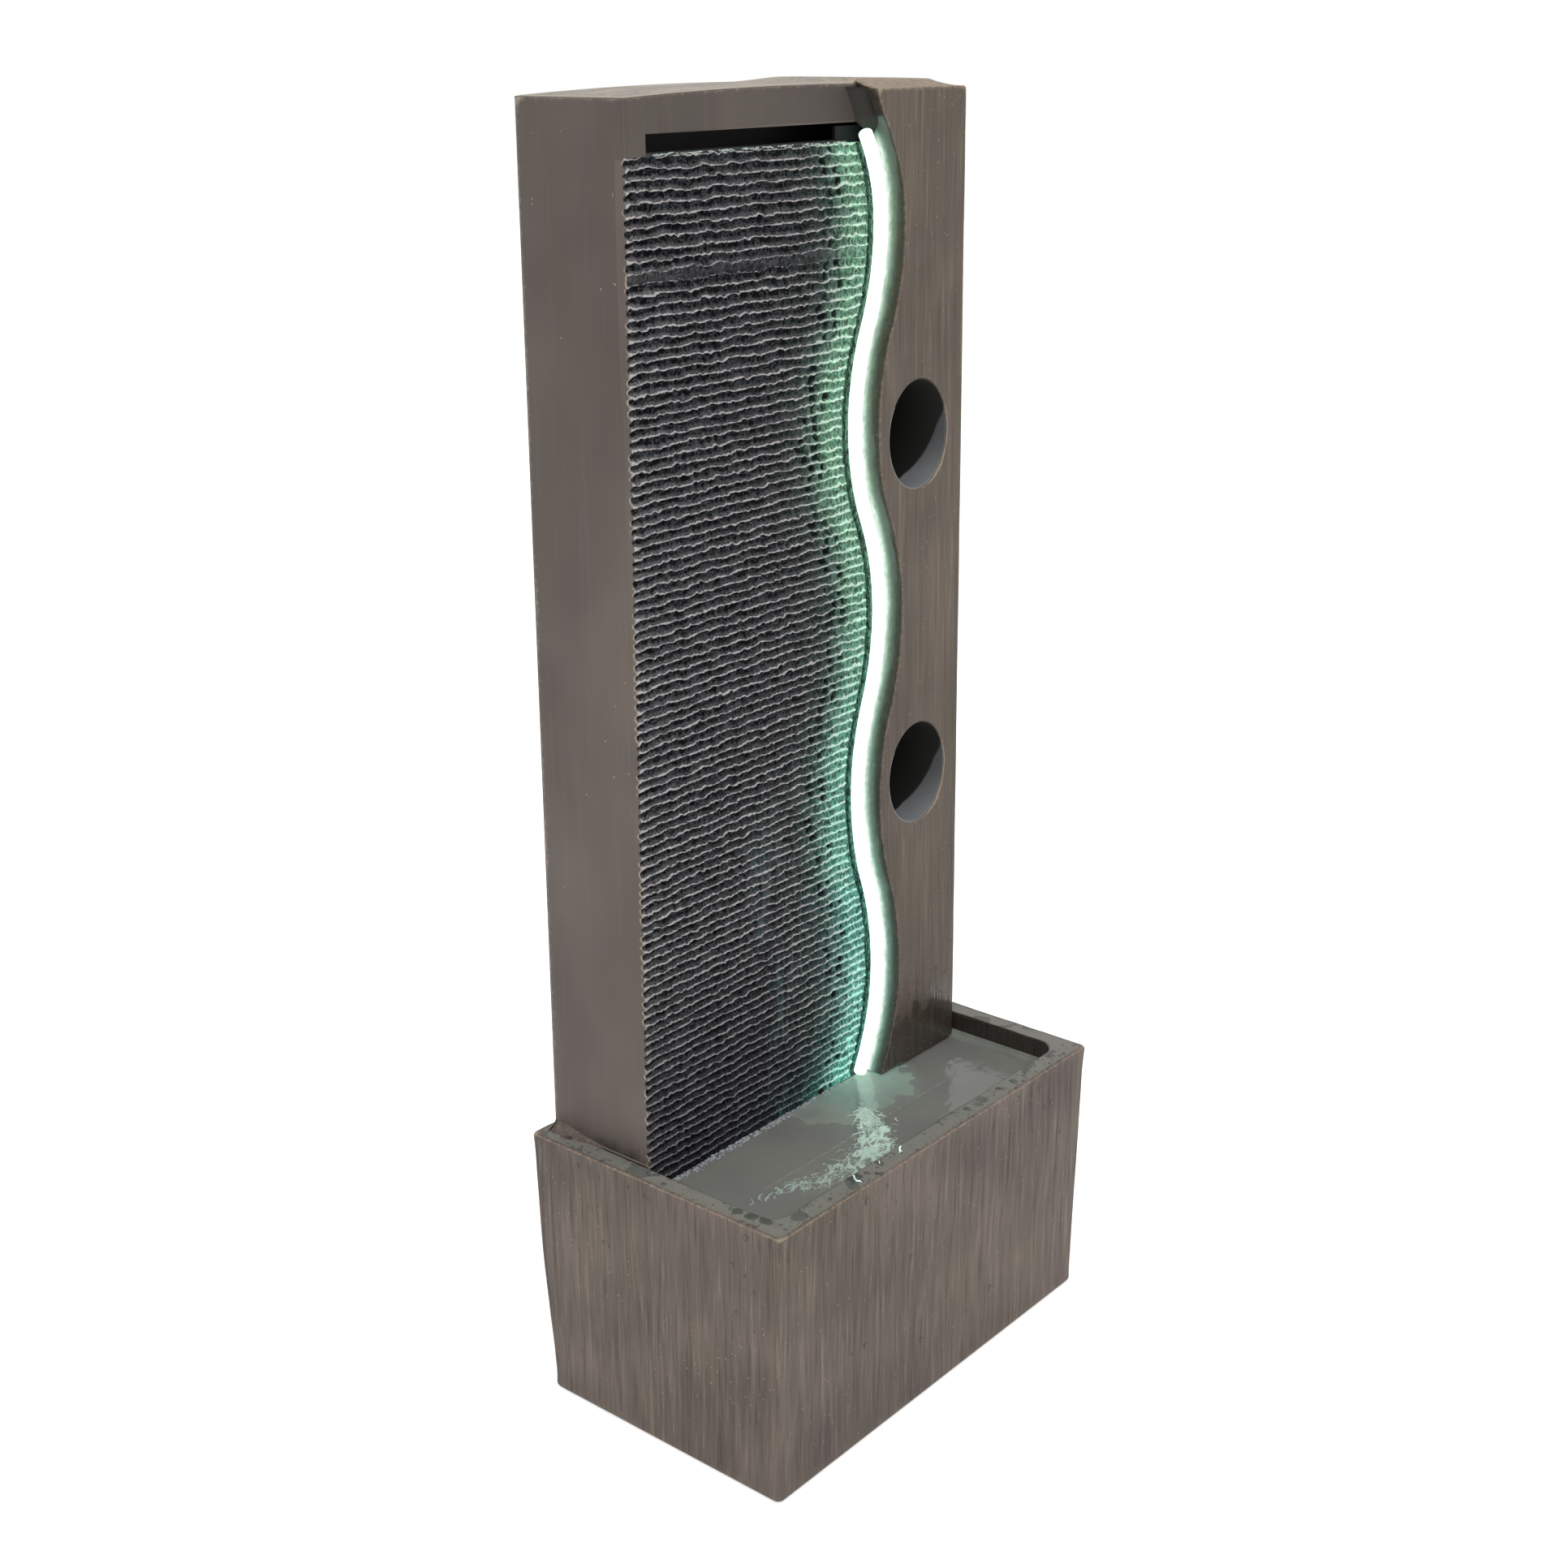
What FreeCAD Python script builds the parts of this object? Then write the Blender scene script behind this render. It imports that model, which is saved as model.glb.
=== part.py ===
import FreeCAD, Part
import math
import os

# A free-standing indoor and patio fountain, in millimetres.
# X runs left to right seen from the front, the front looks toward -Y, Z is up.
# The origin is the middle of the footprint, on the floor.

V = FreeCAD.Vector
X_AXIS = V(1, 0, 0)
Y_AXIS = V(0, 1, 0)
Z_AXIS = V(0, 0, 1)

# Clearances shared by all pieces
SEAT = 0.2          # gap under a piece that rests on another
SIDE_GAP = 0.3      # gap beside a piece that drops into a pocket
ROUND_GAP = 0.4     # radial gap round a plain round part
SCREW_FIT = 0.05    # radial gap round a thread
RUNNING_FIT = 0.05  # radial gap of a turning part on its shaft
TOUCH = 0.1         # gap under a screw head or a glued face

# Basin
BASIN_WIDTH = 404.0
BASIN_DEPTH = 249.0
RIM_Z = 229.0
FOOT_INSET_X = 2.5
FOOT_INSET_Y = 5.0
OUTER_CORNER = 4.0
FOOT_ROUND = 3.0
RIM_ROUND = 1.5
FLOOR_THICK = 12.0
SIDE_WALL = 14.0
END_WALL = 16.5
SIDE_RIM = 18.0
FRONT_RIM = 20.0
OPENING_CORNER = 16.0
LEDGE_DROP = 35.0
LEDGE_WIDTH = 8.0
LEDGE_THICK = 10.0
LEDGE_SLOPE = 14.0
HALF_WIDTH = BASIN_WIDTH / 2
HALF_DEPTH = BASIN_DEPTH / 2
RESERVOIR_HALF_X = HALF_WIDTH - SIDE_WALL
RESERVOIR_HALF_Y = HALF_DEPTH - END_WALL
OPENING_HALF_X = HALF_WIDTH - SIDE_RIM
OPENING_FRONT_Y = FRONT_RIM - HALF_DEPTH
LEDGE_Z = RIM_Z - LEDGE_DROP

# Catch tray
TRAY_SIDE = 1.5
TRAY_COVE = 7.0
TRAY_HEIGHT = 19.0
TRAY_FRONT_THICK = 9.5
TRAY_BACK_THICK = 14.0
DRAIN_FROM_SIDE = 51.0
DRAIN_FROM_FRONT = 29.5
DRAIN_R = 8.0
TRAY_TOP_Z = LEDGE_Z + TRAY_HEIGHT
POOL_FRONT_Z = LEDGE_Z + TRAY_FRONT_THICK
POOL_BACK_Z = LEDGE_Z + TRAY_BACK_THICK
DRAIN_X = OPENING_HALF_X - DRAIN_FROM_SIDE
DRAIN_Y = OPENING_FRONT_Y + DRAIN_FROM_FRONT

# Tower
TOWER_TOP_Z = 1000.0
TOWER_SIDE_GAP = 1.7    # between the tower's foot and the basin's opening
TOWER_NARROWING = 7.1   # how far each side leans in by the top
TOWER_BACK_INSET = 2.5
TOWER_DEPTH = 100.5
CROWN = 4.0
PLANK_THICK = 21.0
PANEL_THICK = 10.0
TOWER_WALL = 8.0
BACK_WALL = 10.0
ROOF_THICK = 15.0
SILL_HEIGHT = 13.0
SILL_DEPTH = 20.5
TOWER_FOOT_Z = LEDGE_Z + SEAT
TOWER_HALF_FOOT = OPENING_HALF_X - TOWER_SIDE_GAP
TOWER_HALF_TOP = TOWER_HALF_FOOT - TOWER_NARROWING
TOWER_BACK_Y = HALF_DEPTH - TOWER_BACK_INSET
PANEL_Y = TOWER_BACK_Y - TOWER_DEPTH
PANEL_BACK_Y = PANEL_Y + PANEL_THICK
PLANK_Y = PANEL_Y - PLANK_THICK
SILL_Z = LEDGE_Z + SILL_HEIGHT

# Spill slot
HEADER_HEIGHT = 23.0
SLOT_HEIGHT = 14.0
SLOT_MARGIN = 18.3
SLOT_Z1 = TOWER_TOP_Z - HEADER_HEIGHT
SLOT_Z0 = SLOT_Z1 - SLOT_HEIGHT
SLOT_LEFT_X = SLOT_MARGIN - TOWER_HALF_TOP
PANEL_HEIGHT = SLOT_Z0 - SILL_Z

# Cascade panel flutes
FLUTE_PITCH = 7.35
FLUTE_R = 3.3
FLUTE_DROP = 4.4    # from the slot down to the middle of the first flute
PLAIN_FLUTE = 10    # this one was left out, so a flat band shows there

# Light wave: where the glowing tube turns, as (distance in from the tower's side at its top,
# share of the panel's height). The first and last turn lie past the ends of the tube.
WAVE_TURNS = (
    (123.2, 1.102),
    (81.2, 0.921),
    (111.2, 0.725),
    (79.7, 0.528),
    (106.2, 0.333),
    (78.7, 0.123),
    (115.2, -0.094),
)
LED_R = 5.3
LED_OVERLAP = 5.5           # the tube runs this far past the panel's top
LED_FOOT_GAP = 5.5          # and ends this far above the tray
LED_CAP_R = 5.5
LED_CAP_LENGTH = 3.5
RIB_END = -10.0             # flutes stop this far left of the tube's middle
PLANK_EDGE = 5.9            # the plank starts this far right of it
PANEL_END = 11.0            # the panel ends this far right of it, under the plank
LED_LEAD_RISE = 18.0
LEAD_R = 3.0
LED_LEAD_R = 2.5
LED_LEAD_BEND = 18.0
PUMP_LEAD_BEND = 30.0
SUPPLY_LEAD_BEND = 20.0
LED_TOP_Z = SLOT_Z0 + LED_OVERLAP
LED_FOOT_Z = POOL_BACK_Z + LED_FOOT_GAP
LED_LEAD_Z = POOL_BACK_Z + LED_LEAD_RISE
LED_Y = PANEL_Y + FLUTE_R - SEAT - LED_R

# Port holes in the plank, as (distance in from the tower's side at its top, share of the
# panel's height)
PORT_PLACES = ((55.2, 0.711), (51.1, 0.344))
PORT_HALF_X = 37.0
PORT_HALF_Z = 42.8
LINER_WALL = 2.2
LINER_SETBACK = 2.0
LINER_DEPTH = 75.5
LINER_FLANGE = 3.0
LINER_FLANGE_THICK = 2.8
PORTS = tuple((TOWER_HALF_TOP - reach, SILL_Z + share * PANEL_HEIGHT) for reach, share in PORT_PLACES)
LINER_FRONT_Y = PLANK_Y + LINER_SETBACK
LINER_BACK_Y = LINER_FRONT_Y + LINER_DEPTH

# Back panel and door
BACK_MARGIN_X = 25.2
BACK_MARGIN_TOP = 25.0
BACK_MARGIN_FOOT = 21.0
PANEL_LAP = 8.0
BACK_PLATE = 3.0
DOOR_WIDTH = 180.0
DOOR_HEIGHT = 150.0
DOOR_RISE = 12.0
DOOR_FLANGE = 8.0
DOOR_FRAME_THICK = 4.0
DOOR_CORNER = 1.0
SEAL_THICK = 1.5
SEAL_INSET = 1.0
DOOR_NOTCH_R = 11.0
BACK_OPEN_HALF_X = TOWER_HALF_TOP - BACK_MARGIN_X
BACK_OPEN_Z0 = RIM_Z + BACK_MARGIN_FOOT
BACK_OPEN_Z1 = TOWER_TOP_Z - BACK_MARGIN_TOP
DOOR_HALF_X = DOOR_WIDTH / 2
DOOR_Z0 = BACK_OPEN_Z0 + DOOR_RISE
DOOR_Z1 = DOOR_Z0 + DOOR_HEIGHT
PLATE_Y = TOWER_BACK_Y - BACK_PLATE

# Screws
SCREW_R = 1.7
SCREW_HEAD_R = 3.4
SCREW_HEAD = 2.0
BACK_SCREW_LENGTH = 9.0
BACK_SCREW_SHARES = (0.05, 0.35, 0.65, 0.95)
PLANK_SCREW_LENGTH = 22.0
PLANK_SCREW_DEPTH = 13.0
PLANK_SCREW_FROM_SIDE = (47.2, 15.2)
PLANK_SCREW_SHARES = (0.07, 0.52, 0.89)
DRIVER_SCREW_LENGTH = 8.0
BOLT_R = 2.5
BOLT_HEAD_R = 4.5
BOLT_HEAD = 3.5
BOLT_LENGTH = 18.0
BOLT_BORE = 12.0
TOWER_BOLT_FROM_BACK = (62.0, 27.0)
TOWER_BOLT_RISE = 21.0
TOWER_BOLT_Y = tuple(TOWER_BACK_Y - reach for reach in TOWER_BOLT_FROM_BACK)
TOWER_BOLT_Z = LEDGE_Z + TOWER_BOLT_RISE

# Spill trough and its feed
TROUGH_SIDE_GAP = 2.2
TROUGH_SETBACK = 12.5
TROUGH_DEPTH = 46.0
TROUGH_HEIGHT = 44.0
TROUGH_DROP = 3.0
TROUGH_WALL = 2.5
LIP_THICK = 1.5
LIP_INSET = 1.0
CLEAT_LENGTH = 12.0
CLEAT_HEIGHT = 10.0
FEED_X = -40.0
FEED_SETBACK = 35.5
FEED_R = 6.0
FEED_BORE = 4.0
BAR_R = 6.0
BAR_WALL = 1.5
BAR_FROM_LEFT = 25.0
BAR_FROM_RIGHT = 90.0
BAR_RISE = 20.0
BAR_HOLE_R = 1.5
BAR_HOLE_STEP = 15.0
TEE_HALF = 10.0
BARB_DROP = 26.0
FEED_NUT_R = 10.0
FEED_NUT_THICK = 4.0
TROUGH_HALF_X = TOWER_HALF_TOP - TOWER_WALL - TROUGH_SIDE_GAP
TROUGH_Y0 = PANEL_Y + TROUGH_SETBACK
TROUGH_Y1 = TROUGH_Y0 + TROUGH_DEPTH
TROUGH_Z1 = SLOT_Z1 - TROUGH_DROP
TROUGH_Z0 = TROUGH_Z1 - TROUGH_HEIGHT
FEED_Y = PANEL_Y + FEED_SETBACK
BAR_X0 = BAR_FROM_LEFT - TROUGH_HALF_X
BAR_X1 = TROUGH_HALF_X - BAR_FROM_RIGHT
BAR_Z = TROUGH_Z0 + BAR_RISE

# Pump
PUMP_X = -90.0
PUMP_FOOT = 6.0
PUMP_WIDTH = 60.0
PUMP_SETBACK = 11.5
PUMP_DEPTH = 48.0
PUMP_HEIGHT = 50.0
PUMP_ROUND = 4.0
CHAMBER_R = 20.0
CHAMBER_DEPTH = 12.0
DUCT_HALF = 4.0
ROTOR_R = 8.0
ROTOR_GAP = 0.8
ROTOR_END_GAP = 11.0
VANE_R = 17.0
VANE_THICK = 1.6
VANE_COUNT = 6
VANE_GAP = 2.0
HUB_R = 4.0
SHAFT_R = 1.5
SHAFT_AHEAD = 8.0
SHAFT_END_GAP = 7.0
COVER_DEPTH = 14.0
COVER_WALL = 2.5
COVER_SLOT = 2.5
COVER_SLOT_STEP = 6.0
COVER_SLOT_MARGIN = 8.0
NOZZLE_BASE_R = 9.0
NOZZLE_BASE = 8.0
NOZZLE_SPIGOT_R = 6.0
NOZZLE_SPIGOT = 4.0
NOZZLE_LENGTH = 44.0
DIAL_R = 9.0
DIAL_THICK = 5.0
DIAL_GRIP = 3.0
DIAL_STEM_R = 2.5
DIAL_STEM = 6.0
FOOT_FROM_EDGE = 9.0
FOOT_WIDE_R = 7.0
FOOT_NARROW_R = 4.0
PUMP_Y0 = PANEL_Y + PUMP_SETBACK
PUMP_Y1 = PUMP_Y0 + PUMP_DEPTH
PUMP_Z0 = FLOOR_THICK + PUMP_FOOT
PUMP_Z1 = PUMP_Z0 + PUMP_HEIGHT
PUMP_AXIS_Z = PUMP_Z0 + PUMP_HEIGHT / 2
ROTOR_END_Y = PUMP_Y1 - ROTOR_END_GAP
SHAFT_Y0 = PUMP_Y0 - SHAFT_AHEAD
SHAFT_Y1 = PUMP_Y1 - SHAFT_END_GAP
NOZZLE_TOP_Z = PUMP_Z1 + NOZZLE_LENGTH

# Riser hose
HOSE_R = 8.0
HOSE_BORE = 6.05
HOSE_BEND = 70.0
HOSE_PUSH_ON = 24.0
HOSE_TOP_GAP = 2.0
HOSE_TURN_SHARES = (0.15, 0.295)
CLAMP_WIDTH = 8.0
CLAMP_THICK = 1.2
CLAMP_INSET = 6.0
CLAMP_EAR = 5.0
CLAMP_EAR_HALF = 3.0

# Light driver
DRIVER_FRONT_GAP = 10.5
DRIVER_BACK_GAP = 4.0
DRIVER_SHARE = 0.414
DRIVER_HEIGHT = 90.0
DRIVER_THICK = 30.0
DRIVER_ROUND = 3.0
DRIVER_EAR = 12.0
DRIVER_EAR_THICK = 4.0
DRIVER_EAR_HALF = 10.0
ENTRY_R = 6.0
ENTRY_DROP = 8.0
ENTRY_DEPTH = 3.0
ENTRY_STEP = 20.0
ENTRY_FROM_WALL = 21.1
LEAD_PUSH_IN = 2.0
PUMP_LEAD_ASIDE = 40.0
PUMP_LEAD_TURN = 90.0
LEAD_RUN_DROP = 50.0
SUPPLY_TURN_LOW = 100.0
SUPPLY_TURN_HIGH = 60.0
DRIVER_Y0 = PANEL_BACK_Y + DRIVER_FRONT_GAP
DRIVER_Y1 = TOWER_BACK_Y - BACK_WALL - DRIVER_BACK_GAP
DRIVER_Y = (DRIVER_Y0 + DRIVER_Y1) / 2
DRIVER_Z0 = SILL_Z + DRIVER_SHARE * PANEL_HEIGHT

# Cable inlet in the back panel
GLAND_FROM_SIDE = 40.2
GLAND_RISE = 68.0
GLAND_R = 7.9
GLAND_FLANGE_R = 12.0
GLAND_FLANGE = 2.0
GLAND_LENGTH = 14.0
GLAND_NUT_R = 11.5
GLAND_NUT_THICK = 4.0
GLAND_X = GLAND_FROM_SIDE - TOWER_HALF_TOP
GLAND_Z = DOOR_Z0 + GLAND_RISE

# Drain bung
BUNG_FROM_SIDE = 82.0
BUNG_Z = 30.0
BUNG_R = 9.0
BUNG_REACH = 2.0
BUNG_HEAD_R = 14.0
BUNG_HEAD = 3.0
BUNG_POCKET = 4.0
BUNG_POCKET_GAP = 1.0
BUNG_GRIP_HALF = 1.5
BUNG_GRIP_DEPTH = 1.5
BUNG_X = HALF_WIDTH - BUNG_FROM_SIDE

PAST = 1.0          # how far a cutting shape runs past the faces it cuts


# Plain helpers

def block(x0, x1, y0, y1, z0, z1):
    """A box given by its two corners."""
    return Part.makeBox(x1 - x0, y1 - y0, z1 - z0, V(x0, y0, z0))


def rod(radius, start, length, direction):
    """A round bar from start along direction."""
    return Part.makeCylinder(radius, length, start, direction)


def tube(outer, inner, start, length, direction):
    """A round tube from start along direction."""
    return rod(outer, start, length, direction).cut(rod(inner, start, length, direction))


def prism(points, direction):
    """A straight-sided solid from a closed polygon swept along a vector."""
    wire = Part.makePolygon(points + [points[0]])
    return Part.Face(wire).extrude(direction)


def join(shapes):
    """All shapes as one solid, without inner seams."""
    return shapes[0].fuse(shapes[1:]).removeSplitter()


def group(shapes):
    """Separate solids kept together as one piece name."""
    return Part.makeCompound(shapes)


def oval(half_x, half_z, x, z, y0, y1):
    """An upright oval plug along Y."""
    if half_z > half_x:
        curve = Part.Ellipse(V(0, 0, 0), half_z, half_x)
        turn = FreeCAD.Rotation(V(0, 0, 1), V(1, 0, 0), V(0, -1, 0), "ZXY")
    else:
        curve = Part.Ellipse(V(0, 0, 0), half_x, half_z)
        turn = FreeCAD.Rotation(V(1, 0, 0), V(0, 0, 1), V(0, -1, 0), "ZXY")
    wire = Part.Wire(curve.toShape())
    face = Part.Face(wire)
    face.Placement = FreeCAD.Placement(V(x, y0, z), turn)
    return face.extrude(V(0, y1 - y0, 0))


def edges_along(shape, direction, keep):
    """Straight edges parallel to a direction whose middle passes the keep test."""
    found = []
    for edge in shape.Edges:
        if not isinstance(edge.Curve, Part.Line):
            continue
        along = abs(edge.Curve.Direction.dot(direction)) > 0.99
        if along and keep(edge.CenterOfMass):
            found.append(edge)
    return found


def bent_rod(radius, points, bend):
    """A round bar along straight runs, each corner eased by an arc of the given radius."""
    edges = []
    start = points[0]
    for before, corner, after in zip(points, points[1:], points[2:]):
        into = (corner - before).normalize()
        out = (after - corner).normalize()
        turn = into.getAngle(out)
        reach = bend * math.tan(turn / 2)
        first = corner - into * reach
        last = corner + out * reach
        bisector = (out - into).normalize()
        centre = corner + bisector * (bend / math.cos(turn / 2))
        middle = centre - bisector * bend
        edges.append(Part.makeLine(start, first))
        edges.append(Part.Arc(first, middle, last).toShape())
        start = last
    edges.append(Part.makeLine(start, points[-1]))
    path = Part.Wire(edges)
    heading = (points[1] - points[0]).normalize()
    ring = Part.Wire(Part.makeCircle(radius, points[0], heading))
    return path.makePipeShell([ring], True, True)


# Light wave

def wave_turns():
    """The wave's turns as (x, z)."""
    return [(TOWER_HALF_TOP - aside, SILL_Z + share * PANEL_HEIGHT) for aside, share in WAVE_TURNS]


def wave_arcs(offset):
    """The arcs of the light wave, moved right by offset: (centre x, centre z, radius, side, z top, z foot).

    Between two turns the curve is two equal arcs that meet halfway, so a parallel
    curve is the same arcs with a larger or smaller radius.
    """
    arcs = []
    turns = wave_turns()
    for (xa, za), (xb, zb) in zip(turns, turns[1:]):
        side = 1.0 if xb > xa else -1.0
        radius = ((xb - xa) ** 2 + (zb - za) ** 2) / (4.0 * abs(xb - xa))
        half = (za - zb) / 2.0
        first = radius - side * offset
        second = radius + side * offset
        meet = za - half * first / radius
        arcs.append((xa + side * radius, za, first, -side, za, meet))
        arcs.append((xb - side * radius, zb, second, side, meet, zb))
    return arcs


def arc_x(arc, z):
    """Where an arc of the wave crosses height z."""
    centre_x, centre_z, radius, side = arc[:4]
    return centre_x + side * math.sqrt(radius ** 2 - (z - centre_z) ** 2)


def wave_x(z, offset):
    """The wave's x at height z."""
    arcs = wave_arcs(offset)
    holding = [arc for arc in arcs if arc[5] <= z]
    return arc_x(holding[0], z)


def wave_edges(offset, y, z_top, z_foot):
    """The wave between two heights, as arcs in the plane y."""
    edges = []
    for arc in wave_arcs(offset):
        high = min(arc[4], z_top)
        low = max(arc[5], z_foot)
        if high - low < 0.01:
            continue
        middle = (high + low) / 2.0
        points = [V(arc_x(arc, z), y, z) for z in (high, middle, low)]
        edges.append(Part.Arc(*points).toShape())
    return edges


def right_of_wave(offset, y0, y1):
    """Everything right of the wave, between two depths."""
    far = HALF_WIDTH + SIDE_RIM
    turns = wave_turns()
    z_top = turns[0][1]
    z_foot = turns[-1][1]
    edges = wave_edges(offset, y0, z_top, z_foot)
    top = edges[0].Vertexes[0].Point
    foot = edges[-1].Vertexes[-1].Point
    corners = [foot, V(far, y0, z_foot), V(far, y0, z_top), top]
    for a, b in zip(corners, corners[1:]):
        edges.append(Part.makeLine(a, b))
    return Part.Face(Part.Wire(edges)).extrude(V(0, y1 - y0, 0))


# Tower outline

def tower_half(z):
    """Half the tower's width at a height; it narrows slightly upward."""
    slope = TOWER_NARROWING / (TOWER_TOP_Z - TOWER_FOOT_Z)
    return TOWER_HALF_FOOT - slope * (z - TOWER_FOOT_Z)


def tower_block(inset, y0, y1, z0, z1):
    """A slice of the tower's tapered body with its sides moved in by inset."""
    low = tower_half(z0) - inset
    high = tower_half(z1) - inset
    points = [V(-low, y0, z0), V(low, y0, z0), V(high, y0, z1), V(-high, y0, z1)]
    return prism(points, V(0, y1 - y0, 0))


def crowned_block(y0, y1, z0):
    """The tower's body up to its slightly crowned top."""
    low = tower_half(z0)
    high = tower_half(TOWER_TOP_Z)
    foot_left = V(-low, y0, z0)
    foot_right = V(low, y0, z0)
    top_right = V(high, y0, TOWER_TOP_Z)
    top_left = V(-high, y0, TOWER_TOP_Z)
    crown = V(0, y0, TOWER_TOP_Z + CROWN)
    edges = [
        Part.makeLine(foot_left, foot_right),
        Part.makeLine(foot_right, top_right),
        Part.Arc(top_right, crown, top_left).toShape(),
        Part.makeLine(top_left, foot_left),
    ]
    return Part.Face(Part.Wire(edges)).extrude(V(0, y1 - y0, 0))


# Basin

def basin_shell():
    """The outer basin: tapered walls, broad rim and drain bore."""
    foot_x = HALF_WIDTH - FOOT_INSET_X
    foot_y = HALF_DEPTH - FOOT_INSET_Y
    body = Part.makeWedge(
        -foot_x, 0, -foot_y, -HALF_DEPTH, -HALF_WIDTH,
        foot_x, RIM_Z, foot_y, HALF_DEPTH, HALF_WIDTH,
    )
    body.rotate(V(0, 0, 0), X_AXIS, 90)
    corners = [edge for edge in body.Edges if edge.BoundBox.ZLength > RIM_Z / 2]
    body = body.makeFillet(OUTER_CORNER, corners)
    foot = [edge for edge in body.Edges if edge.BoundBox.ZMax < 0.1]
    body = body.makeFillet(FOOT_ROUND, foot)
    rim = [edge for edge in body.Edges if edge.BoundBox.ZMin > RIM_Z - 0.1]
    body = body.makeFillet(RIM_ROUND, rim)
    opening = block(-OPENING_HALF_X, OPENING_HALF_X, OPENING_FRONT_Y, RESERVOIR_HALF_Y, LEDGE_Z, RIM_Z + PAST)
    front = edges_along(opening, Z_AXIS, lambda p: p.y < 0)
    opening = opening.makeFillet(OPENING_CORNER, front)
    tank = block(
        -RESERVOIR_HALF_X, RESERVOIR_HALF_X, -RESERVOIR_HALF_Y, RESERVOIR_HALF_Y, FLOOR_THICK, LEDGE_Z)
    shell = body.cut([opening, tank])
    bore = rod(BUNG_R + SIDE_GAP, V(BUNG_X, RESERVOIR_HALF_Y - PAST, BUNG_Z), END_WALL + 2 * PAST, Y_AXIS)
    pocket = rod(BUNG_HEAD_R + BUNG_POCKET_GAP, V(BUNG_X, bung_seat_y(), BUNG_Z), END_WALL, Y_AXIS)
    shell = shell.cut([bore, pocket])
    bolts = [bolt_bore(side, y) for side in (-1, 1) for y in TOWER_BOLT_Y]
    return shell.cut(bolts).removeSplitter()


def tray_ledge():
    """The four bars bonded inside the basin's walls that carry the tray and the tower."""
    inner_x = OPENING_HALF_X - LEDGE_WIDTH
    inner_front = OPENING_FRONT_Y + LEDGE_WIDTH
    inner_back = RESERVOIR_HALF_Y - LEDGE_WIDTH
    wide = V(2 * RESERVOIR_HALF_X, 0, 0)
    deep = V(0, inner_back - inner_front, 0)
    left = -RESERVOIR_HALF_X
    return group([
        prism([V(left, y, z) for y, z in ledge_outline(-RESERVOIR_HALF_Y, inner_front)], wide),
        prism([V(left, y, z) for y, z in ledge_outline(RESERVOIR_HALF_Y, inner_back)], wide),
        prism([V(x, inner_front, z) for x, z in ledge_outline(left, -inner_x)], deep),
        prism([V(x, inner_front, z) for x, z in ledge_outline(RESERVOIR_HALF_X, inner_x)], deep),
    ])


def ledge_outline(wall, inner):
    """A ledge bar's outline from the wall inward: flat on top, sloped underneath."""
    flat_z = LEDGE_Z - LEDGE_THICK
    return [(wall, LEDGE_Z), (inner, LEDGE_Z), (inner, flat_z), (wall, flat_z - LEDGE_SLOPE)]


def bung_seat_y():
    """Depth of the pocket that takes the drain bung's head."""
    lean = FOOT_INSET_Y * BUNG_Z / RIM_Z
    return HALF_DEPTH - FOOT_INSET_Y + lean - BUNG_POCKET


def drain_bung():
    """The rubber bung that closes the reservoir's drain."""
    seat = bung_seat_y() + SEAT
    inner = RESERVOIR_HALF_Y - BUNG_REACH
    shank = rod(BUNG_R, V(BUNG_X, inner, BUNG_Z), seat - inner, Y_AXIS)
    head = rod(BUNG_HEAD_R, V(BUNG_X, seat, BUNG_Z), BUNG_HEAD, Y_AXIS)
    outer = seat + BUNG_HEAD
    groove = block(
        BUNG_X - BUNG_HEAD_R, BUNG_X + BUNG_HEAD_R, outer - BUNG_GRIP_DEPTH, outer + PAST,
        BUNG_Z - BUNG_GRIP_HALF, BUNG_Z + BUNG_GRIP_HALF)
    return join([shank, head]).cut(groove)


# Catch tray

def catch_tray():
    """The shallow tray the water lands in, with coved edges and a drain hole."""
    half = OPENING_HALF_X - SIDE_GAP
    front = OPENING_FRONT_Y + SIDE_GAP
    back = PANEL_Y - SIDE_GAP
    bottom = LEDGE_Z + SEAT
    body = block(-half, half, front, back, bottom, TRAY_TOP_Z)
    outer = edges_along(body, Z_AXIS, lambda p: p.y < 0)
    body = body.makeFillet(OPENING_CORNER - SIDE_GAP, outer)
    pool_x = half - TRAY_SIDE
    pool_front = front + TRAY_SIDE
    pool = prism([
        V(-pool_x, pool_front, POOL_FRONT_Z),
        V(-pool_x, back, POOL_BACK_Z),
        V(-pool_x, back + TRAY_HEIGHT, POOL_BACK_Z),
        V(-pool_x, back + TRAY_HEIGHT, TRAY_TOP_Z + TRAY_HEIGHT),
        V(-pool_x, pool_front, TRAY_TOP_Z + TRAY_HEIGHT),
    ], V(2 * pool_x, 0, 0))
    posts = edges_along(pool, Z_AXIS, lambda p: p.y < 0)
    pool = pool.makeFillet(OPENING_CORNER - SIDE_GAP - TRAY_SIDE, posts)
    low = [edge for edge in pool.Edges if edge.BoundBox.ZMax < POOL_BACK_Z + TOUCH]
    pool = pool.makeFillet(TRAY_COVE, [edge for edge in low if edge.BoundBox.YMin < back])
    plank_seat = block(0, half + PAST, PLANK_Y - PAST, back + PAST, POOL_BACK_Z, TRAY_TOP_Z + PAST)
    drain = rod(DRAIN_R, V(DRAIN_X, DRAIN_Y, bottom - PAST), TRAY_HEIGHT, Z_AXIS)
    return body.cut([pool, plank_seat, drain]).removeSplitter()


# Tower

def bolt_bore(side, y):
    """The thread bore of one tower bolt in the basin's rim."""
    start = V(side * (OPENING_HALF_X - PAST), y, TOWER_BOLT_Z)
    return rod(BOLT_R + SCREW_FIT, start, BOLT_BORE, V(side, 0, 0))


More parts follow.
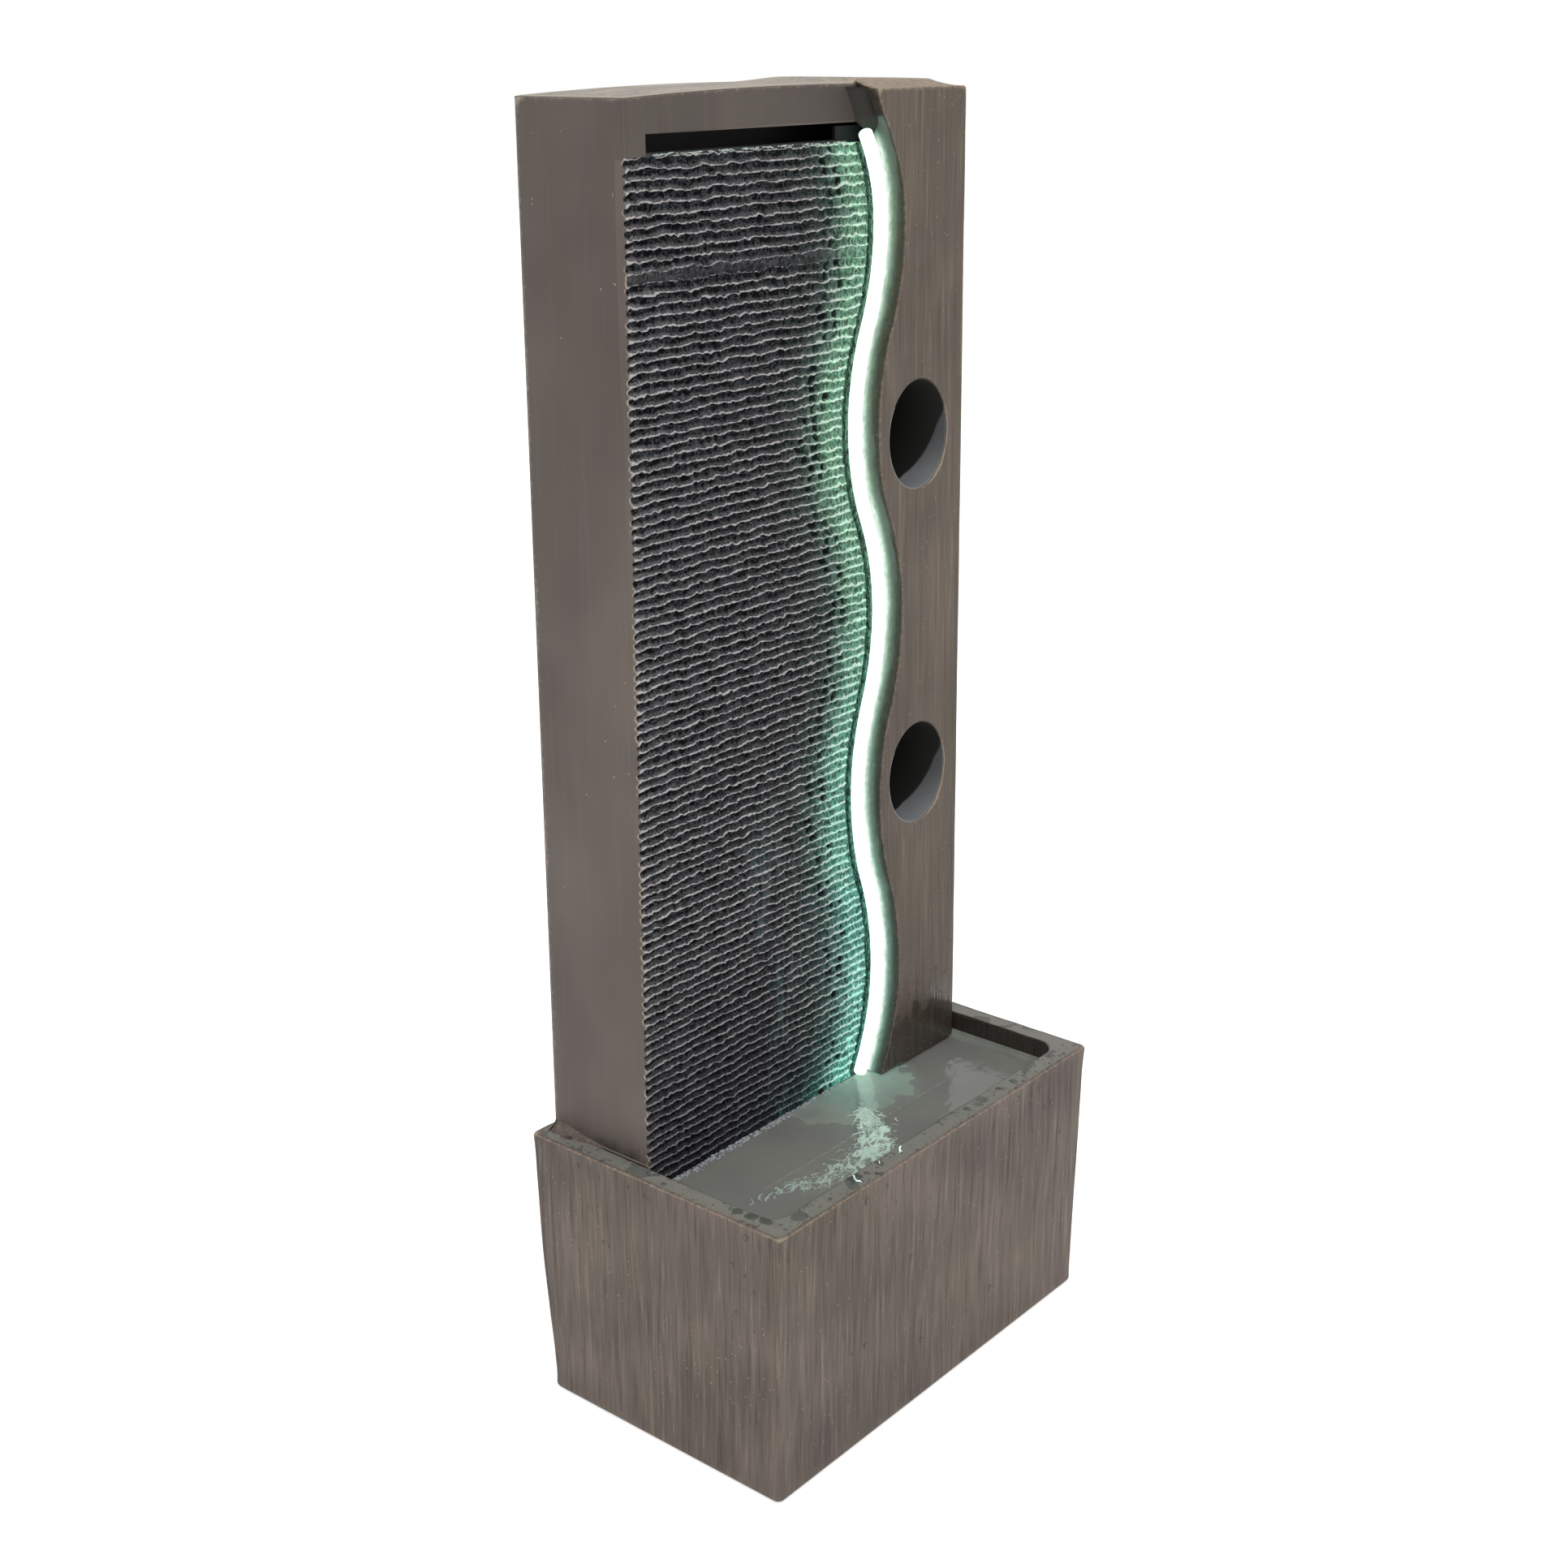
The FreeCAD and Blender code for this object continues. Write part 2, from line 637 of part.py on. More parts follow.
def tower_shell():
    """The tower's body: both side walls, roof, header, front wall, sill and back wall."""
    foot_z = TOWER_FOOT_Z
    outer = crowned_block(PANEL_Y, TOWER_BACK_Y, foot_z)
    roof_z = TOWER_TOP_Z - ROOF_THICK
    back_y = TOWER_BACK_Y - BACK_WALL
    hollow = tower_block(TOWER_WALL, PANEL_BACK_Y, back_y, foot_z - PAST, roof_z)
    panel_room = block(
        -HALF_WIDTH, HALF_WIDTH, PANEL_Y - PAST, PANEL_BACK_Y + SIDE_GAP, SILL_Z, SLOT_Z0 + SEAT)
    panel_room = panel_room.cut(right_of_wave(PANEL_END + SIDE_GAP, PANEL_Y - 2 * PAST, PANEL_BACK_Y + PAST))
    slot_right = wave_x(SLOT_Z0, PANEL_END)
    slot = block(SLOT_LEFT_X, slot_right, PANEL_Y - PAST, PANEL_BACK_Y + PAST, SLOT_Z0, SLOT_Z1)
    back_step = block(
        -HALF_WIDTH, HALF_WIDTH, RESERVOIR_HALF_Y - SIDE_GAP, TOWER_BACK_Y + PAST, 0, RIM_Z + SEAT)
    back_open = block(
        -BACK_OPEN_HALF_X, BACK_OPEN_HALF_X, back_y - PAST, TOWER_BACK_Y + PAST, BACK_OPEN_Z0, BACK_OPEN_Z1)
    lap_x = BACK_OPEN_HALF_X + PANEL_LAP
    lap_y = PLATE_Y - SEAT
    rebate = block(
        -lap_x, lap_x, lap_y, TOWER_BACK_Y + PAST, BACK_OPEN_Z0 - PANEL_LAP, BACK_OPEN_Z1 + PANEL_LAP)
    shell = outer.cut([hollow, panel_room, slot, back_step, back_open, rebate])
    sill_half = tower_half(SILL_Z) - TOWER_WALL / 2
    sill = block(-sill_half, sill_half, PANEL_Y, PANEL_Y + SILL_DEPTH, foot_z, SILL_Z)
    cleats = [cleat(side) for side in (-1, 1)]
    shell = join([shell, sill] + cleats)
    return shell.cut(tower_bores()).removeSplitter()


def cleat(side):
    """A small shelf inside a side wall that carries one end of the trough."""
    top = TROUGH_Z0 - SEAT
    wall = tower_half(top) - TOWER_WALL / 2
    inner = TROUGH_HALF_X - CLEAT_LENGTH
    xs = sorted((side * wall, side * inner))
    return block(xs[0], xs[1], TROUGH_Y0, TROUGH_Y1, top - CLEAT_HEIGHT, top)


def tower_bores():
    """All holes in the tower's body for liners and fasteners."""
    bores = []
    front = PANEL_Y - PAST
    for x, z in PORTS:
        reach = ROUND_GAP
        bores.append(oval(PORT_HALF_X + reach, PORT_HALF_Z + reach, x, z, front, PANEL_BACK_Y + PAST))
        wide = LINER_FLANGE + SIDE_GAP
        depth = PANEL_Y + LINER_FLANGE_THICK + 2 * SEAT
        bores.append(oval(PORT_HALF_X + wide, PORT_HALF_Z + wide, x, z, front, depth))
    for x, z in plank_screw_places():
        bores.append(rod(SCREW_R + SCREW_FIT, V(x, front, z), PANEL_THICK + 2 * PAST, Y_AXIS))
    for x, z in back_screw_places():
        bores.append(rod(SCREW_R + SCREW_FIT, V(x, TOWER_BACK_Y - BACK_WALL, z), BACK_WALL, Y_AXIS))
    for side in (-1, 1):
        for y in TOWER_BOLT_Y:
            start = V(side * (tower_half(TOWER_BOLT_Z) - TOWER_WALL - PAST), y, TOWER_BOLT_Z)
            bores.append(rod(BOLT_R + SIDE_GAP, start, TOWER_WALL + 2 * PAST, V(side, 0, 0)))
    for z in driver_screw_heights():
        start = V(PAST - tower_half(z), DRIVER_Y, z)
        bores.append(rod(SCREW_R + SCREW_FIT, start, TOWER_WALL, X_AXIS))
    return bores


def plank_screw_places():
    """Where the screws that hold the plank go, as (x, z)."""
    columns = [TOWER_HALF_TOP - reach for reach in PLANK_SCREW_FROM_SIDE]
    heights = [SILL_Z + share * PANEL_HEIGHT for share in PLANK_SCREW_SHARES]
    return [(x, z) for x in columns for z in heights]


def back_screw_places():
    """Where the back panel's screws go, as (x, z)."""
    x = BACK_OPEN_HALF_X + PANEL_LAP / 2
    span = BACK_OPEN_Z1 - BACK_OPEN_Z0
    heights = [BACK_OPEN_Z0 + span * share for share in BACK_SCREW_SHARES]
    return [(side * x, z) for side in (-1, 1) for z in heights]


def driver_screw_heights():
    """Heights of the two screws of the light driver."""
    return (DRIVER_Z0 - DRIVER_EAR / 2, DRIVER_Z0 + DRIVER_HEIGHT + DRIVER_EAR / 2)


def cascade_panel():
    """The fluted slab the water runs down, with a plain channel beside it for the light."""
    slab = tower_block(0, PANEL_Y, PANEL_BACK_Y, SILL_Z, SLOT_Z0)
    slab = slab.cut(right_of_wave(PANEL_END, PANEL_Y - PAST, PANEL_BACK_Y + PAST))
    flutes = []
    for number in range(flute_places()):
        if number == PLAIN_FLUTE:
            continue
        z = SLOT_Z0 - FLUTE_DROP - number * FLUTE_PITCH
        flutes.append(rod(FLUTE_R, V(-HALF_WIDTH, PANEL_Y, z), BASIN_WIDTH, X_AXIS))
    floor_y = PANEL_Y + FLUTE_R
    kept = right_of_wave(RIB_END, PANEL_Y - FLUTE_R - PAST, floor_y + PAST)
    cutter = Part.makeCompound(flutes).cut(kept)
    channel = right_of_wave(RIB_END, PANEL_Y - PAST, floor_y)
    channel = channel.cut(right_of_wave(PLANK_EDGE, PANEL_Y - 2 * PAST, floor_y + PAST))
    lead_hole = rod(LED_LEAD_R + ROUND_GAP, led_lead_points()[0], PANEL_THICK, Y_AXIS)
    return slab.cut([cutter, channel, lead_hole]).removeSplitter()


def flute_places():
    """How many flutes fit between the slot and the panel's foot."""
    return int((PANEL_HEIGHT - FLUTE_DROP - FLUTE_PITCH) / FLUTE_PITCH) + 1


def wave_plank():
    """The thick upright slab right of the light, with a wavy edge and two oval holes."""
    body = crowned_block(PLANK_Y, PANEL_Y, POOL_BACK_Z + SEAT)
    body = body.common(right_of_wave(PLANK_EDGE, PLANK_Y - PAST, PANEL_Y + PAST))
    cuts = [oval(PORT_HALF_X, PORT_HALF_Z, x, z, PLANK_Y - PAST, PANEL_Y + PAST) for x, z in PORTS]
    for x, z in plank_screw_places():
        start = V(x, PANEL_Y - PLANK_SCREW_DEPTH, z)
        cuts.append(rod(SCREW_R + SCREW_FIT, start, PLANK_SCREW_DEPTH + PAST, Y_AXIS))
    return body.cut(cuts)


def port_liners():
    """Two deep oval cups behind the plank's holes, each with a flange clamped by the plank."""
    liners = []
    for x, z in PORTS:
        half_x = PORT_HALF_X - ROUND_GAP
        half_z = PORT_HALF_Z - ROUND_GAP
        flange_y = PANEL_Y + SEAT
        cup = oval(half_x, half_z, x, z, LINER_FRONT_Y, LINER_BACK_Y)
        flange = oval(
            half_x + LINER_FLANGE, half_z + LINER_FLANGE, x, z, flange_y, flange_y + LINER_FLANGE_THICK)
        inner = oval(
            half_x - LINER_WALL, half_z - LINER_WALL, x, z,
            LINER_FRONT_Y - PAST, LINER_BACK_Y - LINER_WALL)
        liners.append(join([cup, flange]).cut(inner))
    return group(liners)


# Back panel and door

def back_panel():
    """The plate that closes the tower's back, with a frame for the door and a cable hole."""
    half = BACK_OPEN_HALF_X + PANEL_LAP - SIDE_GAP
    z0 = BACK_OPEN_Z0 - PANEL_LAP + SIDE_GAP
    z1 = BACK_OPEN_Z1 + PANEL_LAP - SIDE_GAP
    face = PLATE_Y
    plate = block(-half, half, face, face + BACK_PLATE, z0, z1)
    flange_back = face - SEAL_THICK
    frame_y = flange_back - DOOR_FRAME_THICK
    frame = block(
        -DOOR_HALF_X - DOOR_FLANGE, DOOR_HALF_X + DOOR_FLANGE, frame_y, face,
        DOOR_Z0 - DOOR_FLANGE, DOOR_Z1 + DOOR_FLANGE)
    recess = block(-DOOR_HALF_X, DOOR_HALF_X, flange_back, face + BACK_PLATE, DOOR_Z0, DOOR_Z1)
    hole = block(
        -DOOR_HALF_X + DOOR_FLANGE, DOOR_HALF_X - DOOR_FLANGE, frame_y - PAST, face + PAST,
        DOOR_Z0 + DOOR_FLANGE, DOOR_Z1 - DOOR_FLANGE)
    panel = join([plate, frame]).cut([recess, hole])
    through = BACK_PLATE + 2 * PAST
    bores = [rod(SCREW_R + SIDE_GAP, V(x, face - PAST, z), through, Y_AXIS) for x, z in back_screw_places()]
    bores.append(rod(GLAND_R + ROUND_GAP, V(GLAND_X, face - PAST, GLAND_Z), through, Y_AXIS))
    return panel.cut(bores)


def access_door():
    """The lift-off door that gives a hand to the pump, with a finger notch."""
    face = PLATE_Y
    door = block(
        -DOOR_HALF_X + SIDE_GAP, DOOR_HALF_X - SIDE_GAP, face, face + BACK_PLATE,
        DOOR_Z0 + SIDE_GAP, DOOR_Z1 - SIDE_GAP)
    posts = edges_along(door, Y_AXIS, lambda p: True)
    door = door.makeFillet(DOOR_CORNER, posts)
    notch = rod(DOOR_NOTCH_R, V(0, face - PAST, DOOR_Z1), BACK_PLATE + 2 * PAST, Y_AXIS)
    return door.cut(notch)


def door_seal():
    """The flat rubber ring on the door's inner face."""
    face = PLATE_Y
    low = face - SEAL_THICK + TOUCH
    gap = SEAL_INSET
    outer = block(-DOOR_HALF_X + gap, DOOR_HALF_X - gap, low, face, DOOR_Z0 + gap, DOOR_Z1 - gap)
    inner = block(
        -DOOR_HALF_X + DOOR_FLANGE, DOOR_HALF_X - DOOR_FLANGE, low - PAST, face + PAST,
        DOOR_Z0 + DOOR_FLANGE, DOOR_Z1 - DOOR_FLANGE)
    notch = rod(DOOR_NOTCH_R + PAST, V(0, low - PAST, DOOR_Z1), SEAL_THICK + 2 * PAST, Y_AXIS)
    return outer.cut([inner, notch])


def cable_gland():
    """The low inlet bush in the back panel; the mains cord that enters here is not modelled."""
    face = PLATE_Y + BACK_PLATE
    start = V(GLAND_X, face + SEAT, GLAND_Z)
    flange = rod(GLAND_FLANGE_R, start, GLAND_FLANGE, Y_AXIS)
    barrel = rod(GLAND_R, start, GLAND_LENGTH, V(0, -1, 0))
    bore_start = V(GLAND_X, face - GLAND_LENGTH - PAST, GLAND_Z)
    bore_length = GLAND_LENGTH + GLAND_FLANGE + 3 * PAST
    return join([flange, barrel]).cut(rod(LEAD_R + ROUND_GAP, bore_start, bore_length, Y_AXIS))


def gland_nut():
    """The six-sided nut that holds the inlet bush from inside."""
    y = PLATE_Y - GLAND_NUT_THICK - SEAT
    points = []
    for corner in range(6):
        angle = math.radians(60 * corner)
        points.append(V(GLAND_X + GLAND_NUT_R * math.cos(angle), y, GLAND_Z + GLAND_NUT_R * math.sin(angle)))
    nut = prism(points, V(0, GLAND_NUT_THICK, 0))
    start = V(GLAND_X, y - PAST, GLAND_Z)
    return nut.cut(rod(GLAND_R + SCREW_FIT, start, GLAND_NUT_THICK + 2 * PAST, Y_AXIS))


# Fasteners

def screw(head_base, direction, length, radius, head_radius, head):
    """One pan-head screw: the head sits on head_base, the shank runs along direction."""
    shank = rod(radius, head_base, length, direction)
    cap = rod(head_radius, head_base, head, direction * -1)
    start = head_base - direction * head
    slot = rod(head_radius / 2, start, head / 2, direction)
    return join([shank, cap]).cut(slot)


def panel_screw(x, y, z, length):
    """A small screw driven toward the front, its head at depth y."""
    return screw(V(x, y, z), V(0, -1, 0), length, SCREW_R, SCREW_HEAD_R, SCREW_HEAD)


def back_screws():
    """Screws round the back panel."""
    y = PLATE_Y + BACK_PLATE + TOUCH
    return group([panel_screw(x, y, z, BACK_SCREW_LENGTH) for x, z in back_screw_places()])


def plank_screws():
    """Screws from inside the tower into the plank."""
    y = PANEL_BACK_Y + TOUCH
    return group([panel_screw(x, y, z, PLANK_SCREW_LENGTH) for x, z in plank_screw_places()])


def tower_bolts():
    """Bolts from inside the tower's foot into the basin's rim."""
    bolts = []
    for side in (-1, 1):
        for y in TOWER_BOLT_Y:
            inner = tower_half(TOWER_BOLT_Z + BOLT_HEAD_R) - TOWER_WALL - TOUCH
            base = V(side * inner, y, TOWER_BOLT_Z)
            bolts.append(screw(base, V(side, 0, 0), BOLT_LENGTH, BOLT_R, BOLT_HEAD_R, BOLT_HEAD))
    return group(bolts)


def driver_screws():
    """Two screws that hold the light driver to the left wall."""
    screws = []
    for z in driver_screw_heights():
        base = V(driver_wall_x() + DRIVER_EAR_THICK + TOUCH, DRIVER_Y, z)
        screws.append(screw(base, V(-1, 0, 0), DRIVER_SCREW_LENGTH, SCREW_R, SCREW_HEAD_R, SCREW_HEAD))
    return group(screws)


# Trough and water feed

def spill_trough():
    """The open trough behind the slot; its lip carries the water onto the panel."""
    outer = block(-TROUGH_HALF_X, TROUGH_HALF_X, TROUGH_Y0, TROUGH_Y1, TROUGH_Z0, TROUGH_Z1)
    inner = block(
        -TROUGH_HALF_X + TROUGH_WALL, TROUGH_HALF_X - TROUGH_WALL, TROUGH_Y0 + TROUGH_WALL,
        TROUGH_Y1 - TROUGH_WALL, TROUGH_Z0 + TROUGH_WALL, TROUGH_Z1 + PAST)
    left = SLOT_LEFT_X + 2 * PAST
    right = wave_x(SLOT_Z1, RIB_END)
    lip_z = SLOT_Z0 + SEAT
    back = TROUGH_Y0 + TROUGH_WALL
    weir = block(left, right, TROUGH_Y0 - PAST, back + PAST, lip_z + LIP_THICK, TROUGH_Z1 + PAST)
    lip = block(left, right, PANEL_Y + LIP_INSET, back, lip_z, lip_z + LIP_THICK)
    hole = rod(FEED_R + ROUND_GAP, V(FEED_X, FEED_Y, TROUGH_Z0 - PAST), TROUGH_WALL + 2 * PAST, Z_AXIS)
    return join([outer.cut([inner, weir]), lip]).cut(hole)


def feed_tee():
    """The fitting through the trough's floor: barb below, cross bore for the spreader bar above."""
    cube = block(FEED_X - TEE_HALF, FEED_X + TEE_HALF, FEED_Y - TEE_HALF, FEED_Y + TEE_HALF,
                 TROUGH_Z0 + TROUGH_WALL + SEAT, BAR_Z + TEE_HALF)
    stem = rod(FEED_R, V(FEED_X, FEED_Y, TROUGH_Z0 - BARB_DROP), BAR_Z - TROUGH_Z0 + BARB_DROP, Z_AXIS)
    cross_start = V(FEED_X - TEE_HALF - PAST, FEED_Y, BAR_Z)
    cross = rod(BAR_R + SCREW_FIT, cross_start, 2 * TEE_HALF + 2 * PAST, X_AXIS)
    feed_start = V(FEED_X, FEED_Y, TROUGH_Z0 - BARB_DROP - PAST)
    feed = rod(FEED_BORE, feed_start, BAR_Z - feed_start.z, Z_AXIS)
    return join([cube, stem]).cut([cross, feed])


def feed_nut():
    """The ring nut under the trough's floor."""
    top = TROUGH_Z0 - SEAT
    start = V(FEED_X, FEED_Y, top - FEED_NUT_THICK)
    return tube(FEED_NUT_R, FEED_R + SCREW_FIT, start, FEED_NUT_THICK, Z_AXIS)


def spreader_bar():
    """The closed pipe in the trough with a row of small holes that spreads the water."""
    bar = rod(BAR_R, V(BAR_X0, FEED_Y, BAR_Z), BAR_X1 - BAR_X0, X_AXIS)
    bore_length = BAR_X1 - BAR_X0 - 2 * BAR_WALL
    bore = rod(BAR_R - BAR_WALL, V(BAR_X0 + BAR_WALL, FEED_Y, BAR_Z), bore_length, X_AXIS)
    feed = rod(FEED_BORE, V(FEED_X, FEED_Y, BAR_Z - BAR_R - PAST), BAR_R + PAST, Z_AXIS)
    cuts = [bore, feed]
    x = BAR_X0 + BAR_HOLE_STEP
    while x < BAR_X1 - BAR_HOLE_STEP / 2:
        if abs(x - FEED_X) > TEE_HALF + BAR_HOLE_R:
            cuts.append(rod(BAR_HOLE_R, V(x, FEED_Y, BAR_Z), BAR_R + PAST, V(0, -1, 0)))
        x += BAR_HOLE_STEP
    return bar.cut(cuts)


def hose_points():
    """Corner points of the riser hose, from the pump's nozzle to the trough's barb."""
    low, high = [SILL_Z + share * PANEL_HEIGHT for share in HOSE_TURN_SHARES]
    return [
        V(PUMP_X, FEED_Y, NOZZLE_TOP_Z - HOSE_PUSH_ON),
        V(PUMP_X, FEED_Y, low),
        V(FEED_X, FEED_Y, high),
        V(FEED_X, FEED_Y, TROUGH_Z0 - FEED_NUT_THICK - HOSE_TOP_GAP),
    ]


def riser_hose():
    """The soft hose that lifts the water to the trough."""
    points = hose_points()
    return bent_rod(HOSE_R, points, HOSE_BEND).cut(bent_rod(HOSE_BORE, points, HOSE_BEND))


def hose_clamps():
    """Two spring bands, one at each end of the hose."""
    ends = (hose_points()[0].z + CLAMP_INSET, hose_points()[-1].z - CLAMP_INSET - CLAMP_WIDTH)
    columns = (PUMP_X, FEED_X)
    clamps = []
    for x, z in zip(columns, ends):
        inner = HOSE_R + SCREW_FIT
        band = rod(inner + CLAMP_THICK, V(x, FEED_Y, z), CLAMP_WIDTH, Z_AXIS)
        reach = inner + CLAMP_THICK
        ear_y = (FEED_Y - CLAMP_EAR_HALF, FEED_Y + CLAMP_EAR_HALF)
        ear = block(x + reach - PAST, x + reach + CLAMP_EAR, ear_y[0], ear_y[1], z, z + CLAMP_WIDTH)
        hole = rod(inner, V(x, FEED_Y, z - PAST), CLAMP_WIDTH + 2 * PAST, Z_AXIS)
        clamps.append(join([band, ear]).cut(hole))
    return group(clamps)


# Pump

def pump_body():
    """The sealed pump housing with its impeller chamber and outlet socket."""
    half = PUMP_WIDTH / 2
    body = block(PUMP_X - half, PUMP_X + half, PUMP_Y0, PUMP_Y1, PUMP_Z0, PUMP_Z1)
    body = body.makeFillet(PUMP_ROUND, edges_along(body, Y_AXIS, lambda p: True))
    centre = V(PUMP_X, PUMP_Y0 - PAST, PUMP_AXIS_Z)
    chamber = rod(CHAMBER_R, centre, CHAMBER_DEPTH + PAST, Y_AXIS)
    well = rod(ROTOR_R + ROTOR_GAP, centre, ROTOR_END_Y - PUMP_Y0 + 2 * PAST, Y_AXIS)
    pivot = rod(SHAFT_R + SCREW_FIT, centre, SHAFT_Y1 - PUMP_Y0 + PAST + SEAT, Y_AXIS)
    outlet_y = PUMP_Y0 + CHAMBER_DEPTH / 2
    wide = DUCT_HALF
    duct_z = PUMP_AXIS_Z + CHAMBER_R
    duct = block(PUMP_X - wide, PUMP_X + wide, outlet_y - wide, FEED_Y + wide, duct_z - wide, duct_z)
    socket_start = V(PUMP_X, FEED_Y, duct_z - PAST)
    socket = rod(NOZZLE_SPIGOT_R + SCREW_FIT, socket_start, PUMP_Z1 - duct_z + 2 * PAST, Z_AXIS)
    dial_start = V(PUMP_X - half - PAST, FEED_Y, PUMP_AXIS_Z)
    dial_hole = rod(DIAL_STEM_R + RUNNING_FIT, dial_start, DIAL_STEM + PAST + SEAT, X_AXIS)
    lead_start = pump_lead_points()[0]
    lead_hole = rod(LEAD_R + SCREW_FIT, lead_start - V(0, 0, PAST), ENTRY_DEPTH + 2 * PAST, Z_AXIS)
    return body.cut([chamber, well, pivot, duct, socket, dial_hole, lead_hole])


def pump_outlet():
    """The push-in nozzle the hose slides over."""
    base = V(PUMP_X, FEED_Y, PUMP_Z1 + TOUCH)
    collar = rod(NOZZLE_BASE_R, base, NOZZLE_BASE, Z_AXIS)
    spigot = rod(NOZZLE_SPIGOT_R, base, NOZZLE_SPIGOT, V(0, 0, -1))
    neck = rod(HOSE_BORE - SCREW_FIT, base, NOZZLE_TOP_Z - base.z, Z_AXIS)
    bore_start = V(PUMP_X, FEED_Y, PUMP_Z1 - NOZZLE_SPIGOT - PAST)
    bore = rod(FEED_BORE, bore_start, NOZZLE_TOP_Z - bore_start.z + PAST, Z_AXIS)
    return join([collar, spigot, neck]).cut(bore)


def impeller():
    """The turning rotor: magnet drum, hub and straight vanes."""
    vane_y0 = PUMP_Y0 + VANE_GAP
    vane_y1 = PUMP_Y0 + CHAMBER_DEPTH - VANE_GAP
    axis = V(PUMP_X, vane_y0, PUMP_AXIS_Z)
    hub = rod(HUB_R, axis, vane_y1 - vane_y0, Y_AXIS)
    drum = rod(ROTOR_R, V(PUMP_X, vane_y1, PUMP_AXIS_Z), ROTOR_END_Y - vane_y1, Y_AXIS)
    parts = [hub, drum]
    for number in range(VANE_COUNT):
        vane = block(0, VANE_R, vane_y0, vane_y1 + SIDE_GAP, -VANE_THICK / 2, VANE_THICK / 2)
        vane.rotate(V(0, 0, 0), Y_AXIS, 360.0 / VANE_COUNT * number)
        vane.translate(V(PUMP_X, 0, PUMP_AXIS_Z))
        parts.append(vane)
    bore = rod(SHAFT_R + RUNNING_FIT, V(PUMP_X, vane_y0 - PAST, PUMP_AXIS_Z), PUMP_DEPTH, Y_AXIS)
    return join(parts).cut(bore)


def impeller_shaft():
    """The fixed ceramic pin the rotor turns on."""
    return rod(SHAFT_R, V(PUMP_X, SHAFT_Y0, PUMP_AXIS_Z), SHAFT_Y1 - SHAFT_Y0, Y_AXIS)


def pump_cover():
    """The slotted intake cover on the pump's front, with a boss for the pin."""
    half = PUMP_WIDTH / 2
    y1 = PUMP_Y0 - SEAT
    y0 = y1 - COVER_DEPTH
    outer = block(PUMP_X - half, PUMP_X + half, y0, y1, PUMP_Z0, PUMP_Z1)
    outer = outer.makeFillet(PUMP_ROUND, edges_along(outer, Y_AXIS, lambda p: True))
    wall = COVER_WALL
    inner = block(
        PUMP_X - half + wall, PUMP_X + half - wall, y0 + wall, y1 + PAST, PUMP_Z0 + wall, PUMP_Z1 - wall)
    slots = []
    reach = half - COVER_SLOT_MARGIN
    z = PUMP_Z0 + COVER_SLOT_STEP
    while z < PUMP_Z1 - COVER_SLOT_STEP:
        if abs(z - PUMP_AXIS_Z) > HUB_R + COVER_SLOT:
            slots.append(block(
                PUMP_X - reach, PUMP_X + reach, y0 - PAST, y0 + wall + PAST, z, z + COVER_SLOT))
        z += COVER_SLOT_STEP
    boss = rod(HUB_R, V(PUMP_X, y0 + PAST, PUMP_AXIS_Z), COVER_DEPTH - HUB_R, Y_AXIS)
    pivot = rod(SHAFT_R + SCREW_FIT, V(PUMP_X, SHAFT_Y0 - SEAT, PUMP_AXIS_Z), COVER_DEPTH, Y_AXIS)
    return join([outer.cut([inner] + slots), boss]).cut(pivot)


def flow_dial():
    """The small knob on the pump's side that throttles the flow."""
    x = PUMP_X - PUMP_WIDTH / 2 - SEAT
    knob = rod(DIAL_R, V(x, FEED_Y, PUMP_AXIS_Z), DIAL_THICK, V(-1, 0, 0))
    stem = rod(DIAL_STEM_R, V(x, FEED_Y, PUMP_AXIS_Z), DIAL_STEM, X_AXIS)
    grip_half = DIAL_GRIP / 2
    grip = block(x - DIAL_THICK - DIAL_GRIP, x - DIAL_THICK + PAST, FEED_Y - grip_half, FEED_Y + grip_half,
                 PUMP_AXIS_Z - DIAL_R + PAST, PUMP_AXIS_Z + DIAL_R - PAST)
    return join([knob, stem, grip])


def suction_feet():
    """Four soft cups under the pump."""
    feet = []
    reach = PUMP_WIDTH / 2 - FOOT_FROM_EDGE
    for x in (PUMP_X - reach, PUMP_X + reach):
        for y in (PUMP_Y0 + FOOT_FROM_EDGE, PUMP_Y1 - FOOT_FROM_EDGE):
            start = V(x, y, FLOOR_THICK + TOUCH)
            feet.append(Part.makeCone(FOOT_WIDE_R, FOOT_NARROW_R, PUMP_FOOT - 2 * TOUCH, start, Z_AXIS))
    return group(feet)


# Light and wiring

def led_tube():
    """The soft glowing tube that follows the wave."""
    path = Part.Wire(wave_edges(0.0, LED_Y, LED_TOP_Z, LED_FOOT_Z))
    start, along = wave_end(LED_TOP_Z)
    ring = Part.Wire(Part.makeCircle(LED_R, start, along))
    return path.makePipeShell([ring], True, True)


def wave_end(z):
    """A point of the tube's middle line and the direction in which it climbs there."""
    step = LED_R / 1000
    here = V(wave_x(z, 0.0), LED_Y, z)
    above = V(wave_x(z + step, 0.0), LED_Y, z + step)
    return here, (above - here).normalize()


def led_end_caps():
    """Caps that close both ends of the light tube."""
    top, up = wave_end(LED_TOP_Z)
    foot, climb = wave_end(LED_FOOT_Z)
    caps = [
        rod(LED_CAP_R, top + up * SCREW_FIT, LED_CAP_LENGTH, up),
        rod(LED_CAP_R, foot - climb * SCREW_FIT, LED_CAP_LENGTH, climb * -1),
    ]
    return group(caps)


def driver_wall_x():
    """The left wall's inner face beside the light driver."""
    top = DRIVER_Z0 + DRIVER_HEIGHT + DRIVER_EAR
    return TOWER_WALL + TOUCH - tower_half(top)


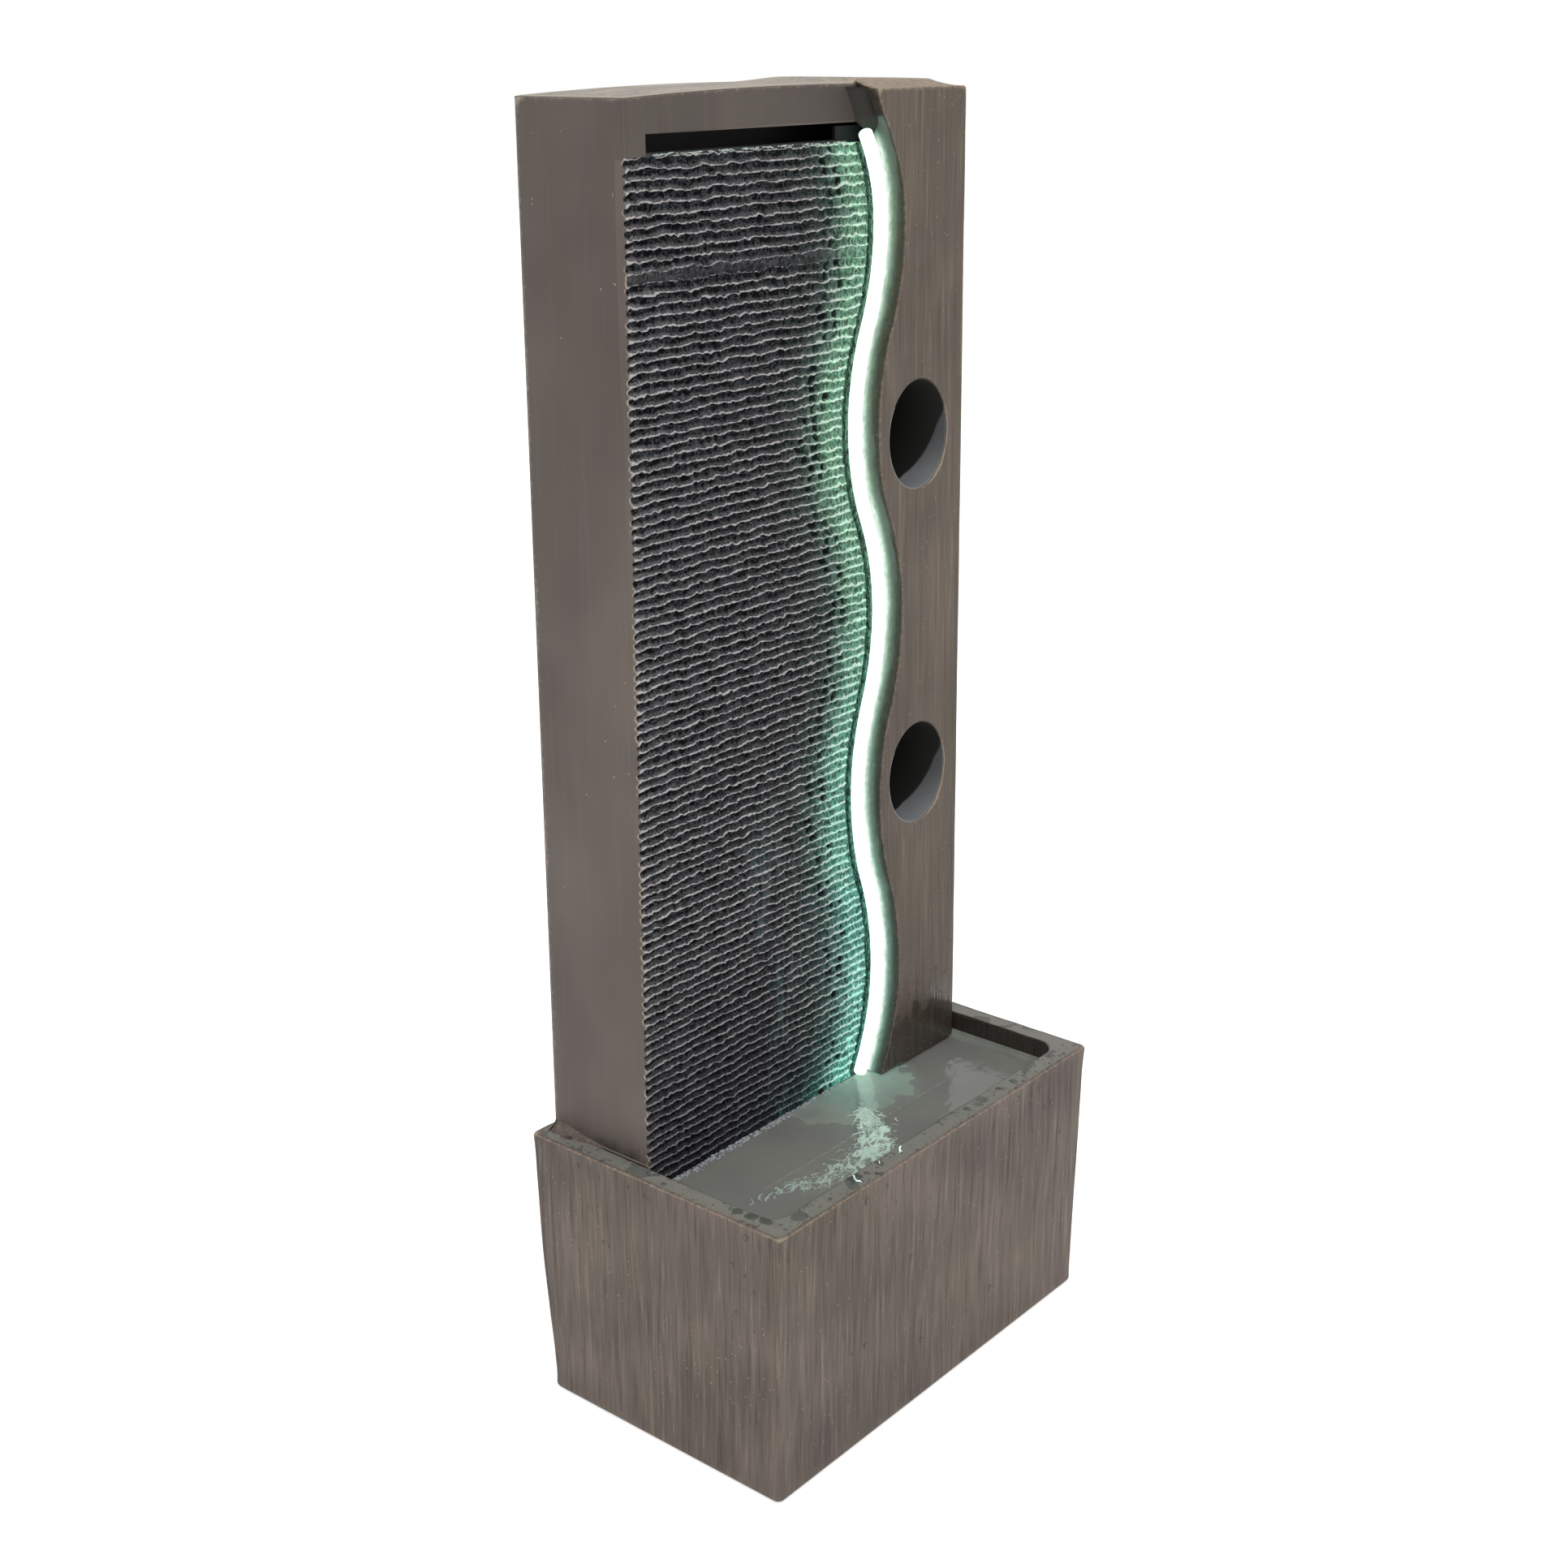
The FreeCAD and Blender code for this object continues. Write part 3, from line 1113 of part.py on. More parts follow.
def driver_box():
    """The potted light driver with ears and three cable entries below."""
    x0 = driver_wall_x()
    x1 = x0 + DRIVER_THICK
    z1 = DRIVER_Z0 + DRIVER_HEIGHT
    body = block(x0, x1, DRIVER_Y0, DRIVER_Y1, DRIVER_Z0, z1)
    body = body.makeFillet(DRIVER_ROUND, edges_along(body, Z_AXIS, lambda p: p.x > x0 + PAST))
    ear = DRIVER_EAR_HALF
    ears = block(
        x0, x0 + DRIVER_EAR_THICK, DRIVER_Y - ear, DRIVER_Y + ear, DRIVER_Z0 - DRIVER_EAR, z1 + DRIVER_EAR)
    parts = [body, ears]
    cuts = []
    for y, radius in zip(entry_depths(), (LEAD_R, LEAD_R, LED_LEAD_R)):
        start = V(entry_x(), y, DRIVER_Z0 - ENTRY_DROP)
        parts.append(rod(ENTRY_R, start, ENTRY_DROP + PAST, Z_AXIS))
        cuts.append(rod(radius + SCREW_FIT, start - V(0, 0, PAST), ENTRY_DROP + ENTRY_DEPTH + PAST, Z_AXIS))
    for z in driver_screw_heights():
        cuts.append(rod(SCREW_R + SIDE_GAP, V(x0 - PAST, DRIVER_Y, z), DRIVER_EAR_THICK + 2 * PAST, X_AXIS))
    return join(parts).cut(cuts)


def entry_depths():
    """Depths of the driver's three cable entries: supply, pump, light."""
    return (DRIVER_Y - ENTRY_STEP, DRIVER_Y, DRIVER_Y + ENTRY_STEP)


def entry_x():
    """How far across the driver's cable entries sit."""
    return driver_wall_x() + ENTRY_FROM_WALL


def led_lead_points():
    """Corner points of the light's lead."""
    y = entry_depths()[2]
    x = wave_x(LED_LEAD_Z, 0.0)
    run_z = DRIVER_Z0 - LEAD_RUN_DROP
    return [
        V(x, PANEL_Y + FLUTE_R, LED_LEAD_Z),
        V(x, y, LED_LEAD_Z),
        V(x, y, run_z),
        V(entry_x(), y, run_z),
        V(entry_x(), y, DRIVER_Z0 + LEAD_PUSH_IN),
    ]


def pump_lead_points():
    """Corner points of the pump's lead."""
    y = entry_depths()[1]
    x = entry_x() + PUMP_LEAD_ASIDE
    return [
        V(x, y, PUMP_Z1 - ENTRY_DEPTH),
        V(x, y, DRIVER_Z0 - PUMP_LEAD_TURN),
        V(entry_x(), y, DRIVER_Z0 - LEAD_RUN_DROP),
        V(entry_x(), y, DRIVER_Z0 + LEAD_PUSH_IN),
    ]


def supply_lead_points():
    """Corner points of the inner supply lead, from the inlet bush to the driver."""
    y = entry_depths()[0]
    return [
        V(GLAND_X, TOWER_BACK_Y - GLAND_LENGTH / 2, GLAND_Z),
        V(GLAND_X, y, GLAND_Z),
        V(GLAND_X, y, DRIVER_Z0 - SUPPLY_TURN_LOW),
        V(entry_x(), y, DRIVER_Z0 - SUPPLY_TURN_HIGH),
        V(entry_x(), y, DRIVER_Z0 + LEAD_PUSH_IN),
    ]


def led_lead():
    """The light's lead."""
    return bent_rod(LED_LEAD_R, led_lead_points(), LED_LEAD_BEND)


def pump_lead():
    """The pump's lead."""
    return bent_rod(LEAD_R, pump_lead_points(), PUMP_LEAD_BEND)


def supply_lead():
    """The inner supply lead."""
    return bent_rod(LEAD_R, supply_lead_points(), SUPPLY_LEAD_BEND)


PIECES = {
    "basin_shell": basin_shell,
    "tray_ledge": tray_ledge,
    "drain_bung": drain_bung,
    "catch_tray": catch_tray,
    "tower_shell": tower_shell,
    "cascade_panel": cascade_panel,
    "wave_plank": wave_plank,
    "port_liners": port_liners,
    "back_panel": back_panel,
    "access_door": access_door,
    "door_seal": door_seal,
    "cable_gland": cable_gland,
    "gland_nut": gland_nut,
    "back_screws": back_screws,
    "plank_screws": plank_screws,
    "tower_bolts": tower_bolts,
    "spill_trough": spill_trough,
    "feed_tee": feed_tee,
    "feed_nut": feed_nut,
    "spreader_bar": spreader_bar,
    "riser_hose": riser_hose,
    "hose_clamps": hose_clamps,
    "pump_body": pump_body,
    "pump_outlet": pump_outlet,
    "pump_cover": pump_cover,
    "impeller": impeller,
    "impeller_shaft": impeller_shaft,
    "flow_dial": flow_dial,
    "suction_feet": suction_feet,
    "led_tube": led_tube,
    "led_end_caps": led_end_caps,
    "led_lead": led_lead,
    "driver_box": driver_box,
    "driver_screws": driver_screws,
    "pump_lead": pump_lead,
    "supply_lead": supply_lead,
}

os.makedirs("parts", exist_ok=True)
for name, build in PIECES.items():
    shape = build()
    shape.exportStep(os.path.join("parts", name + ".step"))
    print(name, len(shape.Solids), "solids", shape.isValid(), round(shape.Volume / 1000.0, 1), "cm3")
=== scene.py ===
"""Looks of a free-standing fountain: brushed resin basin, fluted cascade, wavy light.

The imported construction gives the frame. Visible resin pieces are rebuilt here as uneven,
worn surfaces, and water, foam and drops are added. Sizes inside the classes are in
millimetres and turn into metres when a mesh is made.
"""

import logging
from dataclasses import dataclass
from enum import Enum

import bpy
import numpy as np
from mathutils import Matrix

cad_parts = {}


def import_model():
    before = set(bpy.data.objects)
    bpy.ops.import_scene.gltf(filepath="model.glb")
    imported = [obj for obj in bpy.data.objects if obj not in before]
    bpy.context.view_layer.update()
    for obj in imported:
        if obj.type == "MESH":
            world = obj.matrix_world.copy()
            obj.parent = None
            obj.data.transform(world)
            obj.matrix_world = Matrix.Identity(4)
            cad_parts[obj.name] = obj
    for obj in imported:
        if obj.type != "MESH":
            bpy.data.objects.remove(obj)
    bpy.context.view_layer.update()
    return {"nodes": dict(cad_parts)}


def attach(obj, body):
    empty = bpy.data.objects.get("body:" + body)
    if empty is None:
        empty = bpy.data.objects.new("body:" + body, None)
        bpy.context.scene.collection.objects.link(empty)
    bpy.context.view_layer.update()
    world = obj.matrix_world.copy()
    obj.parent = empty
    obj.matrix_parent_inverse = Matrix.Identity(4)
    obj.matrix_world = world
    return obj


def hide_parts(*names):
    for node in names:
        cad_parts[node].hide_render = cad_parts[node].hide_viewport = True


Array = np.ndarray
Values = float | np.ndarray
Colour = tuple[float, float, float, float]
Socket = bpy.types.NodeSocket
Sockets = bpy.types.bpy_prop_collection
Input = bpy.types.NodeSocket | float | tuple
LOG = logging.getLogger("fountain")
MM = 0.001
ROOT = "fountain"
UP = np.array([0.0, 0.0, 1.0])
FRONT = np.array([0.0, -1.0, 0.0])
LEFT = np.array([-1.0, 0.0, 0.0])
WHITE = (1.0, 1.0, 1.0, 1.0)

# Linear tones of the light: thrown by the tube, high up, low down, near it, and in foam
GLOW_TONE = (0.42, 0.90, 0.68, 1.0)
WARM_TONE = (0.38, 0.90, 0.54, 1.0)
COOL_TONE = (0.24, 0.90, 0.68, 1.0)
PALE_TONE = (0.84, 1.00, 0.88, 1.0)
FOAM_TONE = (0.74, 0.98, 0.86, 1.0)


# Uneven surfaces


@dataclass(frozen=True)
class Noise:
    """Smooth seeded value noise on a plane."""

    seed: int

    def _corner(self, column: Array, row: Array) -> Array:
        """Returns one repeatable value from -1 to 1 for each whole-number corner.

        Args:
            column: whole numbers across.
            row: whole numbers up.
        Returns:
            The values.
        """
        mixed = (column * 374761393 + row * 668265263 + self.seed * 2246822519) & 0xFFFFFFFF
        mixed = ((mixed ^ (mixed >> 13)) * 1274126177) & 0xFFFFFFFF
        return ((mixed ^ (mixed >> 16)) & 0xFFFF) / 32767.5 - 1.0

    def at(self, x: Array, y: Array) -> Array:
        """Reads the noise.

        Args:
            x: first coordinate, one unit per bump.
            y: second coordinate, broadcast against the first.
        Returns:
            Values from -1 to 1, blended between the four nearest corners.
        """
        x, y = np.broadcast_arrays(np.asarray(x, float), np.asarray(y, float))
        column = np.floor(x).astype(np.int64)
        row = np.floor(y).astype(np.int64)
        across = x - column
        along = y - row
        across = across * across * (3.0 - 2.0 * across)
        along = along * along * (3.0 - 2.0 * along)
        low = self._corner(column, row) * (1 - across) + self._corner(column + 1, row) * across
        high = self._corner(column, row + 1) * (1 - across) + self._corner(column + 1, row + 1) * across
        return low * (1 - along) + high * along

    def layers(self, x: Array, y: Array, count: int, gain: float = 0.5) -> Array:
        """Sums several scales of the noise.

        Args:
            x: first coordinate.
            y: second coordinate.
            count: how many scales, each twice as fine as the last.
            gain: strength of each scale against the one before.
        Returns:
            Values from -1 to 1.
        """
        total = 0.0
        weight = 1.0
        whole = 0.0
        for _ in range(count):
            total = total + weight * self.at(x, y)
            whole += weight
            weight *= gain
            x = np.asarray(x) * 2.03 + 17.1
            y = np.asarray(y) * 2.03 + 5.3
        return total / whole

    def ridges(self, x: Array, y: Array, count: int, sharpness: float = 4.0) -> Array:
        """Draws thin wandering lines.

        Formula: 1 where the layered noise crosses zero, falling evenly to 0 beside it.
        Args:
            x: first coordinate.
            y: second coordinate.
            count: how many scales of noise.
            sharpness: how quickly a line fades sideways.
        Returns:
            Values from 0 to 1.
        """
        return np.clip(1.0 - sharpness * np.abs(self.layers(x, y, count)), 0.0, 1.0)


@dataclass(frozen=True)
class Grain:
    """One named unevenness: noise with a seed, two lengths, a count of scales and a size."""

    seed: int
    across: float
    up: float
    scales: int = 1
    size: float = 1.0

    def at(self, x: Values, y: Values) -> Array:
        """Returns the unevenness at places, from minus size to size."""
        return self.size * Noise(self.seed).layers(x / self.across, y / self.up, self.scales)


def smooth_step(low: Values, high: Values, value: Values) -> Array:
    """Returns 0 below low, 1 above high and an S-shaped rise between."""
    part = np.clip((np.asarray(value, float) - low) / (high - low), 0.0, 1.0)
    return part * part * (3.0 - 2.0 * part)


@dataclass(frozen=True)
class Strokes:
    """Upright brush strokes dragged through soft resin."""

    seed: int
    pitch: float = 2.1
    length: float = 55.0
    depth: float = 0.55
    lean: float = 0.05
    drift: float = 1.6
    fine_pitch: float = 0.55
    fine_length: float = 0.7
    fine_share: float = 0.35
    patchy: float = 0.38

    def depth_at(self, along: Array, height: Array) -> Array:
        """Reads how deep the strokes cut.

        Formula: the place along the wall, shifted by a slow lean, picks a groove from
        noise that is stretched tall; a second, wider noise makes some patches deeper.
        Args:
            along: distance along the wall.
            height: distance above the floor.
        Returns:
            Depth, 0 or more.
        """
        drift = Grain(self.seed, 40.0, 90.0, 1, self.drift)
        place = along + self.lean * height + drift.at(along, height)
        broad = Grain(self.seed, self.pitch, self.length).at(place, height)
        fine = Grain(self.seed + 7, self.fine_pitch * self.pitch, self.fine_length * self.length)
        mixed = (1 - self.fine_share) * broad + self.fine_share * fine.at(place, height)
        patch = 1 - self.patchy + Grain(self.seed + 13, 60.0, 80.0, 2, self.patchy).at(along, height)
        return self.depth * patch * (0.5 - 0.5 * mixed)


# Mesh making


class Shell:
    """Collects the points, faces and marks of one closed mesh."""

    def __init__(self) -> None:
        """Starts an empty mesh."""
        self._points = []
        self._marks = []
        self._faces = []
        self.count = 0

    def add(self, points: Array, **marks: Values) -> Array:
        """Adds points.

        Args:
            points: array whose last axis is x, y, z in millimetres.
            marks: named values, one per point, kept as mesh attributes.
        Returns:
            The new points' numbers, in the shape of the array without its last axis.
        """
        points = np.asarray(points, float)
        shape = points.shape[:-1]
        flat = points.reshape(-1, 3)
        self._points.append(flat)
        self._marks.append({
            name: np.broadcast_to(value, shape).reshape(-1) for name, value in marks.items()})
        numbers = np.arange(self.count, self.count + len(flat)).reshape(shape)
        self.count += len(flat)
        return numbers

    def faces(self, corners: Array) -> None:
        """Adds faces given as an array whose last axis lists three or four corners."""
        corners = np.asarray(corners)
        self._faces.append(corners.reshape(-1, corners.shape[-1]))

    def skin(
            self, grid: Array, wrap: bool = False, keep: Array | None = None,
            turned: bool = False) -> None:
        """Fills a grid of points with four-sided faces.

        Args:
            grid: point numbers, rows first.
            wrap: joins the last column to the first.
            keep: true for each face that is made, or None for all.
            turned: faces look the other way.
        """
        right = np.roll(grid, -1, axis=1) if wrap else grid[:, 1:]
        left = grid if wrap else grid[:, :-1]
        quads = np.stack([left[:-1], right[:-1], right[1:], left[1:]], axis=-1)
        if turned:
            quads = quads[..., ::-1]
        self.faces(quads if keep is None else quads[keep])

    def bridge(self, outer: Array, inner: Array, wrap: bool = True) -> None:
        """Joins two equally long loops, with the inner one on the left of the outer one."""
        self.skin(np.stack([outer, inner]), wrap=wrap)

    def fan(self, loop: Array, centre: int, turned: bool = False) -> None:
        """Closes a loop with triangles that meet in one point.

        Args:
            loop: point numbers in order.
            centre: the middle point's number.
            turned: faces look the other way.
        """
        following = np.roll(loop, -1)
        order = [loop, following, np.full_like(loop, centre)]
        if turned:
            order = [following, loop, np.full_like(loop, centre)]
        self.faces(np.stack(order, axis=-1))

    def polygon(self, loop: Array, turned: bool = False) -> None:
        """Closes a flat convex loop with triangles from its first point.

        Args:
            loop: point numbers in order.
            turned: the faces look the other way.
        """
        first = np.full(len(loop) - 2, loop[0])
        order = [first, loop[1:-1], loop[2:]]
        if turned:
            order = [first, loop[2:], loop[1:-1]]
        self.faces(np.stack(order, axis=-1))

    def rods(self, grid: Array, first: Array, last: Array, turned: bool = False) -> None:
        """Skins one or many stacks of closed rings and closes each in a point at both ends.

        Args:
            grid: point numbers, with the rings and the places round them on the last two axes.
            first: the number of the point that closes each first ring.
            last: the number of the point that closes each last ring.
            turned: faces look the other way.
        """
        near, far = grid[..., 0, :], grid[..., -1, :]
        right = np.roll(grid, -1, axis=-1)
        sides = [grid[..., :-1, :], right[..., :-1, :], right[..., 1:, :], grid[..., 1:, :]]
        foot = [right[..., 0, :], near, np.broadcast_to(np.asarray(first)[..., None], near.shape)]
        head = [far, right[..., -1, :], np.broadcast_to(np.asarray(last)[..., None], far.shape)]
        for corners in (sides, foot, head):
            self.faces(np.stack(corners[::-1] if turned else corners, axis=-1))

    def lay(self, loop: Array, places: list, **marks: Values) -> Array:
        """Adds loops one after another, each joined to the one before.

        Args:
            loop: point numbers of the first loop.
            places: the places of each new loop, in the same order.
            marks: named values for the new points.
        Returns:
            The point numbers of the last loop.
        """
        for place in places:
            ring = self.add(place, **marks)
            self.bridge(loop, ring)
            loop = ring
        return loop

    def build(self, name: str, finish: "Finish", sharp: float = 48.0) -> bpy.types.Object:
        """Makes the object.

        Args:
            name: the piece's name.
            finish: the Finish it is dressed in.
            sharp: edges that bend more than this many degrees stay crisp.
        Returns:
            The new object, linked to the scene.
        """
        points = np.concatenate(self._points)
        used = np.zeros(len(points), bool)
        for faces in self._faces:
            used[faces.reshape(-1)] = True
        renumber = np.cumsum(used) - 1
        corners = np.concatenate([renumber[faces].reshape(-1) for faces in self._faces])
        sizes = np.concatenate([np.full(len(faces), faces.shape[1]) for faces in self._faces])
        mesh = bpy.data.meshes.new(name)
        kept = points[used] * MM
        mesh.vertices.add(len(kept))
        mesh.vertices.foreach_set("co", kept.astype(np.float32).reshape(-1))
        mesh.loops.add(len(corners))
        mesh.loops.foreach_set("vertex_index", corners.astype(np.int32))
        mesh.polygons.add(len(sizes))
        mesh.polygons.foreach_set("loop_start", (np.cumsum(sizes) - sizes).astype(np.int32))
        mesh.polygons.foreach_set("use_smooth", np.ones(len(sizes), bool))
        mesh.update(calc_edges=True)
        for mark in sorted({key for marks in self._marks for key in marks}):
            values = [
                marks.get(mark, np.zeros(len(part))) for marks, part in zip(self._marks, self._points)
            ]
            layer = mesh.attributes.new(mark, "FLOAT", "POINT")
            layer.data.foreach_set("value", np.concatenate(values)[used].astype(np.float32))
        mesh.set_sharp_from_angle(angle=np.radians(sharp))
        if self._volume() < 0:
            mesh.flip_normals()
        mesh.materials.append(finish.material())
        piece = bpy.data.objects.new(name, mesh)
        bpy.context.scene.collection.objects.link(piece)
        LOG.info("%s: %d faces, %d open edges", name, len(sizes), self._open_edges())
        return piece

    def _triangles(self) -> Array:
        """Returns all faces as triangles of the original point numbers.

        Returns:
            Three point numbers to a row.
        """
        parts = []
        for faces in self._faces:
            parts.append(faces[:, :3])
            if faces.shape[1] == 4:
                parts.append(faces[:, [0, 2, 3]])
        return np.concatenate(parts)

    def _volume(self) -> float:
        """Returns six times the signed volume, to tell outward faces from inward ones.

        Returns:
            The value, above 0 where faces look outward.
        """
        points = np.concatenate(self._points)
        a, b, c = (points[corner] for corner in self._triangles().T)
        return float(np.sum(a * np.cross(b, c)))

    def _open_edges(self) -> int:
        """Returns how many edges don't belong to exactly two faces.

        Returns:
            The count.
        """
        edges = []
        for faces in self._faces:
            edges.append(np.stack([faces, np.roll(faces, -1, axis=1)], axis=-1).reshape(-1, 2))
        edges = np.sort(np.concatenate(edges), axis=1)
        keys = edges[:, 0] * self.count + edges[:, 1]
        _, counts = np.unique(keys, return_counts=True)
        return int(np.sum(counts != 2))


@dataclass(frozen=True)
class Ring:
    """A rounded rectangle seen from above, with fixed point counts so that rings stack."""

    front: int
    side: int
    corner: int

    @property
    def rear_start(self) -> int:
        """The number of the first point of the rear side."""
        return self.front + 2 * self.corner + self.side

    def path(
            self, x0: Values, x1: Values, y0: Values, y1: Values, front_radius: Values,
            rear_radius: Values) -> tuple[Array, Array]:
        """Walks round the rectangle, front side first, turning left.

        Formula: straight sides are even divisions, corners are quarter circles.
        Args:
            x0: left side, a number or one value per ring, as are all that follow.
            x1: right side.
            y0: front side.
            y1: rear side.
            front_radius: radius of the two front corners.
            rear_radius: radius of the two rear corners.
        Returns:
            Points and outward directions, both with x and y on the last axis.
        """
        given = (x0, x1, y0, y1, front_radius, rear_radius)
        given = np.broadcast_arrays(*[np.asarray(value, float) for value in given])
        x0, x1, y0, y1, near, far = [np.atleast_1d(value)[:, None] for value in given]
        part = np.arange(self.front) / self.front
        step = np.arange(self.side) / self.side
        turn = np.arange(self.corner) / self.corner * np.pi / 2
        flat = np.zeros_like(x0)
        pieces = [
            (x0 + near + (x1 - x0 - 2 * near) * part, y0 + 0 * part, 0 * part, -1 + 0 * part),
            self._arc(x1 - near, y0 + near, near, turn - np.pi / 2),
            (x1 + 0 * step, y0 + near + (y1 - y0 - near - far) * step, 1 + 0 * step, 0 * step),
            self._arc(x1 - far, y1 - far, far, turn),
            (x1 - far - (x1 - x0 - 2 * far) * part, y1 + 0 * part, 0 * part, 1 + 0 * part),
            self._arc(x0 + far, y1 - far, far, turn + np.pi / 2),
            (x0 + 0 * step, y1 - far - (y1 - y0 - near - far) * step, -1 + 0 * step, 0 * step),
            self._arc(x0 + near, y0 + near, near, turn + np.pi),
        ]
        columns = [
            np.concatenate([piece[axis] + flat for piece in pieces], axis=1) for axis in range(4)]
        return np.stack(columns[:2], axis=-1), np.stack(columns[2:], axis=-1)

    @staticmethod
    def _arc(x: Array, y: Array, radius: Array, angles: Array) -> tuple:
        """Returns a corner's x, y and outward direction."""
        return x + radius * np.cos(angles), y + radius * np.sin(angles), np.cos(angles), np.sin(angles)

    def cap(self, shell: Shell, loop: Array, turned: bool = False) -> None:
        """Closes a ring of points, front side joined straight to rear side.

        Args:
            shell: the Shell that gets the faces.
            loop: the ring's point numbers.
            turned: faces look down instead of up.
        """
        rear = self.rear_start
        near = loop[: self.front + 1]
        far = loop[rear : rear + self.front + 1][::-1]
        shell.skin(np.stack([near, far]), turned=turned)
        shell.polygon(loop[self.front : rear + 1], turned)
        shell.polygon(np.append(loop[rear + self.front :], loop[0]), turned)


@dataclass(frozen=True)
class Window:
    """A block of faces taken out of a grid so that a round opening can be set in."""

    row0: int
    row1: int
    column0: int
    column1: int

    def clear(self, keep: Array) -> None:
        """Marks the block's faces as not made."""
        keep[self.row0 : self.row1, self.column0 : self.column1] = False

    def border(self, grid: Array) -> Array:
        """Returns the values round the block, turning left as seen from outside.

        Args:
            grid: values for a whole grid.
        Returns:
            The values in order.
        """
        r0, r1, c0, c1 = self.row0, self.row1, self.column0, self.column1
        return np.concatenate([
            grid[r0, c0:c1], grid[r0:r1, c1],
            grid[r1, c0 + 1 : c1 + 1][::-1], grid[r0 + 1 : r1 + 1, c0][::-1]])


def lay_rings(
        shell: Shell, border: Array, start: Array, target: Array, count: int, **marks: Values) -> Array:
    """Fills the space between a border and a smaller loop.

    Formula: each ring is a straight blend from the border's points to the target's.
    Args:
        shell: the Shell that gets the points and faces.
        border: point numbers of the border.
        start: the border's places.
        target: the smaller loop's places, in the same order.
        count: how many rings, the target included.
        marks: named values for the new points.
    Returns:
        The point numbers of the last ring.
    """
    shares = np.linspace(0.0, 1.0, count + 1)[1:]
    return shell.lay(border, [start + (target - start) * share for share in shares], **marks)


# Shader groups and finishes


class Tree:
    """Adds nodes to a node tree and links them, to keep the recipes short."""

    def __init__(self, tree: bpy.types.NodeTree) -> None:
        """Keeps the node tree that the nodes are added to."""
        self.tree = tree

    def node(self, kind: str, inputs: dict | None = None, **settings: object) -> bpy.types.Node:
        """Adds one node.

        Args:
            kind: the node's type name without the ShaderNode prefix.
            inputs: values or output sockets by input name or number.
            settings: properties set on the node.
        Returns:
            The node.
        """
        made = self.tree.nodes.new(kind if kind.startswith("NodeGroup") else "ShaderNode" + kind)
        for name, value in settings.items():
            setattr(made, name, value)
        for name, value in (inputs or {}).items():
            self.put(made.inputs[name], value)
        return made

    def put(self, socket: Socket, value: Input) -> None:
        """Links an output to a socket or sets the socket's own value.

        Args:
            socket: the socket to fill.
            value: an output, a number or a colour.
        """
        if isinstance(value, bpy.types.NodeSocket):
            self.tree.links.new(value, socket)
        else:
            socket.default_value = value

    def math(self, operation: str, first: Input, second: Input = 0.0, clamp: bool = False) -> Socket:
        """Returns the output of a Math node."""
        return self.node("Math", {0: first, 1: second}, operation=operation, use_clamp=clamp).outputs[0]

    def plus(self, first: Input, second: Input, clamp: bool = False) -> Socket:
        """Returns a sum, kept from 0 to 1 where clamp is true."""
        return self.math("ADD", first, second, clamp)

    def minus(self, first: Input, second: Input, clamp: bool = False) -> Socket:
        """Returns a difference, kept from 0 to 1 where clamp is true."""
        return self.math("SUBTRACT", first, second, clamp)

    def times(self, first: Input, second: Input, clamp: bool = False) -> Socket:
        """Returns a product, kept from 0 to 1 where clamp is true."""
        return self.math("MULTIPLY", first, second, clamp)

    def mix(self, share: Input, first: Input, second: Input) -> Socket:
        """Returns a blend of two colours."""
        made = self.node("Mix", {0: share, 6: first, 7: second}, data_type="RGBA")
        return made.outputs[2]

    def ramp(self, value: Socket, low: float, high: float) -> Socket:
        """Returns value stretched so that low gives 0 and high gives 1, with soft ends."""
        inputs = {"Value": value, "From Min": low, "From Max": high}
        return self.node("MapRange", inputs, interpolation_type="SMOOTHSTEP").outputs["Result"]

    def noise(self, vector: Socket, scale: float, detail: float = 3.0, rough: float = 0.55) -> Socket:
        """Returns a noise value near 0.5."""
        inputs = {"Vector": vector, "Scale": scale, "Detail": detail, "Roughness": rough}
        return self.node("TexNoise", inputs).outputs["Fac"]

    def stretched(self, vector: Socket, scale: tuple[float, float, float]) -> Socket:
        """Returns coordinates scaled differently along each axis."""
        return self.node("Mapping", {"Vector": vector, "Scale": scale}).outputs["Vector"]

    def mark(self, name: str) -> Socket:
        """Returns a mesh attribute's value."""
        return self.node("Attribute", attribute_name=name).outputs["Fac"]


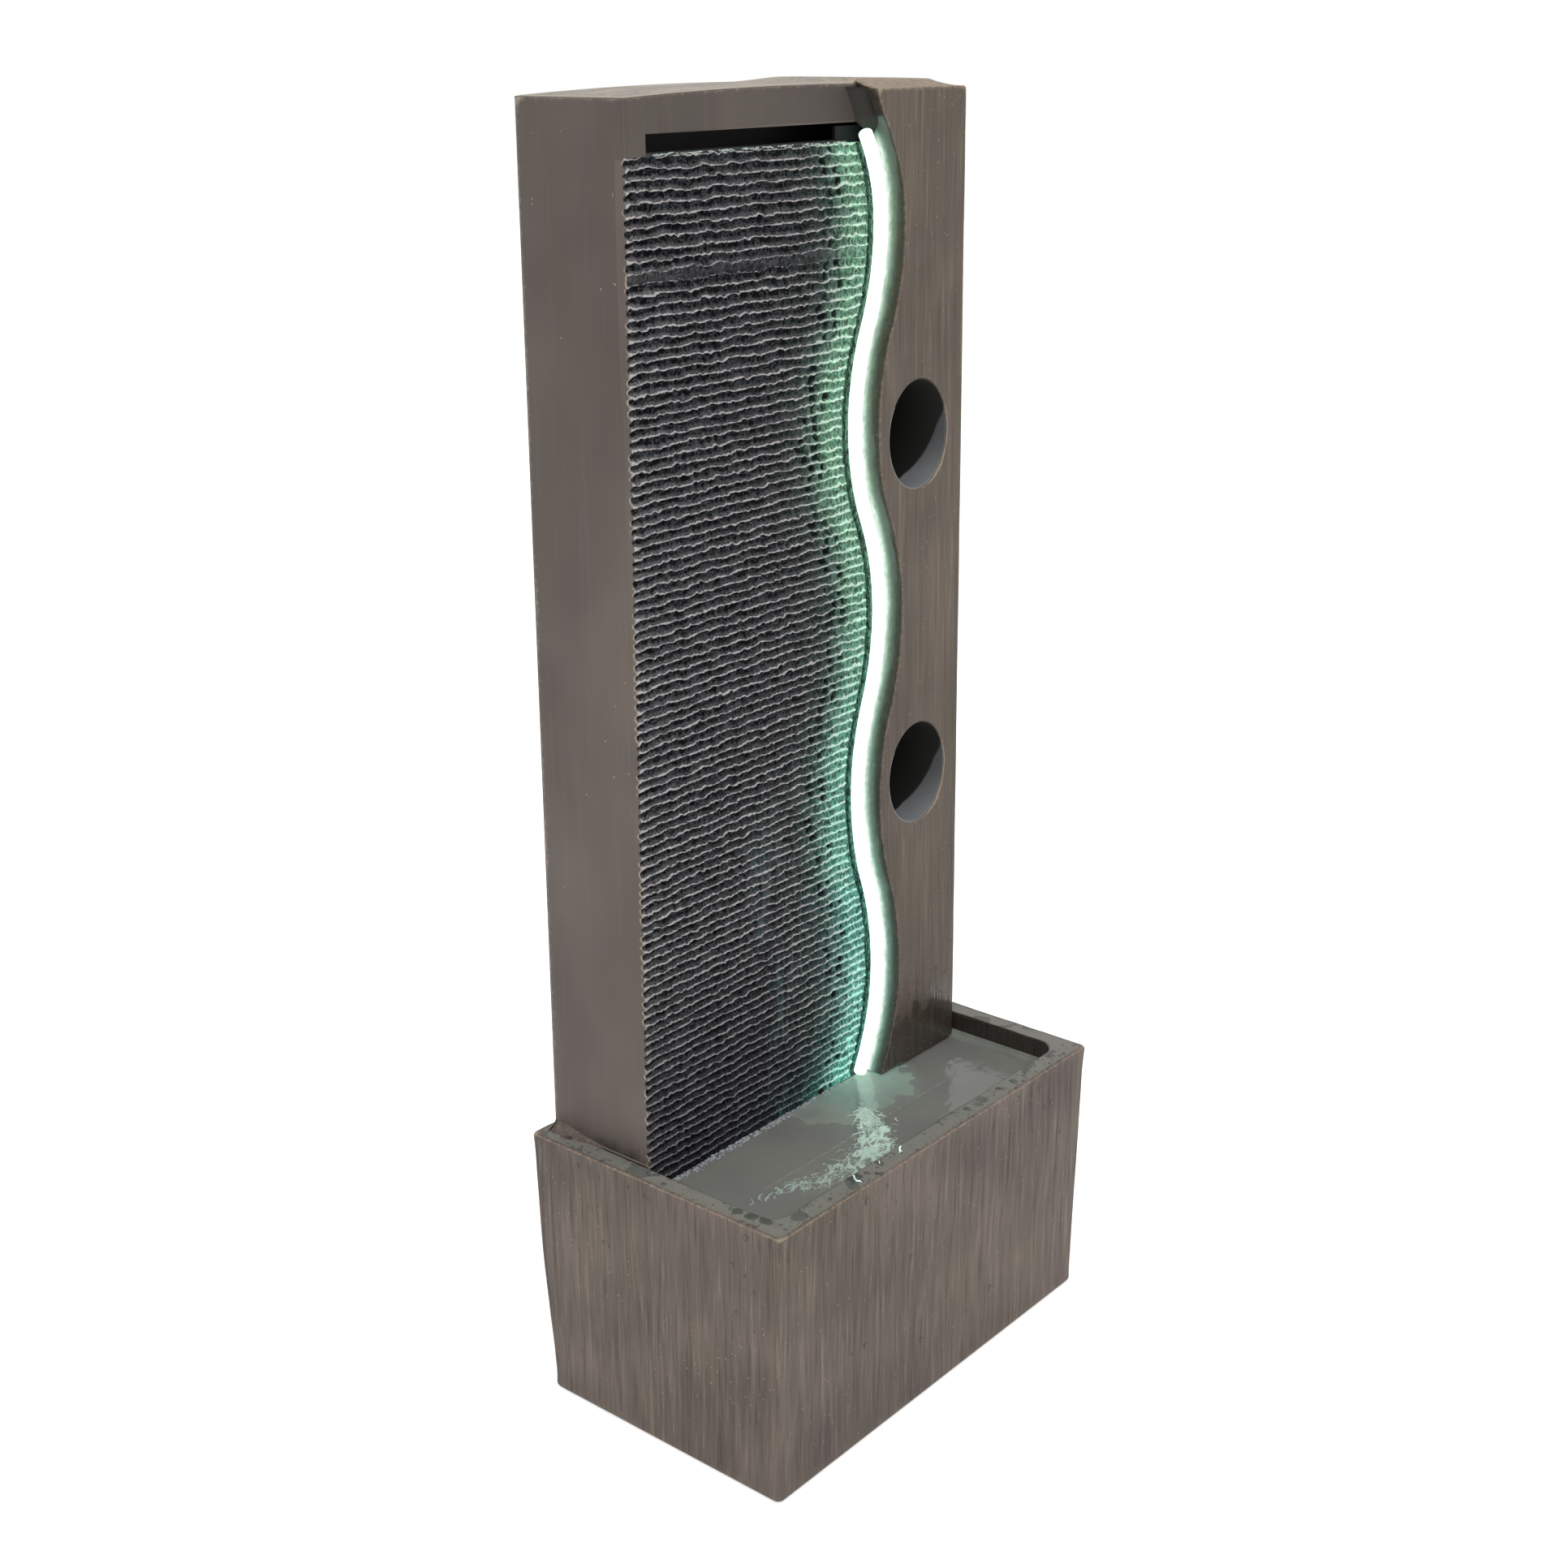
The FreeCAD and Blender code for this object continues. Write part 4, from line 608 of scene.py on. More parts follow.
class Groups:
    """Shared shader node groups, each made the first time it is asked for."""

    _made = {}

    @classmethod
    def _start(cls, name: str, inputs: list, outputs: list) -> tuple:
        """Makes an empty group with the given sockets, as (name, kind, value).

        Args:
            name: the group's name.
            inputs: its inputs; None leaves a default.
            outputs: its outputs, as (name, kind).
        Returns:
            The group's tree, inputs and outputs.
        """
        group = bpy.data.node_groups.new(name, "ShaderNodeTree")
        for label, kind, value in inputs:
            socket = group.interface.new_socket(label, in_out="INPUT", socket_type="NodeSocket" + kind)
            if value is not None:
                socket.default_value = value
        for label, kind in outputs:
            group.interface.new_socket(label, in_out="OUTPUT", socket_type="NodeSocket" + kind)
        cls._made[name] = group
        tree = Tree(group)
        return tree, tree.node("NodeGroupInput").outputs, tree.node("NodeGroupOutput").inputs

    @classmethod
    def use(cls, tree: Tree, name: str, inputs: dict) -> Sockets:
        """Places a group in a tree.

        Args:
            tree: the Tree that gets the group.
            name: which group.
            inputs: values or sockets by input name.
        Returns:
            The group node's outputs.
        """
        if name not in cls._made:
            getattr(cls, "_" + name)()
        made = tree.node("Group", node_tree=cls._made[name])
        for label, value in inputs.items():
            tree.put(made.inputs[label], value)
        return made.outputs

    @classmethod
    def _brush_strokes(cls) -> None:
        """Fine upright streaks: a height for the bump, a painted highlight mask for their ridges and a
        painted shade mask for their bottoms.
        """
        tree, given, out = cls._start(
            "brush_strokes", [("Vector", "Vector", None), ("Pitch", "Float", 0.0016)],
            [("Height", "Float"), ("Highlight", "Float"), ("Dark", "Float")])
        size = tree.math("DIVIDE", 1.0, given["Pitch"])
        tall = tree.times(size, 0.035)
        scale = tree.node("CombineXYZ", {0: size, 1: size, 2: tall}).outputs[0]
        place = tree.node("VectorMath", {0: given["Vector"], 1: scale}, operation="MULTIPLY").outputs[0]
        fine = tree.noise(place, 1.0, 4.0, 0.6)
        wide = tree.noise(place, 0.33, 2.0, 0.5)
        height = tree.plus(tree.times(fine, 0.65), tree.times(wide, 0.35))
        tree.put(out["Height"], height)
        # Painted highlight on the ridges of the strokes.
        tree.put(out["Highlight"], tree.ramp(height, 0.50, 0.68))
        # Painted shade at the bottoms of the strokes.
        tree.put(out["Dark"], tree.minus(1.0, tree.ramp(height, 0.30, 0.50)))

    @classmethod
    def _edge_wear(cls) -> None:
        """Rubbed edges: the wear mark broken up by noise."""
        tree, given, out = cls._start(
            "edge_wear",
            [("Wear", "Float", 0.0), ("Vector", "Vector", None), ("Scale", "Float", 260.0)],
            [("Mask", "Float")])
        grain = tree.noise(given["Vector"], given["Scale"], 4.0, 0.65)
        broken = tree.plus(given["Wear"], tree.minus(grain, 0.5))
        tree.put(out["Mask"], tree.ramp(broken, 0.35, 0.95))

    @classmethod
    def _blotch_tone(cls) -> None:
        """A colour that drifts between a lighter and a darker tone in soft blotches."""
        tree, given, out = cls._start(
            "blotch_tone",
            [("Light", "Color", None), ("Dark", "Color", None), ("Vector", "Vector", None),
             ("Scale", "Float", 8.0), ("Grain", "Float", 0.3)],
            [("Color", "Color")])
        soft = tree.ramp(tree.noise(given["Vector"], given["Scale"], 2.0), 0.3, 0.7)
        grain = tree.noise(given["Vector"], 900.0, 2.0)
        share = tree.plus(soft, tree.times(tree.minus(grain, 0.5), given["Grain"]))
        share = tree.plus(share, 0.0, clamp=True)
        tree.put(out["Color"], tree.mix(share, given["Dark"], given["Light"]))

    @classmethod
    def _wet_sheen(cls) -> None:
        """Wetness: a darker colour and a smoother surface where the wet mark is high."""
        tree, given, out = cls._start(
            "wet_sheen",
            [("Color", "Color", None), ("Roughness", "Float", 0.6), ("Wet", "Float", 0.0),
             ("Vector", "Vector", None), ("Depth", "Float", 0.5)],
            [("Color", "Color"), ("Roughness", "Float"), ("Coat", "Float")])
        ragged = tree.times(tree.minus(tree.noise(given["Vector"], 90.0, 3.0), 0.5), 0.7)
        edge = tree.times(ragged, tree.ramp(given["Wet"], 0.0, 0.2))
        wet = tree.ramp(tree.plus(given["Wet"], edge), 0.25, 0.7)
        keep = tree.minus(1.0, tree.times(wet, given["Depth"]))
        dark = tree.node("VectorMath", {0: given["Color"], "Scale": keep}, operation="SCALE").outputs[0]
        tree.put(out["Color"], dark)
        smooth = tree.times(wet, 0.75)
        tree.put(out["Roughness"], tree.times(given["Roughness"], tree.minus(1.0, smooth)))
        tree.put(out["Coat"], tree.times(wet, 0.35))

    @classmethod
    def _wave_light(cls) -> None:
        """The tone of the tube's light on its surroundings: yellower high up, bluer low down."""
        tree, given, out = cls._start("wave_light", [("Vector", "Vector", None)], [("Color", "Color")])
        height = tree.node("SeparateXYZ", {0: given["Vector"]}).outputs[2]
        tree.put(out["Color"], tree.mix(tree.ramp(height, 0.30, 0.75), COOL_TONE, WARM_TONE))

    @classmethod
    def _wisps(cls) -> None:
        """Thin tangled lines, such as threads of water: bright where a noise crosses its middle."""
        tree, given, out = cls._start(
            "wisps", [("Vector", "Vector", None), ("Scale", "Float", 200.0), ("Width", "Float", 0.03)],
            [("Mask", "Float")])
        field = tree.noise(given["Vector"], given["Scale"], 3.0, 0.6)
        away = tree.math("ABSOLUTE", tree.minus(field, 0.5))
        share = tree.math("DIVIDE", away, given["Width"])
        tree.put(out["Mask"], tree.minus(1.0, share, clamp=True))

    @classmethod
    def _specks(cls) -> None:
        """Sparse tiny specks, such as grit and pinholes."""
        tree, given, out = cls._start(
            "specks", [("Vector", "Vector", None), ("Scale", "Float", 220.0), ("Share", "Float", 0.1)],
            [("Mask", "Float")])
        cells = tree.node("TexVoronoi", {"Vector": given["Vector"], "Scale": given["Scale"]})
        small = tree.math("LESS_THAN", cells.outputs["Distance"], 0.22)
        apart = tree.node("SeparateColor", {0: cells.outputs["Color"]}).outputs[0]
        tree.put(out["Mask"], tree.times(small, tree.math("LESS_THAN", apart, given["Share"])))


def tone(red: float, green: float, blue: float) -> Colour:
    """Turns a colour as seen on a screen, 0 to 255, into a linear one with alpha.

    Args:
        red: the red part.
        green: the green part.
        blue: the blue part.
    Returns:
        The colour.
    """
    seen = np.array([red, green, blue]) / 255.0
    linear = np.where(seen <= 0.04045, seen / 12.92, ((seen + 0.055) / 1.055) ** 2.4)
    return (float(linear[0]), float(linear[1]), float(linear[2]), 1.0)


@dataclass(frozen=True)
class Finish:
    """A plain, slightly uneven finish and the base of the others."""

    label: str
    light: tuple
    dark: tuple
    roughness: float = 0.55
    metallic: float = 0.0
    blotch: float = 9.0
    grain: float = 0.3
    bump: float = 0.15

    def material(self) -> bpy.types.Material:
        """Returns the finish's material, made the first time.

        Returns:
            The material.
        """
        found = bpy.data.materials.get(self.label)
        if found:
            return found
        made = bpy.data.materials.new(self.label)
        made.use_nodes = True
        made.node_tree.nodes.clear()
        tree = Tree(made.node_tree)
        shader = tree.node("BsdfPrincipled", {"Metallic": self.metallic})
        out = tree.node("OutputMaterial")
        tree.put(out.inputs["Surface"], shader.outputs["BSDF"])
        place = tree.node("TexCoord").outputs["Object"]
        self.dress(tree, shader.inputs, place)
        return made

    def base(self, tree: Tree, place: Socket) -> Socket:
        """Returns the blotchy base colour.

        Args:
            tree: the material's nodes.
            place: the coordinates that patterns are read on.
        Returns:
            The colour's output.
        """
        return Groups.use(tree, "blotch_tone", {
            "Light": self.light, "Dark": self.dark, "Vector": place, "Scale": self.blotch,
            "Grain": self.grain})["Color"]

    def lift(self, tree: Tree, height: Socket, strength: float, reach: float = 0.0004) -> Socket:
        """Returns a bumped normal."""
        inputs = {"Height": height, "Strength": strength, "Distance": reach}
        return tree.node("Bump", inputs).outputs["Normal"]

    def dress(self, tree: Tree, sockets: Sockets, place: Socket) -> None:
        """Links this finish into a Principled shader.

        Args:
            tree: the material's Tree.
            sockets: the shader's inputs.
            place: object coordinates.
        """
        tree.put(sockets["Base Color"], self.base(tree, place))
        tree.put(sockets["Roughness"], self.roughness)
        tree.put(sockets["Normal"], self.lift(tree, tree.noise(place, 600.0), self.bump))


@dataclass(frozen=True)
class BrushedResin(Finish):
    """Resin with upright strokes, rubbed edges and damp patches; painted highlights on the stroke
    ridges and painted shade in the strokes and wherever a piece marks it.
    """

    # The rubbed tone, also used for the painted highlight on stroke ridges.
    worn: tuple = (0.3, 0.27, 0.23, 1.0)
    tint: tuple = (0.13, 0.12, 0.09, 1.0)
    tint_share: float = 0.6
    stroke_pitch: float = 0.0021
    stroke_bump: float = 0.8
    stroke_highlight: float = 0.4
    stroke_shade: float = 0.5
    speck_share: float = 0.05
    wet_depth: float = 0.5
    edge_scale: float = 260.0
    silt: tuple = (0.215, 0.213, 0.188, 1.0)
    damp: tuple = (0.120, 0.124, 0.110, 1.0)

    def dress(self, tree: Tree, sockets: Sockets, place: Socket) -> None:
        """Links this finish into a Principled shader; see Finish.dress.

        Args:
            tree: the material's nodes.
            sockets: the shader's inputs.
            place: the coordinates that patterns are read on.
        """
        strokes = Groups.use(tree, "brush_strokes", {"Vector": place, "Pitch": self.stroke_pitch})
        drift = tree.ramp(tree.noise(tree.stretched(place, (1.0, 1.0, 0.3)), 24.0, 3.0), 0.4, 0.68)
        shade = tree.mix(tree.times(drift, self.tint_share), self.base(tree, place), self.tint)
        # Painted highlight: stroke ridges lightened toward the rubbed tone.
        shade = tree.mix(tree.times(strokes["Highlight"], self.stroke_highlight), shade, self.worn)
        # Painted shade at the bottoms of the strokes.
        shade = tree.mix(tree.times(strokes["Dark"], self.stroke_shade), shade, self.shadow())
        # Painted shade where a piece marks it: in strokes, recesses and hollows, and on parts of the
        # tower.
        groove = tree.times(tree.mark("groove"), 0.6, clamp=True)
        shade = tree.mix(groove, shade, self.shadow())
        puddle = tree.ramp(tree.noise(place, 26.0, 3.0), 0.565, 0.58)
        shade = tree.mix(tree.mark("silt"), shade, tree.mix(puddle, self.silt, self.damp))
        rubbed = Groups.use(tree, "edge_wear", {
            "Wear": tree.mark("wear"), "Vector": place, "Scale": self.edge_scale})["Mask"]
        shade = tree.mix(tree.times(rubbed, 0.85), shade, self.worn)
        share = tree.plus(tree.mark("grit"), self.speck_share)
        specks = Groups.use(tree, "specks", {"Vector": place, "Scale": 300.0, "Share": share})["Mask"]
        shade = tree.mix(tree.times(specks, 0.6), shade, self.worn)
        wet = Groups.use(tree, "wet_sheen", {
            "Color": shade, "Roughness": self.roughness, "Wet": tree.mark("wet"), "Vector": place,
            "Depth": self.wet_depth})
        tree.put(sockets["Base Color"], wet["Color"])
        tree.put(sockets["Roughness"], wet["Roughness"])
        tree.put(sockets["Coat Weight"], wet["Coat"])
        tree.put(sockets["Coat Roughness"], 0.12)
        tree.put(sockets["Specular IOR Level"], 0.28)
        tree.put(sockets["Normal"], self.lift(tree, strokes["Height"], self.stroke_bump))
        self.glow(tree, sockets, place)

    def shadow(self) -> Colour:
        """Returns the painted shade tone, used at the bottom of a stroke and wherever the painted shade
        mark is high.
        """
        return tuple(0.45 * part for part in self.dark[:3]) + (1.0,)

    def glow(self, tree: Tree, sockets: Sockets, place: Socket) -> None:
        """Adds the light that the wavy tube throws on the surface.

        Args:
            tree: the material's nodes.
            sockets: the shader's inputs.
            place: the coordinates that patterns are read on.
        """
        patch = tree.noise(place, 160.0, 3.0)
        share = tree.times(tree.mark("glow"), tree.math("MULTIPLY_ADD", patch, 0.8))
        light = Groups.use(tree, "wave_light", {"Vector": place})["Color"]
        pale = tree.ramp(tree.mark("glow"), -0.35, 1.0)
        tree.put(sockets["Emission Color"], tree.mix(pale, light, PALE_TONE))
        tree.put(sockets["Emission Strength"], share)


@dataclass(frozen=True)
class CascadeResin(Finish):
    """Wet fluted resin: near black in the grooves, painted light on the lower slopes, painted
    highlights as pale broken lines on the crests, painted shade where the dim mark is high.
    """

    # crest is the painted highlight tone, slope the painted light tone, film the water film's tone
    # tinted teal partly by painted light from the tube, and shade the painted shade tone.
    crest: tuple = (0.47, 0.445, 0.445, 1.0)
    slope: tuple = (0.290, 0.275, 0.280, 1.0)
    thread: tuple = (0.17, 0.19, 0.21, 1.0)
    film: tuple = (0.075, 0.100, 0.095, 1.0)
    shade: tuple = (0.006, 0.006, 0.010, 1.0)

    def dress(self, tree: Tree, sockets: Sockets, place: Socket) -> None:
        """Links this finish into a Principled shader; see Finish.dress.

        Args:
            tree: the material's nodes.
            sockets: the shader's inputs.
            place: the coordinates that patterns are read on.
        """
        crest = tree.mark("crest")
        broken = tree.noise(tree.stretched(place, (0.6, 1.0, 1.0)), 560.0, 4.0, 0.65)
        line = tree.ramp(tree.plus(crest, broken), 1.0, 1.45)
        grain = tree.noise(tree.stretched(place, (1.0, 1.0, 0.25)), 760.0, 3.0, 0.6)
        fibre = tree.ramp(grain, 0.40, 0.66)
        lit = tree.times(tree.mark("lit"), tree.plus(tree.times(fibre, 0.7), 0.3))
        wisps = Groups.use(tree, "wisps", {
            "Vector": tree.stretched(place, (0.8, 1.0, 1.0)), "Scale": 150.0, "Width": 0.028})["Mask"]
        threads = tree.times(tree.math("MAXIMUM", wisps, tree.mark("thread")), 0.5)
        # Painted light on the lower slopes.
        shade = tree.mix(lit, self.base(tree, place), self.slope)
        shade = tree.mix(tree.mark("film"), shade, self.film)
        shade = tree.mix(threads, shade, self.thread)
        # Painted highlight lines on the crests.
        shade = tree.mix(line, shade, self.crest)
        # Painted shade where the dim mark is high.
        shade = tree.mix(tree.mark("dim"), shade, self.shade)
        tree.put(sockets["Base Color"], shade)
        tree.put(sockets["Roughness"], 0.55)
        tree.put(sockets["Specular IOR Level"], 0.03)
        tree.put(sockets["Coat Weight"], tree.times(line, 0.2))
        tree.put(sockets["Coat Roughness"], 0.1)
        ripple = tree.noise(tree.stretched(place, (1.0, 1.0, 0.5)), 420.0, 3.0, 0.6)
        tree.put(sockets["Normal"], self.lift(tree, ripple, 0.6, 0.0007))
        self._glow(tree, sockets, place, line, lit)

    @staticmethod
    def _glow(tree: Tree, sockets: Sockets, place: Socket, line: Socket, lit: Socket) -> None:
        """Adds the tube's light: on the film, brighter on crest lines and slopes, none in pits.

        Args:
            tree: the material's nodes.
            sockets: the shader's inputs.
            place: the coordinates that patterns are read on.
            line: where the bright crest lines are.
            lit: where slopes are pale.
        """
        cloud = tree.noise(tree.stretched(place, (1.0, 1.0, 0.45)), 470.0, 4.0, 0.7)
        soft = tree.plus(tree.times(tree.ramp(cloud, 0.40, 0.60), 0.95), 0.10)
        soft = tree.times(soft, tree.mark("open"))
        bright = tree.plus(tree.times(line, 0.50), tree.times(lit, 0.35))
        level = tree.plus(soft, bright)
        tree.put(sockets["Emission Color"], Groups.use(tree, "wave_light", {"Vector": place})["Color"])
        tree.put(sockets["Emission Strength"], tree.times(tree.mark("glow"), level))


@dataclass(frozen=True)
class CupResin(Finish):
    """The inside of a hole: black painted shade with a few olive stains, and a grey band where painted
    daylight reaches.
    """

    stain: tuple = (0.030, 0.029, 0.012, 1.0)
    # Near black: the painted shade where daylight doesn't reach.
    deep: tuple = (0.0150, 0.0150, 0.0135, 1.0)

    def dress(self, tree: Tree, sockets: Sockets, place: Socket) -> None:
        """Links this finish into a Principled shader; see Finish.dress.

        Args:
            tree: the material's nodes.
            sockets: the shader's inputs.
            place: the coordinates that patterns are read on.
        """
        cloud = tree.ramp(tree.noise(place, 70.0, 4.0, 0.6), 0.5, 0.72)
        stained = tree.times(cloud, tree.mark("stain"))
        deep = tree.mix(stained, self.deep, self.stain)
        # The cup's grey tone shows only in the painted daylight band; elsewhere it is painted shade.
        tree.put(sockets["Base Color"], tree.mix(tree.mark("daylight"), deep, self.base(tree, place)))
        tree.put(sockets["Roughness"], self.roughness)
        tree.put(sockets["Normal"], self.lift(tree, tree.noise(place, 500.0), self.bump))


@dataclass(frozen=True)
class GlowingTube(Finish):
    """A frosted tube lit from inside, teal toward its outline and in the light it throws."""

    strength: float = 1.35
    thrown: float = 1.1

    def dress(self, tree: Tree, sockets: Sockets, place: Socket) -> None:
        """Links this finish into a Principled shader; see Finish.dress.

        Args:
            tree: the material's nodes.
            sockets: the shader's inputs.
            place: the coordinates that patterns are read on; not used.
        """
        facing = tree.node("LayerWeight", {"Blend": 0.35}).outputs["Facing"]
        rim = tree.ramp(facing, 0.55, 0.98)
        seen = tree.node("LightPath").outputs["Is Camera Ray"]
        body = tree.mix(rim, self.light, self.dark)
        level = tree.minus(self.strength, tree.times(rim, 0.75))
        away = tree.times(tree.minus(1.0, seen), self.thrown)
        tree.put(sockets["Base Color"], self.light)
        tree.put(sockets["Roughness"], self.roughness)
        tree.put(sockets["Emission Color"], tree.mix(seen, GLOW_TONE, body))
        tree.put(sockets["Emission Strength"], tree.plus(tree.times(seen, level), away))


@dataclass(frozen=True)
class ThinWater(Finish):
    """Clear shallow water: mostly see-through, with a bright mirror at grazing angles."""

    cover: float = 0.22
    foam: tuple = (0.37, 0.46, 0.40, 1.0)
    foam_light: float = 0.32

    def dress(self, tree: Tree, sockets: Sockets, place: Socket) -> None:
        """Links this finish into a Principled shader; see Finish.dress.

        Args:
            tree: the material's nodes.
            sockets: the shader's inputs.
            place: the coordinates that patterns are read on.
        """
        facing = tree.node("LayerWeight", {"Blend": 0.3}).outputs["Fresnel"]
        bubbles = tree.minus(tree.noise(place, 420.0, 5.0, 0.7), 0.5)
        foam = tree.ramp(tree.plus(tree.mark("foam"), bubbles), 0.35, 0.95)
        shade = tree.mix(foam, self.base(tree, place), self.foam)
        tree.put(sockets["Base Color"], shade)
        tree.put(sockets["Roughness"], self.roughness)
        clear = tree.plus(tree.times(facing, 0.6), self.cover)
        tree.put(sockets["Alpha"], tree.plus(clear, foam, clamp=True))
        tree.put(sockets["Normal"], self.lift(tree, tree.noise(place, 240.0, 3.0), 0.35, 0.0006))
        tree.put(sockets["Emission Color"], FOAM_TONE)
        lit = tree.times(foam, tree.times(tree.mark("glow"), self.foam_light))
        tree.put(sockets["Emission Strength"], lit)


class Look(Enum):
    """Every finish used in the scene."""

    BASIN = BrushedResin(
        "basin_resin", tone(122, 109, 102), tone(95, 85, 80), roughness=0.62, worn=tone(162, 147, 127),
        tint=tone(107, 100, 84), tint_share=0.5, stroke_pitch=0.0017, stroke_highlight=0.45, stroke_shade=0.8)
    PLANK = BrushedResin(
        "plank_resin", tone(117, 105, 95), tone(95, 85, 76), roughness=0.6, worn=tone(158, 142, 122),
        tint=tone(103, 95, 80), stroke_pitch=0.0017, stroke_bump=0.7, stroke_highlight=0.4, stroke_shade=0.5)
    TOWER = BrushedResin(
        "tower_resin", tone(108, 98, 91), tone(88, 79, 74), roughness=0.5, worn=tone(168, 157, 142),
        tint=tone(98, 90, 80), stroke_pitch=0.004, stroke_bump=0.12, stroke_highlight=0.04, stroke_shade=0.06,
        blotch=7.0, grain=0.12, speck_share=0.003)
    TRAY = BrushedResin(
        "tray_resin", tone(164, 162, 154), tone(142, 142, 136), roughness=0.4, worn=tone(160, 158, 150),
        tint=tone(146, 148, 138), stroke_pitch=0.012, stroke_bump=0.2, stroke_highlight=0.06,
        stroke_shade=0.06, blotch=22.0, wet_depth=0.2)
    SEAM = BrushedResin(
        "seam_resin", tone(58, 53, 46), tone(36, 33, 28), roughness=0.55, worn=tone(92, 86, 74),
        tint=tone(48, 46, 37), stroke_pitch=0.0030, stroke_bump=0.5, stroke_highlight=0.2, stroke_shade=0.3)
    CASCADE = CascadeResin("cascade_resin", tone(14, 12, 18), tone(5, 4, 7), blotch=70.0, grain=0.5)
    LIGHT = GlowingTube("light_tube", WHITE, (0.38, 0.72, 0.60, 1.0), roughness=0.3)
    WATER = ThinWater(
        "pool_water", tone(158, 157, 150), tone(144, 144, 139), roughness=0.08, cover=0.62)
    DROP = ThinWater("water_drops", tone(118, 113, 105), tone(100, 95, 88), roughness=0.05, cover=0.2)
    PUDDLE = ThinWater("puddles", tone(108, 110, 103), tone(96, 98, 92), roughness=0.03, cover=0.35)
    FROTH = ThinWater(
        "froth", tone(176, 180, 184), tone(140, 146, 154), roughness=0.25, cover=0.35,
        foam=(0.36, 0.38, 0.40, 1.0))
    CUP = CupResin(
        "cup_resin", tone(142, 145, 148), tone(134, 137, 140), roughness=0.6, blotch=30.0, grain=0.08)
    BLACK = Finish("black_plastic", tone(34, 32, 31), tone(20, 19, 19), roughness=0.5)
    GREY = Finish("grey_plastic", tone(118, 120, 122), tone(100, 102, 104), roughness=0.45)
    BLUE = Finish("blue_plastic", tone(56, 92, 150), tone(44, 76, 130), roughness=0.4)
    RUBBER = Finish("black_rubber", tone(38, 37, 36), tone(26, 26, 25), roughness=0.75, bump=0.3)
    HOSE = Finish("clear_hose", tone(186, 194, 196), tone(160, 170, 172), roughness=0.18)
    STEEL = Finish("screw_steel", tone(190, 190, 192), tone(150, 150, 154), roughness=0.3, metallic=1.0)
    CERAMIC = Finish("pin_ceramic", tone(226, 222, 214), tone(206, 202, 194), roughness=0.25)


NODE_LOOKS = {
    Look.TOWER: ("tower_shell",),
    Look.BLACK: (
        "back_panel", "access_door", "cable_gland", "gland_nut", "spill_trough", "pump_body",
        "pump_cover", "driver_box"),
    Look.GREY: ("feed_tee", "feed_nut", "spreader_bar", "pump_outlet", "flow_dial"),
    Look.BLUE: ("impeller",),
    Look.RUBBER: ("drain_bung", "door_seal", "suction_feet", "led_lead", "pump_lead", "supply_lead"),
    Look.HOSE: ("riser_hose",),
    Look.STEEL: ("back_screws", "plank_screws", "tower_bolts", "driver_screws", "hose_clamps"),
    Look.CERAMIC: ("impeller_shaft",),
}


# Shared outline of the tower


@dataclass(frozen=True)
class Wave:
    """The path of the light: pairs of equal arcs between turning points."""

    turns: tuple = (
        (52.0, 1.102), (94.0, 0.921), (64.0, 0.725), (95.5, 0.528), (69.0, 0.333), (96.5, 0.123),
        (60.0, -0.094))
    foot: float = 207.0
    height: float = 756.0

    def x_at(self, z: Values, offset: float = 0.0) -> Array:
        """Finds where the wave crosses given heights.

        Formula: between two turns the curve is two arcs whose radius is the squared
        distance between the turns over four times their sideways distance; a parallel
        curve has that radius made larger or smaller.
        Args:
            z: heights.
            offset: distance to the right of the wave, square to it.
        Returns:
            The places across, in the shape of z.
        """
        z = np.asarray(z, float)
        found = np.zeros_like(z)
        for (xa, share_a), (xb, share_b) in zip(self.turns, self.turns[1:]):
            za = self.foot + share_a * self.height
            zb = self.foot + share_b * self.height
            side = 1.0 if xb > xa else -1.0
            radius = ((xb - xa) ** 2 + (zb - za) ** 2) / (4.0 * abs(xb - xa))
            first = radius - side * offset
            second = radius + side * offset
            meet = za - 0.5 * (za - zb) * first / radius
            upper = xa + side * radius - side * np.sqrt(np.maximum(first**2 - (z - za) ** 2, 0.0))
            lower = xb - side * radius + side * np.sqrt(np.maximum(second**2 - (z - zb) ** 2, 0.0))
            found = np.where((z <= za) & (z > meet), upper, found)
            found = np.where((z <= meet) & (z >= zb), lower, found)
        return found


